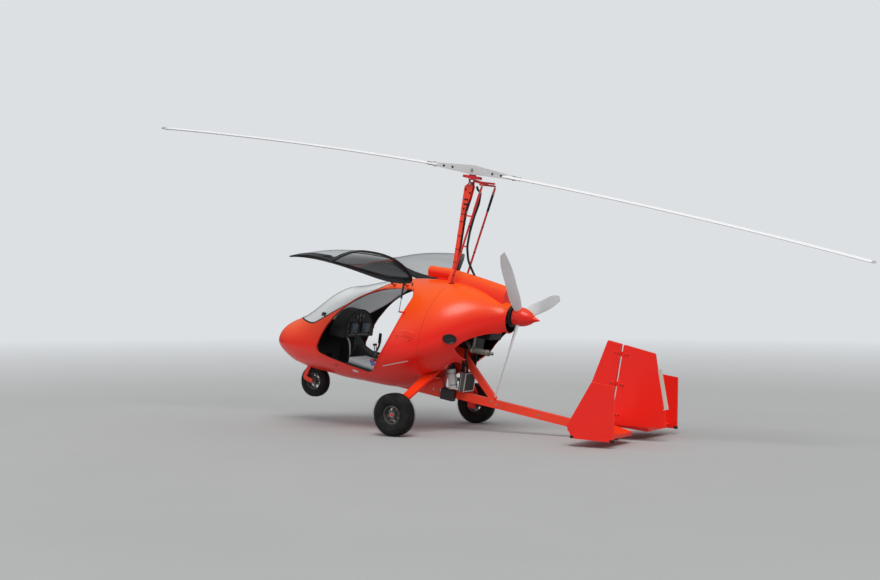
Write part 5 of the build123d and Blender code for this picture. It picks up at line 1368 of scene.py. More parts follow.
def heads(
    spots: Sequence[tuple[Vector, Vector]], kind: Head, radius: float, height: float, finish: Finish
) -> bpy.types.Mesh:
    """Fastener heads at points of a surface, grown by Geometry Nodes.

    Args:
        spots: Each head's seat and outward normal, in metres.
        kind: The kind of head.
        radius: Its radius in millimetres.
        height: Its height in millimetres.
        finish: Its finish.

    Returns:
        The heads as one mesh.
    """
    grower = Grower("fastener_heads")
    wide = grower.size("Head Radius", radius / 1000)
    tall = grower.size("Head Height", height / 1000)
    sides, washer, dome = kind.value
    corners = grower.size("Head Sides", sides, whole=True)
    lift = grower.bounded(0.0, 0.0, tall * 0.3)
    if dome:
        ball = grower.node("GeometryNodeMeshUVSphere", {}, {"Segments": corners, "Rings": 6, "Radius": wide})
        flat = grower.bounded(1.0, 1.0, dome * height / radius)
        part = grower.node("GeometryNodeTransform", {}, {"Geometry": ball, "Scale": flat})
    else:
        values = {"Vertices": corners, "Radius": wide, "Depth": tall * 1.3}
        body = grower.node("GeometryNodeMeshCylinder", {}, values)
        part = grower.node("GeometryNodeTransform", {}, {"Geometry": body, "Translation": lift})
    if washer:
        values = {"Vertices": 18, "Radius": wide * washer, "Depth": tall * 0.5}
        plate = grower.node("GeometryNodeMeshCylinder", {}, values)
        part = grower.merged(part, plate)
    way = grower.node("FunctionNodeAlignRotationToVector", {"axis": "Z"}, {"Vector": grower.named("facing")})
    source = Wire(grower, grower.entry.outputs["Geometry"])
    values = {"Points": source, "Instance": part, "Rotation": way}
    placed = grower.node("GeometryNodeInstanceOnPoints", {}, values)
    return grower.grown(placed, finish, points_mesh(spots))


def seat_heads(
    name: str,
    spots: Sequence[tuple[Vector, Vector]],
    kind: Head,
    size: Flat,
    finish: Finish,
    body: Body = Body.AIRFRAME,
    turn: Matrix | None = None,
) -> None:
    """Puts fastener heads on the machine as one piece.

    Args:
        name: The piece's name.
        spots: Each head's seat and outward normal, in metres.
        kind: The kind of head.
        size: Its radius and height in millimetres.
        finish: Its finish.
        body: The body that it rides on.
        turn: A further turn in the level drawing.
    """
    seat_piece(name, heads(spots, kind, *size, finish), finish, body, turn)


def ring_of_bars(
    count: int, radius: float, bar: Point, centre: Vector, axis: Vector, finish: Finish, clip: bool = False
) -> bpy.types.Mesh:
    """Bars that point outwards round a circle, such as teeth or ticks, grown by Geometry Nodes.

    Args:
        count: How many bars.
        radius: The circle's radius in millimetres.
        bar: Each bar's size outwards, round and along the axis, in millimetres.
        centre: The circle's centre, in metres.
        axis: The circle's axis.
        finish: The finish.
        clip: Whether the last quarter of the ring is left out, as on a dial.

    Returns:
        The bars as one mesh.
    """
    grower = Grower("ring_of_bars")
    wide = grower.size("Ring Radius", radius / 1000)
    number = grower.size("Bar Count", count, whole=True)
    long = grower.size("Bar Length", bar[0] / 1000)
    broad = grower.size("Bar Width", bar[1] / 1000)
    deep = grower.size("Bar Depth", bar[2] / 1000)
    ring = grower.node("GeometryNodeMeshCircle", {}, {"Vertices": number, "Radius": wide})
    block = grower.node("GeometryNodeMeshCube", {}, {"Size": grower.bounded(long, broad, deep)})
    outward = grower.node("GeometryNodeInputPosition")
    settings = {"axis": "X", "pivot_axis": "Z"}
    way = grower.node("FunctionNodeAlignRotationToVector", settings, {"Vector": outward})
    values = {"Points": ring, "Instance": block, "Rotation": way}
    if clip:
        order = grower.node("GeometryNodeInputIndex")
        limit = grower.size("Last Bar", int(count * 0.8), whole=True)
        settings = {"data_type": "INT", "operation": "LESS_THAN"}
        values["Selection"] = grower.node("FunctionNodeCompare", settings, {2: order, 3: limit})
    placed = grower.node("GeometryNodeInstanceOnPoints", {}, values)
    mesh = grower.grown(placed, finish)
    mesh.transform(Matrix.Translation(centre) @ aimed(axis))
    return mesh


def stack_of_plates(
    count: int, pitch: float, plate: Point, start: Vector, way: Vector, finish: Finish, is_round: bool
) -> bpy.types.Mesh:
    """Plates at an even pitch along a line, such as cooling fins, grown by Geometry Nodes.

    Args:
        count: How many plates.
        pitch: Their pitch in millimetres.
        plate: Each plate's size: radius, radius and thickness if round, else its three sides.
        start: The first plate's centre, in metres.
        way: The line's direction.
        finish: The finish.
        is_round: Whether the plates are discs.

    Returns:
        The plates as one mesh.
    """
    grower = Grower("stack_of_plates")
    number = grower.size("Plate Count", count, whole=True)
    gap = grower.size("Plate Pitch", pitch / 1000)
    wide = grower.size("Plate Width", plate[0] / 1000)
    deep = grower.size("Plate Depth", plate[1] / 1000)
    thick = grower.size("Plate Thickness", plate[2] / 1000)
    row = grower.node("GeometryNodeMeshLine", {}, {"Count": number, "Offset": grower.bounded(0.0, 0.0, gap)})
    if is_round:
        part = grower.node("GeometryNodeMeshCylinder", {}, {"Vertices": 40, "Radius": wide, "Depth": thick})
    else:
        part = grower.node("GeometryNodeMeshCube", {}, {"Size": grower.bounded(wide, deep, thick)})
    placed = grower.node("GeometryNodeInstanceOnPoints", {}, {"Points": row, "Instance": part})
    mesh = grower.grown(placed, finish)
    mesh.transform(Matrix.Translation(start) @ aimed(way))
    return mesh


def beads_along(
    path: Sequence[Vector], pitch: float, bead: Point, finish: Finish, ring: bool = False
) -> bpy.types.Mesh:
    """Small parts at an even pitch along a path, such as stitches or a hose's ribs.

    Args:
        path: The path's points, in metres.
        pitch: The pitch in millimetres.
        bead: Each part's radius, its radius across and its length along the path, in millimetres.
        finish: The finish.
        ring: Whether each part is a disc round the path, and not a stitch.

    Returns:
        The parts as one mesh.
    """
    line = bpy.data.meshes.new("line")
    line.from_pydata([tuple(p) for p in path], [(i, i + 1) for i in range(len(path) - 1)], [])
    grower = Grower("beads_along_a_path")
    gap = grower.size("Bead Pitch", pitch / 1000)
    wide = grower.size("Bead Radius", bead[0] / 1000)
    long = grower.size("Bead Length", bead[2] / 1000)
    source = Wire(grower, grower.entry.outputs["Geometry"])
    curve = grower.node("GeometryNodeMeshToCurve", {}, {"Mesh": source})
    even = grower.node("GeometryNodeResampleCurve", {"mode": "LENGTH"}, {"Curve": curve, "Length": gap})
    sides = 20 if ring else 6
    part = grower.node("GeometryNodeMeshCylinder", {}, {"Vertices": sides, "Radius": wide, "Depth": long})
    if not ring:
        flat = grower.bounded(1.0, bead[1] / bead[0], 1.0)
        part = grower.node("GeometryNodeTransform", {}, {"Geometry": part, "Scale": flat})
    tangent = grower.node("GeometryNodeInputTangent")
    way = grower.node("FunctionNodeAlignRotationToVector", {"axis": "Z"}, {"Vector": tangent})
    values = {"Points": even, "Instance": part, "Rotation": way}
    placed = grower.node("GeometryNodeInstanceOnPoints", {}, values)
    return grower.grown(placed, finish, line)


# Wheels


@dataclass(frozen=True)
class Tyre:
    """A pneumatic tyre with moulded grooves and shoulder ribs, in millimetres."""

    node: str
    body: Body
    centre: Point
    diameter: float
    width: float
    rim: float
    grooves: tuple[float, ...]
    ribs: int

    def crown(self, across: float) -> float:
        """The tread's radius at a distance from the middle."""
        share = abs(across) / (self.width / 2)
        return self.diameter / 2 - 0.5 - 11.0 * share**2.4

    def half_section(self) -> list[Flat]:
        """The section from the tread's middle to the bead.

        Returns:
            The section's points, across and out from the axle, in millimetres.
        """
        half = self.width / 2
        outer, inner = self.diameter / 2, self.rim / 2
        tall = outer - inner
        run: list[Flat] = [(0.0, self.crown(0.0))]
        for groove in self.grooves:
            edge = 2.6
            run += [(groove - edge, self.crown(groove)), (groove - edge * 0.6, self.crown(groove) - 5.0)]
            run += [(groove + edge * 0.6, self.crown(groove) - 5.0), (groove + edge, self.crown(groove))]
        shape = ((0.74, -0.10), (0.84, -0.17), (0.93, -0.29), (0.985, -0.43), (0.995, -0.54), (0.975, -0.64))
        run += [(half * a, outer + tall * r) for a, r in shape]
        run += [(half * 0.95, inner + tall * 0.30), (half * 0.955, inner + tall * 0.275)]
        run += [(half * 0.93, inner + tall * 0.25), (half * 0.90, inner + tall * 0.18)]
        run += [(half * 0.80, inner + tall * 0.08), (half * 0.66, inner + 1.2), (half * 0.55, inner + 0.4)]
        return run

    def build(self) -> None:
        """Makes the tyre with its shoulder ribs."""
        middle = mm(*self.centre)
        axis = Y_AXIS
        right = self.half_section()
        left = [(-a, r) for a, r in reversed(right)][:-1]
        whole = turned_form(left + right, middle, axis, 96)
        parts = [whole]
        for side in (-1, 1):
            place = middle + axis * (side * self.width * 0.40 / 1000)
            bar = (5.0, 4.2, self.width * 0.14)
            shoulder = self.crown(self.width * 0.40) - 2.0
            parts.append(ring_of_bars(self.ribs, shoulder, bar, place, axis, TYRE_RUBBER))
        piece = seat_piece(self.node + "_moulded", joined(parts), TYRE_RUBBER, self.body)
        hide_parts(self.node)
        LOG.info("%s: tyre with %d grooves", self.node, 2 * len(self.grooves))


@dataclass(frozen=True)
class WheelTrim:
    """What sits on a rim: bolts, a hub washer and a valve."""

    name: str
    body: Body
    centre: Point
    web_face: float
    hub_face: float
    bolt_circle: float
    bolts: int
    valve_radius: float

    def build(self, way: int) -> None:
        """Dresses the face that looks towards one side.

        Args:
            way: -1 for the port face, 1 for the starboard face.
        """
        middle = mm(*self.centre)
        out = Vector((0, way, 0))
        spots = []
        for i in range(self.bolts):
            angle = math.tau * (i + 0.5) / self.bolts
            round_by = Vector((math.cos(angle), 0, math.sin(angle))) * self.bolt_circle / 1000
            spots.append((middle + out * self.web_face / 1000 + round_by, out))
        face = "port" if way < 0 else "starboard"
        seat_heads(f"{self.name}_bolts_{face}", spots, Head.HEX, (5.2, 4.5), BOLT_STEEL, self.body)
        ring = [(0.0, 13.5), (0.0, 20.0), (1.6, 21.0), (3.0, 20.0), (3.0, 13.5)]
        place = middle + out * self.hub_face / 1000
        seat_piece(f"{self.name}_washer_{face}", turned_form(ring, place, out, 40), BOLT_STEEL, self.body)

    def valve(self, way: int) -> None:
        """Adds the valve on one face.

        Args:
            way: -1 for the port face, 1 for the starboard face.
        """
        middle = mm(*self.centre)
        out = Vector((0, way, 0))
        root = middle + Vector((0.35, 0, 0.94)) * self.valve_radius / 1000 + out * self.web_face / 1000
        stem = [(0.0, 0.2), (0.0, 4.4), (5.0, 3.4), (20.0, 3.4), (20.5, 4.2), (30.0, 4.2)]
        stem += [(31.0, 3.2), (31.0, 0.2)]
        seat_piece(f"{self.name}_valve", turned_form(stem, root, out, 16), HOSE_RUBBER, self.body)


class Undercarriage:
    """The main and nose wheels' tyres and fittings, the axle nuts and the brake lines."""

    # The wheels' places, from the middle of the main axles, in millimetres
    MAIN_Y = 840.0
    NOSE = (-1594.0, 0.0, -42.0)
    TAIL = (2048.0, 0.0, 191.0)
    # The leg's outer end and its length across, and where its middle line starts and how far that runs aft
    LEG_END_Y = 753
    LEG_SPAN = 665
    LEG_X = 26
    LEG_RUN = 40

    def build(self) -> None:
        """Builds every piece of the gear."""
        for side, way in SIDES:
            centre = (0.0, way * self.MAIN_Y, 0.0)
            body = side_body("wheel", side)
            Tyre(
                node=f"{side}_tyre",
                body=body,
                centre=centre,
                diameter=440,
                width=158,
                rim=190,
                grooves=(14.0, 38.0),
                ribs=60,
            ).build()
            trim = WheelTrim(
                name=f"{side}_wheel",
                body=body,
                centre=centre,
                web_face=6.0,
                hub_face=49.0,
                bolt_circle=66.0,
                bolts=8,
                valve_radius=84.0,
            )
            trim.build(way)
            trim.build(-way)
            trim.valve(way)
            self.brake_line(side, way)
        Tyre(
            node="nose_tyre",
            body=Body.NOSE_WHEEL,
            centre=self.NOSE,
            diameter=350,
            width=105,
            rim=184,
            grooves=(10.0, 27.0),
            ribs=48,
        ).build()
        nose = WheelTrim(
            name="nose_wheel",
            body=Body.NOSE_WHEEL,
            centre=self.NOSE,
            web_face=6.0,
            hub_face=36.0,
            bolt_circle=58.0,
            bolts=6,
            valve_radius=82.0,
        )
        nose.build(-1)
        nose.build(1)
        nose.valve(-1)
        self.axle_nuts()
        LOG.info("undercarriage: wheels, valves, bolts and brake lines")

    def axle_nuts(self) -> None:
        """Adds nuts on the nose and tail forks."""
        for face, way in FACES:
            out = Vector((0, way, 0))
            spots = [(mm(self.NOSE[0], way * 71.6, self.NOSE[2]), out)]
            collar = [(0.0, 9.3), (0.0, 16.0), (6.0, 16.0), (7.0, 14.5), (7.0, 9.3)]
            mesh = turned_form(collar, spots[0][0], out, 6)
            seat_piece(f"nose_axle_nut_{face}", mesh, BOLT_STEEL, Body.NOSE_LEG, sharp=20)
            place = mm(self.TAIL[0], way * 30.0, self.TAIL[2])
            nut = [(place, out)]
            seat_heads(f"tail_axle_nut_{face}", nut, Head.HEX, (10.0, 8.0), BOLT_STEEL)

    def brake_line(self, side: str, way: int) -> None:
        """Lays a brake hose under the leg, with clips.

        Args:
            side: The leg's side.
            way: -1 for port, 1 for starboard.
        """
        leg = Skin(["gear_legs"])
        marks = []
        for y in range(720, 250, -30):
            share = (self.LEG_END_Y - y) / self.LEG_SPAN
            hit = leg.meet(mm(self.LEG_X + self.LEG_RUN * share, way * y, -500), Z_AXIS)
            if hit:
                marks.append(hit[0] + hit[1] * 0.0035)
        if len(marks) < 4:
            return
        hose = hose_form(smooth_path(marks, 0.01), 0.0032, 10)
        seat_piece(f"{side}_brake_line", hose, HOSE_RUBBER)
        clips = [(spot + Vector((0, 0, 0.003)), Vector((0, 0, -1))) for spot in marks[1:-1:3]]
        seat_heads(f"{side}_brake_clips", clips, Head.PAN, (6.5, 7.0), BOLT_BLACK)


# Seats


@dataclass(frozen=True)
class Pad:
    """A cushion in its own frame: along it, across it and away from its shell, in metres."""

    name: str
    long: float
    wide: float
    thick_start: float
    thick_end: float
    bolster: float
    channels: tuple[float, ...]
    cap: float = 0.010
    inset: float = 0.005

    def blank(self) -> bpy.types.Mesh:
        """The closed form before it swells, with sides that pull in and a crowned top.

        Returns:
            The mesh.
        """
        tall = max(self.thick_start, self.thick_end) - self.inset
        size = (self.long - 2 * self.inset, self.wide - 2 * self.inset, tall)
        start = rounded_block(Vector((0, 0, 0)), size, 0.017)
        carrier = linked("blank", start)
        remesh = carrier.modifiers.new("cells", "REMESH")
        remesh.mode = "VOXEL"
        remesh.voxel_size = 0.006
        mesh = evaluated(carrier)
        for vertex in mesh.vertices:
            vertex.co = self.shaped(vertex.co, size)
        return mesh

    def shaped(self, spot: Vector, size: Point) -> Vector:
        """One point of the blank, moved to its tapered, crowned and pulled-in place.

        Args:
            spot: The point.
            size: The blank's three sides.

        Returns:
            Its new place.
        """
        u = max(-1.0, min(1.0, spot.x / (size[0] / 2)))
        v = max(-1.0, min(1.0, spot.y / (size[1] / 2)))
        w = (spot.z + size[2] / 2) / size[2]
        thick = self.thick_start + (self.thick_end - self.thick_start) * (u + 1) / 2 - self.inset
        crown = 0.007 * (1 - u**4) * (1 - v**4) * max(0.0, w - 0.35) / 0.65
        x = spot.x * (1 - 0.022 * (1 - v * v))
        y = spot.y * (1 - 0.030 * (1 - u * u))
        height = w * thick + crown
        if self.is_sewn(x, y, w):
            height -= 0.007
        return Vector((x, y, height))

    def is_sewn(self, x: float, y: float, share: float) -> bool:
        """Whether a point of the top lies in a sewn channel.

        Args:
            x: The point's place along the pad.
            y: Its place across.
            share: Its share of the pad's height.

        Returns:
            Whether it does.
        """
        if share < 0.6 or abs(x) > self.long / 2 - 0.03 or abs(y) > self.wide / 2 - 0.012:
            return False
        if abs(abs(y) - self.bolster) < 0.004:
            return True
        return abs(y) < self.bolster and any(abs(x - mark) < 0.004 for mark in self.channels)

    def swollen(self, mesh: bpy.types.Mesh) -> bpy.types.Mesh:
        """The blank after Blender's cloth has filled it, with every move capped.

        Args:
            mesh: The blank.
        """
        rest = [v.co.copy() for v in mesh.vertices]
        carrier = linked("pad", mesh)
        held = carrier.vertex_groups.new(name="held")
        top = max(p.z for p in rest)
        fixed = [i for i, p in enumerate(rest) if p.z < 0.004 or self.is_sewn(p.x, p.y, p.z / top + 0.35)]
        held.add(fixed, 1.0, "REPLACE")
        cloth = carrier.modifiers.new("fill", "CLOTH")
        cloth.settings.quality = 5
        cloth.settings.mass = 0.25
        cloth.settings.use_pressure = True
        cloth.settings.uniform_pressure_force = 4.0
        cloth.settings.effector_weights.gravity = 0.0
        cloth.settings.vertex_group_mass = "held"
        cloth.settings.tension_stiffness = 12.0
        cloth.settings.bending_stiffness = 0.4
        cloth.point_cache.frame_start = 1
        cloth.point_cache.frame_end = 20
        scene = bpy.context.scene
        for number in range(1, 21):
            scene.frame_set(number)
        grown = evaluated(carrier)
        scene.frame_set(1)
        for vertex, start in zip(grown.vertices, rest):
            move = vertex.co - start
            if move.length > self.cap:
                vertex.co = start + move * (self.cap / move.length)
        return grown

    def finished(self) -> bpy.types.Mesh:
        """The pad's mesh after one subdivision.

        Returns:
            The mesh.
        """
        carrier = linked("pad", self.swollen(self.blank()))
        smooth = carrier.modifiers.new("smooth", "SUBSURF")
        smooth.levels = 1
        smooth.render_levels = 1
        return evaluated(carrier)

    def surface(self, mesh: bpy.types.Mesh) -> BVHTree:
        """The pad's surface, for what is sewn on it."""
        return BVHTree.FromPolygons([v.co for v in mesh.vertices], [tuple(p.vertices) for p in mesh.polygons])

    def laid(self, tree: BVHTree, run: Sequence[Flat], lift: float = 0.0) -> list[Vector]:
        """A flat run dropped on the pad's top.

        Args:
            tree: The pad's surface.
            run: The run's points, along and across.
            lift: How far above the surface they end.

        Returns:
            The points that met the pad.
        """
        found = []
        for x, y in run:
            spot = tree.ray_cast(Vector((x, y, 0.4)), Vector((0, 0, -1)))[0]
            if spot is not None:
                found.append(spot + Vector((0, 0, lift)))
        return found

    def edging(self, tree: BVHTree) -> bpy.types.Mesh:
        """The piping round the pad's top edge.

        Args:
            tree: The pad's surface.

        Returns:
            The piping's mesh.
        """
        a, b = self.long / 2 - 0.020, self.wide / 2 - 0.018
        soft = 0.03
        loop: list[Flat] = []
        x, y = a - soft, b - soft
        for cx, cy, first in ((x, y, 0), (-x, y, 90), (-x, -y, 180), (x, -y, 270)):
            for k in range(7):
                angle = math.radians(first + 15 * k)
                loop.append((cx + soft * math.cos(angle), cy + soft * math.sin(angle)))
        run = evened([(x * 1000, y * 1000) for x, y in loop], 12)
        spots = self.laid(tree, [(x / 1000, y / 1000) for x, y in run], 0.0008)
        return trim_form(spots, [Z_AXIS] * len(spots), round_section(2.6, 2.6, 8), closed=True)

    def stitching(self, tree: BVHTree) -> bpy.types.Mesh:
        """The stitches along the sewn channels.

        Args:
            tree: The pad's surface.

        Returns:
            The stitches as one mesh.
        """
        rows = []
        span = self.long / 2 - 0.035
        for side in (-1, 1):
            for off in (-0.0035, 0.0035):
                y = side * self.bolster + off
                rows.append([(-span + 2 * span * i / 60, y) for i in range(61)])
        for mark in self.channels:
            rows.append([(mark, -self.bolster + 2 * self.bolster * i / 40) for i in range(41)])
        parts = [beads_along(self.laid(tree, row, 0.0004), 5.2, (0.75, 0.5, 3.4), PIPING) for row in rows]
        return joined(parts)


class Seats:
    """Two seats of two cushions each, with their belts."""

    Y = 256.0
    FRONT = (-950.0, 318.0)
    CROTCH = (-474.0, 292.0)
    HEAD = (-236.0, 905.0)
    WIDE = 0.340
    BOLSTER = 0.108

    def __init__(self) -> None:
        """Works out the two cushions' frames."""
        seat = Vector((self.FRONT[0] - self.CROTCH[0], 0, self.FRONT[1] - self.CROTCH[1])) / 1000
        back = Vector((self.HEAD[0] - self.CROTCH[0], 0, self.HEAD[1] - self.CROTCH[1])) / 1000
        self.seat_length = seat.length
        self.back_length = back.length
        self.seat_start, self.seat_end = 0.080, self.seat_length - 0.016
        self.back_start, self.back_end = 0.036, self.back_length - 0.006
        self.seat_frame = self.frame_of(seat, (self.seat_start + self.seat_end) / 2, Z_AXIS)
        self.back_frame = self.frame_of(back, (self.back_start + self.back_end) / 2, Vector((-1, 0, 0)))

    def frame_of(self, run: Vector, middle: float, face: Vector) -> Matrix:
        """The frame of a cushion whose X follows its run and whose Z points out of its shell.

        Args:
            run: The cushion's run.
            middle: How far along it the cushion's middle lies.
            face: The rough way that the cushion faces.

        Returns:
            The frame.
        """
        along = run.normalized()
        up = face - along * face.dot(along)
        up.normalize()
        across = up.cross(along)
        origin = mm(self.CROTCH[0], 0, self.CROTCH[1]) + along * middle + up * 0.001
        turn = Matrix((along, across, up)).transposed().to_4x4()
        return Matrix.Translation(origin) @ turn

    def build(self) -> None:
        """Builds the cushions, piping, stitches and belts."""
        seat = Pad(
            name="seat",
            long=self.seat_end - self.seat_start,
            wide=self.WIDE,
            thick_start=0.066,
            thick_end=0.074,
            bolster=self.BOLSTER,
            channels=(-0.10, -0.02, 0.06),
        )
        back = Pad(
            name="back",
            long=self.back_end - self.back_start,
            wide=self.WIDE,
            thick_start=0.062,
            thick_end=0.044,
            bolster=self.BOLSTER,
            channels=(-0.20, -0.10, 0.0, 0.10, 0.20),
        )
        for pad, frame_matrix in ((seat, self.seat_frame), (back, self.back_frame)):
            kind = pad.name
            mesh = pad.finished()
            tree = pad.surface(mesh)
            piping, stitches = pad.edging(tree), pad.stitching(tree)
            for side, way in SIDES:
                move = Matrix.Translation((0, way * self.Y / 1000, 0)) @ frame_matrix
                cover, cord, sewn = mesh.copy(), piping.copy(), stitches.copy()
                for item in (cover, cord, sewn):
                    item.transform(move)
                piece = seat_piece(f"{side}_{kind}_pad", cover, SEAT_CLOTH, sharp=180)
                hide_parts(f"{side}_{kind}_cushion")
                seat_piece(f"{side}_{kind}_piping", cord, PIPING)
                seat_piece(f"{side}_{kind}_stitches", sewn, PIPING)
                self.belts(side, way, kind, pad, tree, move)
        LOG.info("seats: four cushions with piping, stitches and belts")

    def belts(self, side: str, way: int, kind: str, pad: Pad, tree: BVHTree, move: Matrix) -> None:
        """Lays the webbing of one cushion: two shoulder straps or two lap straps.

        Args:
            side: The seat's side.
            way: -1 for port, 1 for starboard.
            kind: Which cushion the straps lie on.
            pad: The cushion's pad.
            tree: Its surface.
            move: Where the cushion stands.
        """
        half_long, half_wide = pad.long / 2, pad.wide / 2
        if kind == "back":
            run = [(half_long - 0.012, 0.070), (0.10, 0.062), (-0.10, 0.050), (-half_long + 0.07, 0.034)]
        else:
            run = [(-half_long + 0.05, half_wide - 0.012), (-0.10, 0.13), (-0.05, 0.07), (-0.03, 0.012)]
        for number, hand in enumerate((-1, 1)):
            finish = STRAP_BLUE if hand == -way else STRAP_RED
            guide = smooth_path([Vector((x, hand * y, 0)) for x, y in run], 0.008)
            spots = self.settled(pad.laid(tree, [(p.x, p.y) for p in guide], 0.0012))
            if len(spots) < 3:
                continue
            strap = trim_form(spots, [Z_AXIS] * len(spots), strip_area(44, 2.2))
            strap.transform(move)
            seat_piece(f"{side}_{kind}_strap_{number}", strap, finish)
            edge = self.hem(spots)
            edge.transform(move)
            seat_piece(f"{side}_{kind}_hem_{number}", edge, finish)
            place = spots[-1] if kind == "seat" else spots[len(spots) // 3]
            size = (0.046, 0.060, 0.014) if kind == "seat" else (0.030, 0.056, 0.008)
            buckle = self.buckle(place + Vector((0, 0, 0.006)), size)
            buckle.transform(move)
            coat = BUCKLE_RED if kind == "seat" and number else GRAINED_BLACK
            seat_piece(f"{side}_{kind}_buckle_{number}", buckle, coat)

    def settled(self, spots: Sequence[Vector]) -> list[Vector]:
        """Strap points that bridge the channels, as taut webbing does.

        Args:
            spots: The points on the cushion.

        Returns:
            The points, none of them lower than before.
        """
        result = []
        for i, spot in enumerate(spots):
            near = spots[max(0, i - 3) : i + 4]
            height = max(spot.z, sum(p.z for p in near) / len(near))
            result.append(Vector((spot.x, spot.y, height)))
        return result

    def hem(self, spots: Sequence[Vector]) -> bpy.types.Mesh:
        """The thicker selvedge along both edges of a strap.

        Args:
            spots: The strap's points.

        Returns:
            Both selvedges as one mesh.
        """
        edges = ((-22.5, -19.5), (19.5, 22.5))
        sections = [[(a, 0.4), (a, 2.9), (b, 2.9), (b, 0.4)] for a, b in edges]
        return joined([trim_form(spots, [Z_AXIS] * len(spots), s) for s in sections])

    def buckle(self, place: Vector, size: Point) -> bpy.types.Mesh:
        """A buckle with a raised press plate and a slot bar.

        Args:
            place: The buckle's middle.
            size: Its three sides.

        Returns:
            The mesh.
        """
        long, wide, tall = size
        base = rounded_block(place, size, 0.003)
        above = place + Vector((0, 0, tall * 0.45))
        plate = rounded_block(above, (long * 0.5, wide * 0.5, tall * 0.4), 0.0018)
        ahead = place + Vector((long * 0.42, 0, tall * 0.3))
        bar = rounded_block(ahead, (0.005, wide * 0.9, tall * 0.7), 0.0015)
        return joined([base, plate, bar])


# Doors and glazing


def hinge_axis(side: int) -> Vector:
    """The direction of a door's hinge line in the level drawing."""
    level = math.cos(HINGE_SLOPE)
    return Vector((level * math.cos(HINGE_TOE), side * level * math.sin(HINGE_TOE), math.sin(HINGE_SLOPE)))


def hinge_spot(along: float, side: int) -> Vector:
    """A point on a door's hinge line, at a distance along it in millimetres."""
    x, y, z = HINGE_MIDDLE
    return mm(x, side * y, z) + hinge_axis(side) * (along / 1000)


def door_swing(side: int, angle: float) -> Matrix:
    """The turn that opens a closed door by an angle.

    Args:
        side: -1 for port, 1 for starboard.
        angle: The angle in degrees.

    Returns:
        The turn in the level drawing.
    """
    spin = Matrix.Rotation(math.radians(side * angle), 4, hinge_axis(side))
    pivot = hinge_spot(0, side)
    return Matrix.Translation(pivot) @ spin @ Matrix.Translation(-pivot)


def door_loop(spread: float) -> list[Flat]:
    """The door's outline in the side view, moved outwards by a spread in millimetres.

    Args:
        spread: The spread in millimetres, inwards if negative.

    Returns:
        The outline's points at even distances.
    """
    foot = line_points(DOOR_FRONT, DOOR_REAR)
    rear = arc_points(DOOR_REAR, DOOR_BACK, DOOR_TOP)
    top = arc_points(DOOR_TOP, DOOR_BROW, DOOR_FRONT, 60)
    foot, rear = rounded_corner(foot, rear, DOOR_CUTS[0])
    rear, top = rounded_corner(rear, top, DOOR_CUTS[1])
    top, foot = rounded_corner(top, foot, DOOR_CUTS[2])
    return evened(spread_loop([*foot, *rear, *top], spread), 14)


@dataclass(frozen=True)
class DoorTrim:
    """One door's seals, studs and latch."""

    side: str
    way: int

    def build(self) -> None:
        """Builds what rides on the door."""
        body = side_body("door", self.side)
        opened = door_swing(self.way, DOOR_OPEN)
        closed = door_swing(self.way, -DOOR_OPEN)
        skin = Skin([f"{self.side}_door_frame", f"{self.side}_door_glass"], closed)
        bead, facing = skin.track(door_loop(-39), self.way)
        section = [(-4.0, -3.0), (-4.0, 0.6), (-2.0, 1.8), (2.0, 1.8), (4.0, 0.6), (4.0, -3.0)]
        mesh = trim_form(bead, facing, section, closed=True)
        seat_piece(f"{self.side}_door_bead", mesh, SEAL_BLACK, body, opened)
        studs, facing = skin.track(evened(door_loop(-20), 96), self.way)
        spots = [(p + n * 0.0002, n) for p, n in zip(studs, facing)]
        seat_heads(f"{self.side}_door_studs", spots, Head.PAN, (4.0, 2.0), BOLT_BLACK, body, opened)
        self.latch(skin, body, opened)
        self.inner_seal(skin, body, opened)

    def latch(self, skin: Skin, body: Body, opened: Matrix) -> None:
        """Adds the flush outer handle and the inner lever near the door's rear foot.

        Args:
            skin: The closed door's surface.
            body: The door's body.
            opened: The turn that opens the door.
        """
        hit = skin.beside(-690, 345, self.way)
        if hit is None:
            return
        spot, normal = hit
        turn = frame_on(spot, normal, X_AXIS)
        plate = rounded_block(Vector((0, 0, 0.0015)), (0.120, 0.030, 0.005), 0.002)
        grip = rounded_block(Vector((0.012, 0, 0.006)), (0.074, 0.016, 0.006), 0.0026)
        whole = joined([plate, grip])
        whole.transform(turn)
        seat_piece(f"{self.side}_door_handle", whole, SMOOTH_BLACK, body, opened)
        lever = joined(
            [
                rounded_block(Vector((0, 0, -0.020)), (0.090, 0.022, 0.006), 0.002),
                rounded_block(Vector((0.030, 0, -0.030)), (0.018, 0.018, 0.024), 0.004),
            ]
        )
        lever.transform(turn)
        seat_piece(f"{self.side}_door_lever", lever, BOLT_STEEL, body, opened)

    def inner_seal(self, skin: Skin, body: Body, opened: Matrix) -> None:
        """Runs a bulb seal inside the band.

        Args:
            skin: The closed door's surface.
            body: The door's body.
            opened: The turn that opens the door.
        """
        spots, normals = skin.track(door_loop(-30), self.way)
        inside = [p - n * 0.0145 for p, n in zip(spots, normals)]
        mesh = trim_form(inside, [-n for n in normals], round_section(5.0, 4.0, 10), closed=True)
        seat_piece(f"{self.side}_door_bulb", mesh, HOSE_RUBBER, body, opened)


def frame_on(spot: Vector, normal: Vector, along: Vector) -> Matrix:
    """A frame on a surface, with Z out of it and X near a given direction.

    Args:
        spot: The frame's origin.
        normal: The way out of the surface.
        along: The way that X leans to.

    Returns:
        The frame.
    """
    up = normal.normalized()
    ahead = (along - up * along.dot(up)).normalized()
    across = up.cross(ahead)
    return Matrix.Translation(spot) @ Matrix((ahead, across, up)).transposed().to_4x4()


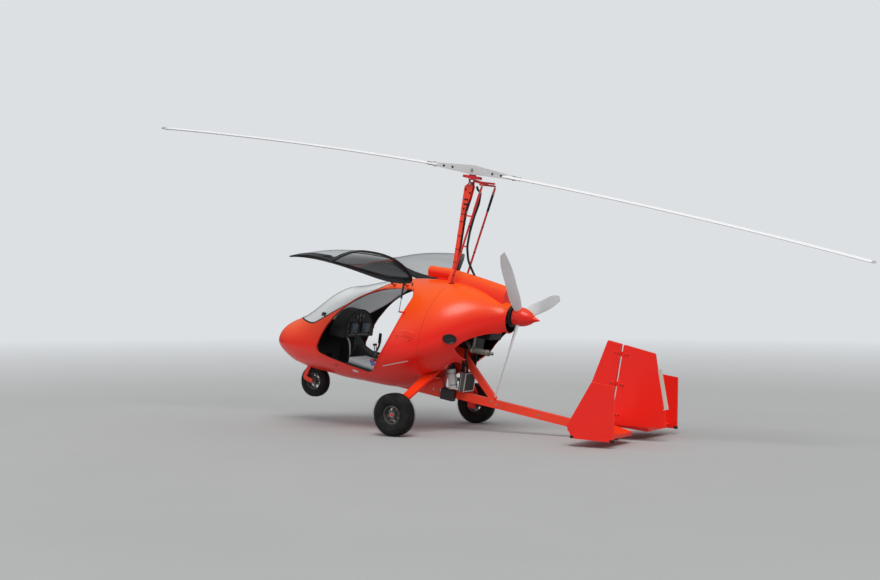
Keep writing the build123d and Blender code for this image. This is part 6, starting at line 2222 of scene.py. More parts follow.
class Glazing:
    """The door openings' lips and seals and the windscreen's seal."""

    # The sill's height, three points of the pillar and the slope of the roof's edge, in millimetres
    SCREEN_SILL = 636.0
    PILLAR = ((-1470.0, 636.0), (-1098.0, 893.0), (-640.0, 1236.0))
    ROOF_RUN = 75
    ROOF_RISE = 189

    def __init__(self) -> None:
        """Reads the outside of the body."""
        self.skin = Skin(["cabin_shell", "windscreen", "engine_cowl"])

    def build(self) -> None:
        """Builds the trims of both openings and of the screen."""
        for side, way in SIDES:
            self.opening(side, way)
        self.screen()
        LOG.info("glazing: opening lips, seals and screen seal")

    def opening(self, side: str, way: int) -> None:
        """Runs a raised lip and a rubber seal round one door opening.

        Args:
            side: The opening's side.
            way: -1 for port, 1 for starboard.
        """
        for name, spread, section, finish in (
            ("lip", 17.0, bar_section(14, 4.5), BODY_PAINT),
            ("seal", 9.5, bar_section(5.0, 2.2), SEAL_RED),
        ):
            runs: list[list[tuple[Vector, Vector]]] = [[]]
            for x, z in self.hinge_free(door_loop(spread)):
                hit = self.skin.beside(x, z, way) if x is not None else None
                if hit is None or (runs[-1] and (hit[0] - runs[-1][-1][0]).length > 0.06):
                    runs.append([])
                if hit is not None:
                    runs[-1].append(hit)
            for number, run in enumerate(r for r in runs if len(r) > 3):
                mesh = trim_form([h[0] for h in run], [h[1] for h in run], section)
                seat_piece(f"{side}_opening_{name}_{number}", mesh, finish)

    def hinge_free(self, loop: Sequence[Flat]) -> list[tuple[float | None, float | None]]:
        """The loop, started behind the hinges and without its points over them.

        Args:
            loop: The loop's points.

        Returns:
            The points in order, with pairs of None over the hinges.
        """
        start = next(i for i, (x, z) in enumerate(loop) if x < -620 and z > 1100)
        turned = [*loop[start:], *loop[:start]]
        return [(None, None) if x > -620 and x < -380 and z > 1080 else (x, z) for x, z in turned]

    def screen(self) -> None:
        """Runs the black seal round the windscreen."""
        port = self.half_screen(-1)
        starboard = self.half_screen(1)
        loop = [*port, *reversed(starboard)]
        spots = [h[0] for h in loop]
        normals = [h[1] for h in loop]
        section = [(-9, -2), (-9, 0.8), (-6, 2.6), (6, 2.6), (9, 0.8), (9, -2)]
        mesh = trim_form(spots, normals, section, closed=True)
        seat_piece("windscreen_seal", mesh, SEAL_BLACK)

    def half_screen(self, way: int) -> list[tuple[Vector, Vector]]:
        """The seal's path from the middle of the sill to the middle of the roof, on one side.

        Args:
            way: -1 for port, 1 for starboard.

        Returns:
            Each spot of the path with its normal.
        """
        found = []
        for k in range(0, 20):
            y = way * (4 + 13 * k)
            hit = self.skin.meet(mm(-2600, y, self.SCREEN_SILL), X_AXIS)
            if hit and hit[0].x < -1.62:
                found.append(hit)
        start = found[-1][0].x * 1000 + 12 if found else -1700
        sill = line_points((start, self.SCREEN_SILL), self.PILLAR[0], 16)
        pillar = arc_points(*self.PILLAR, 60)
        sill, pillar = rounded_corner(sill, pillar, 70)
        for x, z in [*sill, *pillar]:
            hit = self.skin.beside(x, z, way)
            if hit and (not found or (hit[0] - found[-1][0]).length > 0.004):
                found.append(hit)
        last = found[-1][0]
        roof_x, roof_z = self.PILLAR[-1]
        steps = 22
        for k in range(1, steps + 1):
            y = last.y * 1000 * (1 - k / steps) + way * 2
            x = last.x * 1000
            for _ in range(3):
                hit = self.skin.above(x, y)
                if hit:
                    x = roof_x + (hit[0].z * 1000 - roof_z) * self.ROOF_RUN / self.ROOF_RISE
            if hit:
                found.append(hit)
        return found


# Lining


class Lining:
    """The dark trim inside the cabin and the heat shield inside the cowl."""

    LIFT = 0.0012
    THICK = 0.0016

    def build(self) -> None:
        """Lines the inner faces of both shells."""
        for node, finish in (("cabin_shell", LINING_BLACK), ("engine_cowl", SHIELD_BLACK)):
            mesh = self.inner_skin(node)
            seat_piece(f"{node}_lining", mesh, finish)
        LOG.info("lining: cabin trim and engine heat shield")

    def inner_skin(self, node: str) -> bpy.types.Mesh:
        """A thin closed sheet laid on the faces of a shell that look inwards.

        Args:
            node: The shell's CAD node.

        Returns:
            The sheet, in the level drawing.
        """
        work = bmesh.new()
        work.from_mesh(frame["nodes"][node].data)
        bmesh.ops.transform(work, matrix=LEVELLED, verts=work.verts)
        bmesh.ops.remove_doubles(work, verts=work.verts, dist=1e-5)
        outer = [f for f in work.faces if not self.looks_inwards(f)]
        bmesh.ops.delete(work, geom=outer, context="FACES")
        loose = [v for v in work.verts if not v.link_faces]
        bmesh.ops.delete(work, geom=loose, context="VERTS")
        work.normal_update()
        work.verts.index_update()
        count = len(work.verts)
        near = [v.co + v.normal * self.LIFT for v in work.verts]
        far = [v.co + v.normal * (self.LIFT + self.THICK) for v in work.verts]
        rings = [tuple(v.index for v in f.verts) for f in work.faces]
        edges = [tuple(v.index for v in e.verts) for e in work.edges if len(e.link_faces) == 1]
        work.free()
        faces: list[tuple[int, ...]] = [tuple(reversed(ring)) for ring in rings]
        faces += [tuple(i + count for i in ring) for ring in rings]
        faces += [(i, j, j + count, i + count) for i, j in edges]
        return closed_mesh([*near, *far], faces)

    def looks_inwards(self, face: bmesh.types.BMFace) -> bool:
        """Whether a face looks at the middle of its own cross-section of the body.

        Args:
            face: The face.

        Returns:
            Whether it does.
        """
        middle = face.calc_center_median()
        axis = Vector((middle.x * 0.9 - 0.05, 0, self.axis_height(middle.x)))
        return face.normal.dot((axis - middle).normalized()) > 0.35

    def axis_height(self, x: float) -> float:
        """The height of the body's middle at a station, in metres.

        Args:
            x: The station, in metres.

        Returns:
            The height.
        """
        stations = ((-2.13, 0.334), (-1.52, 0.44), (-0.66, 0.66), (0.03, 0.85), (0.36, 0.97), (0.72, 1.10))
        for (a, low), (b, high) in zip(stations, stations[1:]):
            if x < b:
                return low + (high - low) * max(0.0, (x - a) / (b - a))
        return stations[-1][1]


# Body details


class BodyDetails:
    """Small pieces on the body, each placed where the photograph shows it and mirrored."""

    # Picture points
    LOUVRE_AT = (324.0, 314.0)
    LATCH_AT = (355.5, 371.0)
    SLOT_AT = (336.0, 365.0)
    SCOOP_AT = (449.5, 339.0)
    STEP_AT = (407.5, 334.0)
    SCREWS_AT = ((397.0, 336.0), (409.0, 340.6))
    SILL_ENDS = ((383.0, 366.0), (408.0, 361.0))

    # The scoop's half-axes, and each level's share of them and height, in metres
    SCOOP_HALF = (0.074, 0.050)
    SCOOP_LEVELS = (
        (1.0, -0.010),
        (1.0, 0.010),
        (0.95, 0.017),
        (0.86, 0.017),
        (0.80, 0.011),
        (0.66, 0.007),
        (0.3, 0.006),
    )

    def __init__(self) -> None:
        """Reads the outside of the body."""
        self.skin = Skin(["cabin_shell", "engine_cowl", "windscreen"])

    def both_sides(self, px: float, py: float) -> list[tuple[str, Vector, Vector]]:
        """The point under a picture point and its mirror image.

        Args:
            px: The picture point's distance from the left.
            py: Its distance from the top.

        Returns:
            The side, the spot and the normal, for both sides.
        """
        spot, _ = Sight.find(self.skin, px, py)
        found = []
        for side, way in SIDES:
            hit = self.skin.beside(spot.x * 1000, spot.z * 1000, way)
            if hit:
                found.append((side, *hit))
        return found

    def build(self) -> None:
        """Builds every small piece of the body."""
        self.vents()
        self.latches()
        self.scoops()
        self.steps()
        self.cowl_joints()
        self.pale_line()
        self.nose_lamp()
        LOG.info("body: vents, latches, scoops, steps, joints and lamp")

    def vents(self) -> None:
        """Adds the small dark louvre below the screen's lower corner."""
        for side, spot, normal in self.both_sides(*self.LOUVRE_AT):
            turn = frame_on(spot, normal, Vector((1, 0, -0.15)))
            plate = rounded_block(Vector((0, 0, 0.001)), (0.082, 0.040, 0.006), 0.0024)
            start = Vector((0, -0.014, 0.005))
            slats = stack_of_plates(5, 7.0, (64.0, 2.2, 6.0), start, Y_AXIS, SMOOTH_BLACK, False)
            whole = joined([plate, slats])
            whole.transform(turn)
            seat_piece(f"{side}_louvre", whole, SMOOTH_BLACK)

    def latches(self) -> None:
        """Adds the pale oval latch and the small dark slot on the lower body."""
        for side, spot, normal in self.both_sides(*self.LATCH_AT):
            turn = frame_on(spot, normal, X_AXIS)
            plate = self.oval(0.038, 0.020, 0.004)
            key = rounded_block(Vector((0, 0, 0.005)), (0.026, 0.006, 0.005), 0.0016)
            whole = joined([plate, key])
            whole.transform(turn)
            seat_piece(f"{side}_oval_latch", whole, TIE_WHITE)
        for side, spot, normal in self.both_sides(*self.SLOT_AT):
            turn = frame_on(spot, normal, X_AXIS)
            slot = joined([self.oval(0.020, 0.008, 0.003), self.oval(0.015, 0.005, 0.0042)])
            slot.transform(turn)
            seat_piece(f"{side}_body_slot", slot, SMOOTH_BLACK)

    def oval(self, long: float, wide: float, tall: float) -> bpy.types.Mesh:
        """A domed oval plate with half-axes along X and Y.

        Args:
            long: The half-axis along X.
            wide: The half-axis along Y.
            tall: The height of its flat part.

        Returns:
            The mesh.
        """
        levels = ((1.0, -0.6), (1.0, 0.45), (0.94, 0.85), (0.82, 1.0), (0.4, 1.08))
        return self.oval_levels((long, wide), [(share, tall * height) for share, height in levels], 40)

    def oval_levels(self, half: Flat, levels: Sequence[Flat], sides: int) -> bpy.types.Mesh:
        """A closed form of ovals on top of each other, in metres.

        Args:
            half: The half-axes along X and Y.
            levels: Each oval's share of them and its height.
            sides: How many points an oval has.

        Returns:
            The mesh.
        """
        turns = [math.tau * k / sides for k in range(sides)]
        points: list[Vector] = []
        for share, height in levels:
            long, wide = half[0] * share, half[1] * share
            points += [Vector((long * math.cos(angle), wide * math.sin(angle), height)) for angle in turns]
        return closed_mesh(points, loft_faces(len(levels), sides))

    def scoops(self) -> None:
        """Adds the black oval air scoop behind the door."""
        for side, spot, normal in self.both_sides(*self.SCOOP_AT):
            turn = frame_on(spot, normal, Vector((1, 0, -0.05)))
            whole = self.oval_levels(self.SCOOP_HALF, self.SCOOP_LEVELS, 44)
            whole.transform(turn)
            seat_piece(f"{side}_air_scoop", whole, SMOOTH_BLACK)

    def steps(self) -> None:
        """Adds the small ribbed step panel under the door's rear corner."""
        for side, spot, normal in self.both_sides(*self.STEP_AT):
            turn = frame_on(spot, normal, X_AXIS)
            plate = rounded_block(Vector((0, 0, 0.0005)), (0.150, 0.070, 0.007), 0.003)
            start = Vector((0, -0.024, 0.005))
            ribs = stack_of_plates(7, 8.0, (124.0, 2.0, 3.0), start, Y_AXIS, BODY_PAINT, False)
            whole = joined([plate, ribs])
            whole.transform(turn)
            seat_piece(f"{side}_step_panel", whole, BODY_PAINT)
            corners = [turn @ Vector((x, y, 0.004)) for x in (-0.066, 0.066) for y in (-0.027, 0.027)]
            screws = [(p, normal) for p in corners]
            seat_heads(f"{side}_step_screws", screws, Head.PAN, (4.0, 2.2), BOLT_STEEL)

    def cowl_joints(self) -> None:
        """Adds the joint line between cabin and cowl, and the screws beside it and along the cowl's edge."""
        cowl = Skin(["engine_cowl", "cabin_shell"])
        lip = [(25.0, 408.0), (63.0, 421.0), (169.0, 476.0), (243.0, 556.0), (338.0, 600.0), (335.0, 728.0)]
        arch = arc_points((335.0, 728.0), (452.0, 850.0), (622.0, 935.0), 24)
        for side, way in SIDES:
            joint = [(25.0, z) for z in range(415, 1300, 14)]
            spots, normals = cowl.track(joint, way)
            mesh = trim_form(spots, normals, [(-1.6, -1.5), (-1.6, 0.5), (1.6, 0.5), (1.6, -1.5)])
            seat_piece(f"{side}_cowl_joint", mesh, SEAL_RED)
            rows = [(44.0, z) for z in range(440, 1270, 92)] + [(8.0, z) for z in range(486, 1270, 184)]
            edge = [*lip[1:-1], *arch[::4]]
            rows += [(x - 12, z + 16) for x, z in edge]
            found = cowl.hits(rows, way)
            seat_heads(f"{side}_cowl_screws", found, Head.PAN, (4.4, 2.2), BODY_PAINT)
            extra = [self.skin.beside(*self.side_view(px, py), way) for px, py in self.SCREWS_AT]
            found = [hit for hit in extra if hit]
            seat_heads(f"{side}_body_screws", found, Head.SOCKET, (5.5, 3.0), BOLT_BLACK)

    def side_view(self, px: float, py: float) -> Flat:
        """The side-view place of the body's point under a picture point, in millimetres."""
        spot, _ = Sight.find(self.skin, px, py)
        return spot.x * 1000, spot.z * 1000

    def pale_line(self) -> None:
        """Adds the thin bare strip along the sill, below the door."""
        first, last = (self.side_view(px, py) for px, py in self.SILL_ENDS)
        for side, way in SIDES:
            spots, normals = self.skin.track(line_points(first, last, 16), way)
            mesh = trim_form(spots, normals, bar_section(9, 2.4))
            seat_piece(f"{side}_sill_strip", mesh, SILL_ALLOY)

    def nose_lamp(self) -> None:
        """Adds the small landing lamp in the nose."""
        hit = self.skin.meet(mm(-2600, 0, 420), X_AXIS)
        if hit is None:
            return
        spot, normal = hit
        ring = [(-6.0, 22.0), (3.0, 29.0), (6.0, 28.0), (6.0, 24.0), (0.0, 21.0), (-6.0, 21.0)]
        seat_piece("nose_lamp_ring", turned_form(ring, spot, normal, 40), SMOOTH_BLACK)
        lens = [(-5.0, 0.1), (-5.0, 22.0), (1.0, 22.0), (4.0, 15.0), (5.5, 6.0), (5.8, 0.1)]
        seat_piece("nose_lamp_lens", turned_form(lens, spot, normal, 40), LAMP_PALE)


# Cockpit


@dataclass(frozen=True)
class Dial:
    """A round instrument: its place across and up and its radius in millimetres, its needle in degrees."""

    y: float
    z: float
    radius: float
    needle: float


class Cockpit:
    """Instruments, displays and switches on the panel's face, and the grips."""

    FACE_X = -1146.0
    STICK_Y = 235.5

    # The metal hose as picture points, and its distance to starboard
    THROTTLE_AT = ((340.5, 332), (345, 334), (349, 340), (350.5, 347), (349.4, 361))
    THROTTLE_Y = -150.0
    DIALS = (
        Dial(-58, 772, 27, 40),
        Dial(0, 790, 27, 150),
        Dial(58, 772, 27, 220),
        Dial(-212, 680, 24, 75),
        Dial(212, 680, 24, 300),
        Dial(-212, 612, 24, 190),
        Dial(212, 612, 24, 20),
        Dial(0, 728, 22, 100),
    )

    def __init__(self) -> None:
        """Finds the panel's face."""
        self.skin = Skin(["instrument_pod"])

    def on_face(self, y: float, z: float) -> Vector:
        """The point of the panel's face at a place across and up."""
        hit = self.skin.meet(mm(-700, y, z), Vector((-1, 0, 0)))
        return hit[0] if hit else mm(self.FACE_X, y, z)

    def build(self) -> None:
        """Builds the panel's pieces and the controls' grips."""
        for number, dial in enumerate(self.DIALS):
            self.dial(number, dial)
        for number, y in enumerate((-112, 112)):
            self.display(number, y)
        self.switches()
        self.hood_edge()
        for side, way in SIDES:
            self.grip(side, way)
            self.pedals(side, way)
        self.throttle()
        self.levers()
        LOG.info("cockpit: %d dials, two displays, switches and grips", len(self.DIALS))

    def dial(self, number: int, dial: Dial) -> None:
        """Builds one dial: bezel, face, ticks and needle.

        Args:
            number: The dial's number, for its pieces' names.
            dial: Its place and sizes.
        """
        axis = X_AXIS
        seat = self.on_face(dial.y, dial.z)
        r = dial.radius
        bezel = [(-2.0, r - 3), (5.0, r - 3), (7.0, r - 1.5), (7.0, r + 1), (5.0, r + 3), (-2.0, r + 3)]
        seat_piece(f"dial_{number}_bezel", turned_form(bezel, seat, axis, 40), SMOOTH_BLACK)
        face = [(-1.0, 0.1), (-1.0, r - 2.5), (2.0, r - 2.5), (2.2, r * 0.5), (2.2, 0.1)]
        seat_piece(f"dial_{number}_face", turned_form(face, seat, axis, 40), DIAL_BLACK)
        bar = (r * 0.16, r * 0.035, 0.8)
        ticks = ring_of_bars(30, r * 0.76, bar, seat + axis * 0.0026, axis, DIAL_WHITE, clip=True)
        seat_piece(f"dial_{number}_ticks", ticks, DIAL_WHITE)
        hand = rounded_block(Vector((0, r * 0.00030, 0.0036)), (r * 0.00008, r * 0.00085, 0.0008), 0.0003)
        boss = [(1.8, 0.1), (1.8, r * 0.12), (5.0, r * 0.10), (5.2, 0.1)]
        hub = turned_form(boss, Vector(), Z_AXIS, 16)
        whole = joined([hand, hub])
        turn = aimed(axis) @ Matrix.Rotation(math.radians(dial.needle), 4, "Z")
        whole.transform(Matrix.Translation(seat) @ turn)
        seat_piece(f"dial_{number}_needle", whole, DIAL_AMBER)

    def display(self, number: int, y: float) -> None:
        """Builds one flat display with its keys.

        Args:
            number: The display's number, for its pieces' names.
            y: Its place across, in millimetres.
        """
        seat = self.on_face(y, 655)
        turn = frame_on(seat, X_AXIS, Y_AXIS)
        body = rounded_block(Vector((0, 0, 0.006)), (0.146, 0.112, 0.016), 0.004)
        body.transform(turn)
        seat_piece(f"display_{number}_body", body, GRAINED_BLACK)
        glass = joined(
            [
                rounded_block(Vector((0, 0.006, 0.0142)), (0.126, 0.084, 0.0024), 0.001),
                rounded_block(Vector((0, 0.006, 0.0150)), (0.120, 0.0012, 0.0012), 0.0004),
                rounded_block(Vector((-0.036, 0.006, 0.0150)), (0.0012, 0.070, 0.0012), 0.0004),
                rounded_block(Vector((0.036, 0.006, 0.0150)), (0.0012, 0.070, 0.0012), 0.0004),
            ]
        )
        glass.transform(turn)
        seat_piece(f"display_{number}_glass", glass, SCREEN_BLUE)
        places = (-0.05, -0.03, -0.01, 0.01, 0.03, 0.05)
        keys = [(turn @ Vector((x, -0.047, 0.014)), X_AXIS) for x in places]
        seat_heads(f"display_{number}_keys", keys, Head.STUD, (4.0, 2.0), DIAL_WHITE)

    def switches(self) -> None:
        """Adds the switches under the displays, the knobs between them and the panel's screws."""
        out = X_AXIS
        toggles = [(self.on_face(y, 576), out) for y in range(-165, 166, 30)]
        seat_heads("switch_nuts", toggles, Head.HEX, (5.5, 2.4), BOLT_STEEL)
        stick = [(0, 0.2), (0, 2.2), (16, 3.0), (17, 2.4), (17.4, 0.2)]
        levers = [turned_form(stick, spot, Vector((1, 0, 0.35)), 12) for spot, _ in toggles]
        seat_piece("switch_levers", joined(levers), BOLT_STEEL)
        places = ((262, 572), (262, 630), (150, 742), (30, 822))
        screws = [(self.on_face(way * y, z), out) for y, z in places for way in (-1, 1)]
        seat_heads("panel_screws", screws, Head.PAN, (4.4, 2.4), BOLT_BLACK)
        knobs = []
        knob = [(0, 0.2), (0, 9), (10, 8), (18, 7.4), (19, 6), (19, 0.2)]
        for y in (-28, 28):
            seat = self.on_face(y, 690)
            knobs.append(turned_form(knob, seat, out, 24))
            knobs.append(ring_of_bars(16, 8.6, (1.6, 1.2, 12.0), seat + out * 0.009, out, SMOOTH_BLACK))
        seat_piece("panel_knobs", joined(knobs), SMOOTH_BLACK)

    def hood_edge(self) -> None:
        """Adds the padded roll along the hood's rear edge."""
        arc = arc_points((-288, 640), (0, 847), (288, 640), 48)
        run = [mm(-1124, y, z) for y, z in arc]
        normals = [Vector((0, p.y, p.z - 0.40)).normalized() for p in run]
        roll = trim_form(run, normals, round_section(7.0, 6.0, 12))
        seat_piece("hood_roll", roll, HOSE_RUBBER)

    def grip(self, side: str, way: int) -> None:
        """Adds the ribs, the cap and the button of one stick's grip.

        Args:
            side: The stick's side.
            way: -1 for port, 1 for starboard.
        """
        top = mm(-990, way * self.STICK_Y, 585)
        axis = mm(-5, 0, 115).normalized()
        ring = [(-2.2, 16.0), (-1.2, 18.4), (1.2, 18.4), (2.2, 16.0)]
        ribs = [turned_form(ring, top - axis * (0.020 + 0.010 * k), axis, 28) for k in range(7)]
        seat_piece(f"{side}_grip_ribs", joined(ribs), GRAINED_BLACK)
        knob = [(8.0, 0.1), (8.0, 16.5), (14.0, 17.0), (20.0, 13.0), (23.0, 6.0), (23.5, 0.1)]
        seat_piece(f"{side}_grip_cap", turned_form(knob, top, axis, 28), SMOOTH_BLACK)
        place = top + axis * 0.018 + Vector((-0.012, 0, 0))
        button = [(place, Vector((-0.7, 0, 0.7)))]
        seat_heads(f"{side}_grip_button", button, Head.STUD, (4.5, 6.0), BUCKLE_RED)

    def pedals(self, side: str, way: int) -> None:
        """Adds the treads of one side's two pedals.

        Args:
            side: The pedals' side.
            way: -1 for port, 1 for starboard.
        """
        treads = []
        for pedal in (-1, 1):
            middle = way * 256 * 0.8 + pedal * 75
            for k in range(6):
                share = k / 5
                spot = mm(-1380 + 15 * share, middle, 238 + 74 * share)
                treads.append(rounded_block(spot, (0.008, 0.078, 0.006), 0.002))
        seat_piece(f"{side}_pedal_treads", joined(treads), HOSE_RUBBER)

    def throttle(self) -> None:
        """Adds the metal hose that curves down beside the port seat."""
        route = [on_plane(px, py, self.THROTTLE_Y) for px, py in self.THROTTLE_AT]
        tube = hose_form(smooth_path(route, 0.012), 0.009, 16)
        seat_piece("throttle_tube", tube, TANK_ALLOY)

    def levers(self) -> None:
        """Adds the two centre levers with their knobs and slots."""
        for number, (y, knob_finish) in enumerate(((-18, GRAINED_BLACK), (18, BUCKLE_RED))):
            hit = self.skin.above(-850, y)
            if hit is None:
                continue
            foot = hit[0]
            tip = foot + mm(-40, 0, 120)
            rod = hose_form([foot - mm(0, 0, 8), tip], 0.005, 14)
            seat_piece(f"lever_{number}", rod, BOLT_STEEL)
            ball = [(-14, 0.1), (-13, 8), (-6, 13), (2, 14), (9, 11), (13, 5), (14, 0.1)]
            knob = turned_form(ball, tip, mm(-40, 0, 120), 24)
            seat_piece(f"lever_{number}_knob", knob, knob_finish)
            slot = rounded_block(foot + mm(-10, 0, 1), (0.090, 0.016, 0.006), 0.0024)
            seat_piece(f"lever_{number}_slot", slot, SMOOTH_BLACK)


# Mast and rotor head


class Mast:
    """Bolts, bands and cables on the mast, and sleeves on the control rods."""

    # The mast's middle, the tie bands' heights and half-sizes, and how far their corners are cut
    MIDDLE_X = -43
    BANDS_Z = (1560, 1700, 1840, 1990, 2070)
    BAND_HALF = (24.6, 22.6)
    BAND_CUT = 4
    # The cheek bolts along and up, the cables' places across and radii, a control rod's two ends on the
    # starboard side, and the inner radius of what sits on it
    CHEEK_BOLTS = (
        (-34, 2128),
        (-10, 2128),
        (-34, 2176),
        (-10, 2176),
        (-34, 2226),
        (-10, 2226),
        (-46, 2330),
        (10, 2300),
    )
    CABLES = ((-15, 4.0), (-4, 3.0), (8, 3.0))
    ROD_TOP = (203, 140, 2381)
    ROD_FOOT = (6, 140, 1290)
    ROD_FIT = 11.1

    def build(self) -> None:
        """Builds what the mast and rods carry."""
        mast = Skin(["mast"])
        for face, way in FACES:
            found = mast.hits(self.CHEEK_BOLTS, way)
            seat_heads(f"mast_cheek_bolts_{face}", found, Head.HEX, (7.0, 6.5), BOLT_BLACK)
            pivot = mast.beside(-4, 2398, way)
            if pivot:
                name = f"mast_pivot_bolt_{face}"
                seat_heads(name, [pivot], Head.HEX, (10.5, 9.0), BOLT_STEEL)
        for number, z in enumerate(self.BANDS_Z):
            self.mast_band(number, z)
        for number, (y, radius) in enumerate(self.CABLES):
            route = [mm(-12, y, z) for z in (1440, 1600, 1800, 2000)]
            route += [mm(-8, y * 1.5, 2120), mm(14, y * 1.6, 2230)]
            cable = hose_form(smooth_path(route, 0.02), radius / 1000, 12)
            seat_piece(f"mast_cable_{number}", cable, HOSE_RUBBER)
        for side, way in SIDES:
            self.rod_dress(side, way)
        LOG.info("mast: cheek bolts, bands, cables and rod sleeves")

    def mast_band(self, number: int, z: float) -> None:
        """Adds one tie band round the mast.

        Args:
            number: The band's number, for its name.
            z: Its height in millimetres.
        """
        half_x, half_y = self.BAND_HALF
        cut = self.BAND_CUT
        fore, aft = self.MIDDLE_X - half_x, self.MIDDLE_X + half_x
        loop = [(fore, -half_y + cut), (fore + cut, -half_y), (aft - cut, -half_y), (aft, -half_y + cut)]
        loop += [(aft, half_y - cut), (aft - cut, half_y), (fore + cut, half_y), (fore, half_y - cut)]
        path = [mm(x, y, z) for x, y in loop]
        normals = [Vector((p.x - self.MIDDLE_X / 1000, p.y, 0)).normalized() for p in path]
        mesh = trim_form(path, normals, [(-3.2, -1.2), (-3.2, 1.2), (3.2, 1.2), (3.2, -1.2)], closed=True)
        seat_piece(f"mast_tie_{number}", mesh, SMOOTH_BLACK)

    def rod_dress(self, side: str, way: int) -> None:
        """Adds the upper sleeve, the lock nut and the bands of one control rod.

        Args:
            side: The rod's side.
            way: -1 for port, 1 for starboard.
        """
        top, foot = (mm(x, way * y, z) for x, y, z in (self.ROD_TOP, self.ROD_FOOT))
        axis = (foot - top).normalized()
        body = side_body("rod", side)
        fit = self.ROD_FIT
        sleeve = [(70.0, fit), (70.0, 12.6), (74.0, 13.2), (246.0, 13.2), (250.0, 12.6), (250.0, fit)]
        dark = HOSE_RUBBER if side == "right" else SHADED_FRAME_COAT
        seat_piece(f"{side}_rod_sleeve", turned_form(sleeve, top, axis, 28), dark, body)
        nut = band_profile(48.0, 14.0, fit, 16.0)
        seat_piece(f"{side}_rod_nut", turned_form(nut, top, axis, 6), BOLT_STEEL, body, sharp=20)
        long = (foot - top).length * 1000
        for number, start in enumerate((420.0, 700.0, 960.0)):
            if start < long - 60:
                band = band_profile(start, 9, fit, 12.4)
                seat_piece(f"{side}_rod_band_{number}", turned_form(band, top, axis, 28), SMOOTH_BLACK, body)


class RotorHead:
    """Bolts, gear teeth and the teeter hardware."""

    # The rotor's axis: where it passes the gear ring, and its lean aft in degrees
    GEAR_X = -4
    GEAR_Z = 2458.0
    LEAN = 1.0
    GEAR_TEETH = 84
    GEAR_BOLTS = 8
    GEAR_BOLT_RADIUS = 56
    # The hub's side bolts as picture points
    HUB_BOLTS = ((445.0, 168.4), (453.6, 170.3), (493.3, 177.5), (502.1, 178.6))
    # The blade roots' bolts, and the teeter bolt's place along and up, in millimetres
    ROOT_BOLTS_X = (-560, -520, -480, 480, 520, 560)
    ROOT_BOLTS_Y = (-16, 16)
    TEETER_AT = (-4, 2535)

    def build(self) -> None:
        """Builds what the rotor head carries."""
        hub = Skin(["hub_bar", "rotor_blades"])
        self.side_bolts(hub)
        self.root_bolts(hub)
        self.teeter()
        self.gear()
        LOG.info("rotor head: hub bolts, teeth and teeter bolt")

    def side_bolts(self, hub: Skin) -> None:
        """Adds the bolts on the hub's two sides.

        Args:
            hub: The surface of the hub bar and the blades.
        """
        places = [on_plane(px, py, 0).x * 1000 for px, py in self.HUB_BOLTS]
        for face, way in FACES:
            found = []
            for x in places:
                top = hub.above(x, 0)
                low = hub.meet(mm(x, 0, 2000), Z_AXIS)
                if top and low:
                    middle = (top[0].z + low[0].z) * 500
                    hit = hub.beside(x, middle, way)
                    if hit:
                        found.append(hit)
            seat_heads(f"hub_side_bolts_{face}", found, Head.HEX, (8.0, 7.5), BOLT_BLACK, Body.ROTOR)

    def gear(self) -> None:
        """Adds the gear ring's teeth, face ring, cover pan and bolts."""
        centre = mm(self.GEAR_X, 0, self.GEAR_Z)
        teeth = ring_of_bars(self.GEAR_TEETH, 94.5, (6.0, 3.6, 11.0), centre, self.axis(), BOLT_STEEL)
        seat_piece("gear_teeth", teeth, BOLT_STEEL, Body.ROTOR_SHAFT)
        ring = [(6.0, 40.0), (8.5, 40.0), (8.5, 70.0), (6.0, 72.0)]
        mesh = turned_form(ring, centre, self.axis(), 64)
        seat_piece("gear_face_ring", mesh, BOLT_STEEL, Body.ROTOR_SHAFT)
        pan = [(-7.0, 98.6), (-7.0, 101.6), (16.0, 101.6), (20.0, 97.0)]
        pan += [(20.0, 62.0), (17.0, 62.0), (17.0, 94.0), (13.0, 98.6)]
        mesh = turned_form(pan, centre, self.axis(), 72)
        seat_piece("gear_pan", mesh, SHADED_FRAME_COAT, Body.ROTOR_SHAFT)
        bolts = []
        radius = self.GEAR_BOLT_RADIUS
        for k in range(self.GEAR_BOLTS):
            angle = math.tau * k / self.GEAR_BOLTS
            x, y = self.GEAR_X + radius * math.cos(angle), radius * math.sin(angle)
            bolts.append((mm(x, y, self.GEAR_Z + 8.5), self.axis()))
        seat_heads("gear_bolts", bolts, Head.SOCKET, (4.5, 5.0), BOLT_BLACK, Body.ROTOR_SHAFT)

    def axis(self) -> Vector:
        """The rotor's axis in the level drawing."""
        lean = math.radians(self.LEAN)
        return Vector((math.sin(lean), 0, math.cos(lean)))

    def root_bolts(self, hub: Skin) -> None:
        """Adds the bolts through the blade roots, above and below.

        Args:
            hub: The surface of the hub bar and the blades.
        """
        spots = []
        for x in self.ROOT_BOLTS_X:
            for y in self.ROOT_BOLTS_Y:
                top = hub.above(x, y)
                low = hub.meet(mm(x, y, 2000), Z_AXIS)
                spots += [hit for hit in (top, low) if hit]
        seat_heads("blade_root_bolts", spots, Head.HEX, (7.0, 6.0), BOLT_BLACK, Body.ROTOR)

    def teeter(self) -> None:
        """Adds the teeter bolt's head and nut outside the hub bar."""
        hub = Skin(["hub_bar"])
        x, z = self.TEETER_AT
        for face, way in FACES:
            hit = hub.beside(x, z, way)
            spot = hit[0] if hit else mm(x, way * 32, z)
            bolt = [(spot, Vector((0, way, 0)))]
            seat_heads(f"teeter_bolt_{face}", bolt, Head.HEX, (12.5, 10.0), BOLT_STEEL, Body.ROTOR)


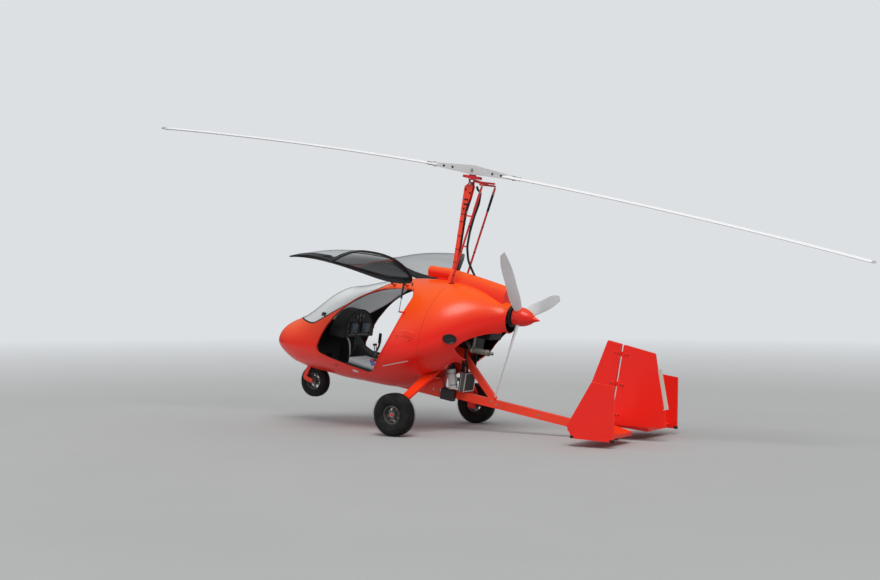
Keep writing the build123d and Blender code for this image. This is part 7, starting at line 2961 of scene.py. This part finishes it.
class Blades:
    """Caps on the blade tips, cuffs on their roots and rivet rows."""

    # Each sleeve's name, its two stations, how far it stands off, all in millimetres, and its finish
    SLEEVES = (
        ("tip_cap", 4236, 4262, 0.9, GRAINED_BLACK),
        ("root_cuff", 470, 520, 1.2, HUB_ALLOY),
    )

    def build(self) -> None:
        """Builds the caps, cuffs and rivets of both blades."""
        blades = Skin(["rotor_blades"])
        for name, way in (("fore", -1), ("aft", 1)):
            for part, inner, outer, grow, finish in self.SLEEVES:
                mesh = self.sleeve(blades, way * inner, way * outer, grow)
                if mesh:
                    seat_piece(f"{name}_blade_{part}", mesh, finish, Body.ROTOR)
            self.rivets(blades, name, way)
        LOG.info("blades: tip caps, cuffs and rivets")

    def section(self, skin: Skin, x: float, grow: float) -> list[Vector]:
        """The blade's section at a distance along it, grown by a little.

        Args:
            skin: The blades' surface.
            x: The station in millimetres.
            grow: How far the section grows, in millimetres.

        Returns:
            The section's points, or none where the blade is too small.
        """
        ys = [y * 2.0 for y in range(-64, 65)]
        pairs = []
        for y in ys:
            top = skin.above(x, y)
            low = skin.meet(mm(x, y, 1500), Z_AXIS)
            if top and low:
                pairs.append((top[0], low[0]))
        if len(pairs) < 8:
            return []
        pairs = pairs[:: max(1, len(pairs) // 22)]
        lift = Vector((0, 0, grow / 1000))
        upper = [p[0] + lift for p in pairs]
        lower = [p[1] - lift for p in reversed(pairs)]
        upper[0] += mm(0, -grow, 0)
        upper[-1] += mm(0, grow, 0)
        lower[0] += mm(0, grow, 0)
        lower[-1] += mm(0, -grow, 0)
        return upper + lower

    def sleeve(self, skin: Skin, start: float, end: float, grow: float) -> bpy.types.Mesh | None:
        """A closed sleeve over the blade between two stations.

        Args:
            skin: The blades' surface.
            start: The first station in millimetres.
            end: The last station.
            grow: How far the sleeve stands off, in millimetres.

        Returns:
            The mesh, or None where the two sections don't match.
        """
        first = self.section(skin, start, grow)
        last = self.section(skin, end, grow)
        count = min(len(first), len(last))
        if count < 8 or len(first) != len(last):
            return None
        return closed_mesh([*first, *last], loft_faces(2, count))

    def rivets(self, skin: Skin, name: str, way: int) -> None:
        """Adds rivet rows near one blade's root, above and below.

        Args:
            skin: The blades' surface.
            name: The blade's name.
            way: -1 for the fore blade, 1 for the aft one.
        """
        spots = []
        for x in range(590, 900, 38):
            for y in (-60, 40):
                hit = skin.meet(mm(way * x, y, 1500), Z_AXIS)
                top = skin.above(way * x, y)
                spots += [h for h in (hit, top) if h]
        seat_heads(f"{name}_blade_rivets", spots, Head.RIVET, (3.2, 1.2), BLADE_ALLOY, Body.ROTOR)


# Engine and propeller


class Powerplant:
    """Fins, covers, leads, hoses and bands of the engine and its helpers, and the spinner's screws."""

    # The cylinders' stations and height, in millimetres
    CYLINDERS = (232.0, 412.0)
    HEIGHT = 955.0
    # The roof intake's mouth and the way its duct runs from there
    INTAKE_MOUTH = mm(-332, 0, 1416)
    INTAKE_RUN = mm(312, 0, 12)
    SILENCER_AT = mm(420, -236, 735)
    RADIATOR_AT = mm(312, 0, 356)
    TANK_TOP = mm(152, -98, 462)
    TANK_FOOT = mm(213, -98, 263)
    SPINNER_BASE = mm(768, 0, 1140)
    SPINNER_SCREWS = 12

    def build(self) -> None:
        """Builds what the engine and its helpers carry."""
        for side, way in SIDES:
            for number, x in enumerate(self.CYLINDERS):
                self.cylinder(side, way, number, x)
        self.intake()
        self.silencer()
        self.radiator()
        self.tank()
        self.hoses()
        self.spinner()
        LOG.info("powerplant: fins, covers, leads, bands, hoses and spinner screws")

    def cylinder(self, side: str, way: int, number: int, x: float) -> None:
        """Adds one cylinder's thin fins, head cover and ignition lead.

        Args:
            side: The cylinder's side.
            way: -1 for port, 1 for starboard.
            number: Its number on that side.
            x: Its place along the machine, in millimetres.
        """
        out = Vector((0, way, 0))
        start = mm(x, way * 150, self.HEIGHT)
        fins = stack_of_plates(12, 8.5, (67.0, 67.0, 2.2), start, out, FIN_CAST, True)
        seat_piece(f"{side}_fins_{number}", fins, FIN_CAST)
        cover = rounded_block(mm(x, way * 286, self.HEIGHT), (0.104, 0.030, 0.096), 0.010)
        rib = rounded_block(mm(x, way * 300, self.HEIGHT), (0.072, 0.010, 0.060), 0.004)
        seat_piece(f"{side}_head_cover_{number}", joined([cover, rib]), ENGINE_CAST)
        corners = [(mm(x + a, way * 301, self.HEIGHT + b), out) for a in (-42, 42) for b in (-38, 38)]
        name = f"{side}_cover_bolts_{number}"
        seat_heads(name, corners, Head.SOCKET, (4.0, 4.0), BOLT_STEEL)
        plug = mm(x, way * 250, self.HEIGHT + 64)
        route = [mm(x + 20, way * 60, 1135), mm(x + 30, way * 120, 1160), mm(x + 10, way * 215, 1100), plug]
        lead = hose_form(smooth_path(route, 0.01), 0.0042, 10)
        seat_piece(f"{side}_plug_lead_{number}", lead, HOSE_RUBBER)
        boot = [(-2.0, 0.2), (-2.0, 9.0), (10.0, 9.0), (26.0, 6.0), (30.0, 5.0), (30.0, 0.2)]
        shape = turned_form(boot, plug - mm(0, 0, 6), Vector((0, -way * 0.25, 1)), 18)
        seat_piece(f"{side}_plug_boot_{number}", shape, HOSE_BLUE)

    def intake(self) -> None:
        """Adds the grille and the filter inside the roof intake and the band round its duct."""
        front = self.INTAKE_MOUTH
        axis = self.INTAKE_RUN.normalized()
        parts = []
        for radius in (14.0, 26.0, 38.0):
            ring = band_profile(18.0, 3.0, radius - 1.4, radius + 1.4)
            parts.append(turned_form(ring, front, axis, 40))
        parts.append(ring_of_bars(16, 30.0, (38.0, 1.8, 2.6), front + axis * 0.023, axis, SMOOTH_BLACK))
        seat_piece("intake_grille", joined(parts), SMOOTH_BLACK)
        cone = [(40.0, 0.1), (40.0, 30.0), (60.0, 46.0), (86.0, 48.0), (86.0, 0.1)]
        seat_piece("intake_filter", turned_form(cone, front, axis, 40), HOSE_RUBBER)
        band = band_profile(238.0, 12.0, 58.6, 61.0)
        seat_piece("intake_band", turned_form(band, front, axis, 56), BODY_PAINT)

    def silencer(self) -> None:
        """Adds the silencer's bands and tail pipe."""
        parts = []
        for start in (24.0, 196.0):
            parts.append(turned_form(band_profile(start, 12, 31.6, 34.0), self.SILENCER_AT, X_AXIS, 40))
        seat_piece("silencer_bands", joined(parts), BOLT_STEEL)
        tail = [(226.0, 12.0), (226.0, 16.0), (262.0, 16.0), (264.0, 14.6), (264.0, 12.0)]
        seat_piece("silencer_tail", turned_form(tail, self.SILENCER_AT, X_AXIS, 32), PIPE_STEEL)

    def radiator(self) -> None:
        """Adds the radiator's core fins and the pale bars of its frame."""
        middle = self.RADIATOR_AT
        for face, way in (("front", -1), ("rear", 1)):
            start = middle + mm(way * 24.6, -96, 0)
            core = stack_of_plates(49, 4.0, (2.4, 176.0, 1.0), start, Y_AXIS, CORE_BLACK, False)
            seat_piece(f"radiator_core_{face}", core, CORE_BLACK)
        parts = []
        for face in (-25, 25):
            for way in (-1, 1):
                parts.append(rounded_block(middle + mm(face, way * 102, 0), (0.008, 0.012, 0.200), 0.003))
                parts.append(rounded_block(middle + mm(face, 0, way * 95), (0.008, 0.208, 0.010), 0.003))
        seat_piece("radiator_frame", joined(parts), SILL_ALLOY)

    def tank(self) -> None:
        """Adds the oil tank's bands, cap and thin coloured pipes."""
        top = self.TANK_TOP
        axis = (self.TANK_FOOT - top).normalized()
        for number, start in enumerate((40.0, 160.0)):
            band = band_profile(start, 14, 45.6, 47.6)
            seat_piece(f"oil_tank_band_{number}", turned_form(band, top, axis, 48), BOLT_STEEL)
        cap = [(-16.0, 0.1), (-16.0, 17.0), (-13.0, 20.0), (-3.0, 20.0), (1.0, 18.0), (1.0, 0.1)]
        seat_piece("oil_tank_cap", turned_form(cap, top, axis, 32), GRAINED_BLACK)
        colours = (HOSE_BLUE, SEAL_RED, HOSE_RUBBER)
        for number, finish in enumerate(colours):
            x = 98 - 11 * number
            route = [mm(x + 20, -70, 240), mm(x, -92 - 6 * number, 300), mm(x - 4, -96, 380)]
            route += [mm(x + 26, -84, 470), mm(x + 60, -60, 560)]
            pipe = hose_form(smooth_path(route, 0.012), 0.0036, 8)
            seat_piece(f"thin_pipe_{number}", pipe, finish)

    def hoses(self) -> None:
        """Adds the coolant hoses from the radiator to the engine, with their ribs."""
        routes = (
            ((330, -72, 452), (332, -72, 500), (300, -90, 590), (286, -96, 680), (300, -80, 760)),
            ((330, 72, 452), (332, 72, 510), (320, 92, 600), (300, 96, 700), (300, 80, 780)),
        )
        for number, route in enumerate(routes):
            path = smooth_path([mm(*p) for p in route], 0.01)
            seat_piece(f"coolant_hose_{number}", hose_form(path, 0.0135, 16), HOSE_RUBBER)
            ribs = beads_along(path[2:-2], 9.0, (14.2, 14.2, 2.6), HOSE_RUBBER, ring=True)
            seat_piece(f"coolant_ribs_{number}", ribs, HOSE_RUBBER)

    def spinner(self) -> None:
        """Adds the screws round the spinner's base, in line with its skin."""
        skin = Skin(["spinner"])
        spots = []
        for k in range(self.SPINNER_SCREWS):
            angle = math.tau * (k + 0.4) / self.SPINNER_SCREWS
            way = Vector((0, -math.cos(angle), -math.sin(angle)))
            hit = skin.meet(self.SPINNER_BASE - way * 0.4, way)
            if hit:
                spots.append(hit)
        seat_heads("spinner_screws", spots, Head.PAN, (3.6, 2.0), BOLT_STEEL, Body.PROPELLER)


# Tail


class Tail:
    """Hinge brackets, rivet rows, the rudder's trim tab, the keel's bolts, and dark blocks of painted shade
    at the end fins' corners.
    """

    # The hinges' heights, and points along and up, all in millimetres
    HINGES = (390.0, 690.0, 990.0)
    FIN_OUTLINE = ((1963, 299), (1963, 1087), (1815, 1096), (1640, 310))
    RUDDER_OUTLINE = (
        (1989, 300),
        (1989, 1086),
        (2325, 1065),
        (2372, 934),
        (2517, 540),
        (2556, 376),
        (2050, 290),
    )
    END_FIN_OUTLINE = ((1955, 207), (1879, 310), (2061, 773), (2291, 779), (2374, 262))
    KEEL_BOLTS = (
        (1900, 200),
        (1950, 200),
        (1700, 200),
        (1200, 200),
        (700, 200),
        (640, 222),
        (200, 200),
        (-60, 200),
    )
    KEEL_BOSS = (40, 210)
    # The end fins' feet, where dark blocks stand as painted shade
    FIN_FEET = ((2356, 276), (1950, 226))

    def build(self) -> None:
        """Builds what the tail surfaces carry."""
        self.hinges()
        self.rivets()
        self.pale_bar()
        self.keel_end()
        self.tips()
        LOG.info("tail: hinges, rivets, pale bar and keel end")

    def hinges(self) -> None:
        """Adds a plate and bolts on the fin and on the rudder at each hinge."""
        places = (("centre_fin", Body.AIRFRAME, 1930, "fin"), ("rudder", Body.RUDDER, 2036, "rudder"))
        for node, body, x, name in places:
            skin = Skin([node])
            for face, way in FACES:
                plates, bolts = [], []
                for z in self.HINGES:
                    hit = skin.beside(x, z, way)
                    if hit is None:
                        continue
                    turn = frame_on(*hit, X_AXIS)
                    plate = rounded_block(Vector((0, 0, 0.0005)), (0.050, 0.034, 0.003), 0.0012)
                    plate.transform(turn)
                    plates.append(plate)
                    bolts += [(turn @ Vector((a, 0, 0.002)), hit[1]) for a in (-0.015, 0.015)]
                if plates:
                    seat_piece(f"{name}_hinge_plates_{face}", joined(plates), TAIL_PAINT, body)
                    seat_heads(f"{name}_hinge_bolts_{face}", bolts, Head.HEX, (4.2, 3.6), BOLT_BLACK, body)

    def rivets(self) -> None:
        """Adds rivet rows along the edges of the fin, rudder and end fins."""
        fin = evened(spread_loop(self.FIN_OUTLINE, -24), 62)
        rudder = evened(spread_loop(self.RUDDER_OUTLINE, -26), 66)
        end = evened(spread_loop(self.END_FIN_OUTLINE, -26), 62)
        loops = (
            ("centre_fin", Body.AIRFRAME, fin),
            ("rudder", Body.RUDDER, rudder),
            ("end_fins", Body.AIRFRAME, end),
        )
        for node, body, loop in loops:
            skin = Skin([node])
            for face, way in FACES:
                found = skin.hits(loop, way)
                if found:
                    seat_heads(f"{node}_rivets_{face}", found, Head.RIVET, (3.0, 1.3), TAIL_PAINT, body)

    def pale_bar(self) -> None:
        """Adds the pale trim tab on the rudder's trailing edge, with its rivets."""
        top, low = mm(2380, 0, 914), mm(2516, 0, 546)
        steps = 10
        path = [top.lerp(low, i / steps) for i in range(steps + 1)]
        back = Vector((low.z - top.z, 0, top.x - low.x)).normalized()
        if back.x < 0:
            back.negate()
        section = [(-6.4, -24), (-5.9, 0), (-2.2, 38), (-1.0, 40), (1.0, 40), (2.2, 38), (5.9, 0), (6.4, -24)]
        mesh = trim_form(path, [back] * len(path), section)
        seat_piece("rudder_trim_tab", mesh, BARE_BAR, Body.RUDDER)
        for face, way in FACES:
            out = Vector((0, way, 0))
            spots = [(p - back * 0.014 + out * 0.0061, out) for p in path[1:-1]]
            seat_heads(f"rudder_tab_rivets_{face}", spots, Head.RIVET, (2.6, 1.2), BARE_BAR, Body.RUDDER)

    def keel_end(self) -> None:
        """Adds the bolts along the keel and a boss on each of its faces."""
        keel = Skin(["keel_frame"])
        for face, way in FACES:
            found = keel.hits(self.KEEL_BOLTS, way)
            seat_heads(f"keel_bolts_{face}", found, Head.HEX, (7.5, 6.5), BOLT_STEEL)
            boss = keel.beside(*self.KEEL_BOSS, way)
            if boss:
                ring = [(-1.0, 8.0), (-1.0, 22.0), (4.0, 22.0), (6.0, 20.0), (6.0, 9.0), (5.0, 8.0)]
                mesh = turned_form(ring, boss[0], boss[1], 36)
                seat_piece(f"keel_boss_{face}", mesh, BOLT_STEEL)

    def tips(self) -> None:
        """Adds dark blocks at the end fins' feet, as painted shade in their corners."""
        skin = Skin(["end_fins"])
        for side, way in SIDES:
            for number, (x, z) in enumerate(self.FIN_FEET):
                hit = skin.beside(x, z, way)
                if hit is None:
                    continue
                block = rounded_block(mm(x, way * 780, z - 4), (0.040, 0.027, 0.030), 0.006)
                seat_piece(f"{side}_end_fin_corner_{number}", block, HOSE_RUBBER)


# Door hardware


class Hinges:
    """Caps on the door hinges' pins and collars on the gas struts."""

    # The struts' plane along the hinge line, and its pins outboard and up from that line
    PLANE_AT = 140.0
    DOOR_PIN = (46.0, -104.0)
    BODY_PIN = (166.0, -276.0)

    def build(self) -> None:
        """Builds the caps on the pins' ends and the struts' collars."""
        for side, way in SIDES:
            axis = hinge_axis(way)
            for number, station in enumerate((-83, 83)):
                for end, along in (("fore", station - 20.5), ("aft", station + 20.5)):
                    way_out = -axis if end == "fore" else axis
                    cap = [(0.0, 0.2), (0.0, 6.5), (2.0, 6.5), (3.4, 4.0), (3.8, 0.2)]
                    mesh = turned_form(cap, hinge_spot(along, way), way_out, 20)
                    seat_piece(f"{side}_hinge_cap_{number}_{end}", mesh, BOLT_STEEL)
            self.strut(side, way)

    def strut(self, side: str, way: int) -> None:
        """Adds the end collar of one gas strut's tube.

        Args:
            side: The strut's side.
            way: -1 for port, 1 for starboard.
        """
        angle = math.radians(DOOR_OPEN)
        out, up = self.DOOR_PIN
        pin = (out * math.cos(angle) - up * math.sin(angle), out * math.sin(angle) + up * math.cos(angle))
        top = self.plane_spot(way, pin)
        foot = self.plane_spot(way, self.BODY_PIN)
        axis = (foot - top).normalized()
        collar = [(180.0, 4.4), (180.0, 10.8), (188.0, 10.8), (192.0, 8.0), (192.0, 4.4)]
        mesh = turned_form(collar, top, axis, 24)
        seat_piece(f"{side}_strut_collar", mesh, STRUT_COAT, side_body("strut_tube", side))

    def plane_spot(self, way: int, point: Flat) -> Vector:
        """A point of the strut's plane, given outboard and up from the hinge line in millimetres.

        Args:
            way: -1 for port, 1 for starboard.
            point: Its distances outboard and up.

        Returns:
            The point, in metres.
        """
        out = Vector((-math.sin(HINGE_TOE), way * math.cos(HINGE_TOE), 0))
        rise = math.sin(HINGE_SLOPE)
        up = Vector((-rise * math.cos(HINGE_TOE), -way * rise * math.sin(HINGE_TOE), math.cos(HINGE_SLOPE)))
        return hinge_spot(self.PLANE_AT, way) + (out * point[0] + up * point[1]) / 1000


# Studio


class Studio:
    """The floor, the lamps, the world and the photograph's camera."""

    SENSOR = 36.0
    FLOOR_REACH = 80.0
    FLOOR_FADE = (7.0, 26.0)
    SKY_COLOUR = (0.72, 0.745, 0.77)
    MIRROR_LEVELS = (0.07, 0.50)
    LIGHT_LEVEL = 0.78
    SUN_POWER = 1.8
    SUN_SPREAD = math.radians(32)
    SUN_COLOUR = (1.0, 0.985, 0.96)
    SUN_FROM = Vector((0.35, -0.55, 0.95))
    FILL_POWER = 60
    FILL_SIZE = 6.0
    FILL_PLACE = Vector((-7.0, -8.0, 4.0))

    def build(self) -> None:
        """Builds everything round the machine."""
        self.camera()
        self.floor()
        self.world()
        self.lamps()

    def camera(self) -> None:
        """Places the camera where the photograph was taken from."""
        data = bpy.data.cameras.new("camera")
        data.sensor_width = self.SENSOR
        wide, tall = Sight.PICTURE
        data.lens = self.SENSOR * Sight.FOCUS / wide
        data.shift_y = -(tall / 2 - Sight.MIDDLE[1]) / wide
        data.clip_end = 500
        data.dof.use_dof = False
        item = linked("camera", data)
        turn = Matrix((Sight.ASIDE, Z_AXIS, -Sight.AHEAD)).transposed().to_4x4()
        item.matrix_world = Matrix.Translation(Sight.PLACE) @ turn
        bpy.context.scene.camera = item

    def floor(self) -> None:
        """Lays a wide grey floor that fades out before the horizon."""
        mesh = bpy.data.meshes.new("floor")
        far = self.FLOOR_REACH
        mesh.from_pydata([(-far, -far, 0), (far, -far, 0), (far, far, 0), (-far, far, 0)], [], [(0, 1, 2, 3)])
        bench = Bench("studio_floor")
        reach = bench.node("ShaderNodeVectorMath", {"operation": "LENGTH"}, {0: bench.spots}, "Value")
        tint = bench.mixed(bench.grain(0.5, 4.0), (0.42, 0.42, 0.42, 1.0), (0.46, 0.46, 0.455, 1.0))
        grit = bench.grain(90.0, 5.0, 0.7)
        bench.set(Base_Color=bench.mixed(grit * 0.25, tint, (0.30, 0.30, 0.295, 1.0)), Roughness=0.95)
        bench.set(Alpha=bench.span(reach, *self.FLOOR_FADE, 1.0, 0.0))
        bench.set(Specular_IOR_Level=0.1)
        mesh.materials.append(bench.material)
        item = linked("floor", mesh)

    def world(self) -> None:
        """Makes the pale surround, with its own level as seen, as reflected and as light."""
        world = bpy.data.worlds.new("studio")
        world.use_nodes = True
        graph = Graph(world.node_tree)
        background = world.node_tree.nodes["Background"]
        path = "ShaderNodeLightPath"
        seen = graph.node(path, {}, {}, "Is Camera Ray")
        mirrored_ray = graph.node(path, {}, {}, "Is Glossy Ray")
        through = graph.node(path, {}, {}, "Is Transmission Ray")
        chart = graph.node("ShaderNodeTexCoord", {}, {}, "Generated")
        height = graph.node("ShaderNodeSeparateXYZ", {}, {0: chart}, "Z")
        low, high = self.MIRROR_LEVELS
        values = {0: height, 1: -0.02, 2: 0.5, 3: low, 4: high}
        sky = graph.node("ShaderNodeMapRange", {"clamp": True}, values)
        seen_level = graph.node(Graph.MATH, {"operation": "MAXIMUM"}, {0: seen, 1: through})
        shown = mirrored_ray * sky
        level = graph.node(Graph.MATH, {"operation": "MAXIMUM"}, {0: seen_level, 1: shown})
        light = (1.0 - seen_level) * (1.0 - mirrored_ray) * self.LIGHT_LEVEL
        graph.feed(background.inputs["Strength"], level + light)
        background.inputs["Color"].default_value = rgba(self.SKY_COLOUR)
        bpy.context.scene.world = world

    def lamps(self) -> None:
        """Hangs one soft sun and one wide fill."""
        sun = bpy.data.lights.new("sun", "SUN")
        sun.energy = self.SUN_POWER
        sun.angle = self.SUN_SPREAD
        sun.color = self.SUN_COLOUR
        linked("sun", sun).matrix_world = aimed(self.SUN_FROM)
        fill = bpy.data.lights.new("fill", "AREA")
        fill.energy = self.FILL_POWER
        fill.size = self.FILL_SIZE
        place = Matrix.Translation(self.FILL_PLACE)
        linked("fill", fill).matrix_world = place @ aimed(self.FILL_PLACE)


def dress_nodes() -> None:
    """Gives every CAD node its finish."""
    for name, item in frame["nodes"].items():
        finish = NODE_FINISH.get(name)
        if finish is None:
            LOG.warning("no finish for %s", name)
            continue
        item.data.materials.clear()
        item.data.materials.append(finish.material())
    LOG.info("finishes on %d nodes", len(frame["nodes"]))


def main() -> None:
    """Builds the scene in order."""
    logging.basicConfig(level=logging.INFO, format="%(message)s")
    bpy.context.scene.view_settings.view_transform = "Standard"
    Studio().build()
    dress_nodes()
    Undercarriage().build()
    Seats().build()
    for side, way in SIDES:
        DoorTrim(side, way).build()
    Hinges().build()
    Glazing().build()
    Lining().build()
    BodyDetails().build()
    Cockpit().build()
    Mast().build()
    RotorHead().build()
    Blades().build()
    Powerplant().build()
    Tail().build()


def corners(box: Sequence[Sequence[float]]) -> list[list[float]]:
    """A box's two corners as plain lists."""
    return [[float(v) for v in corner] for corner in box]


if __name__ == "__main__":
    main()
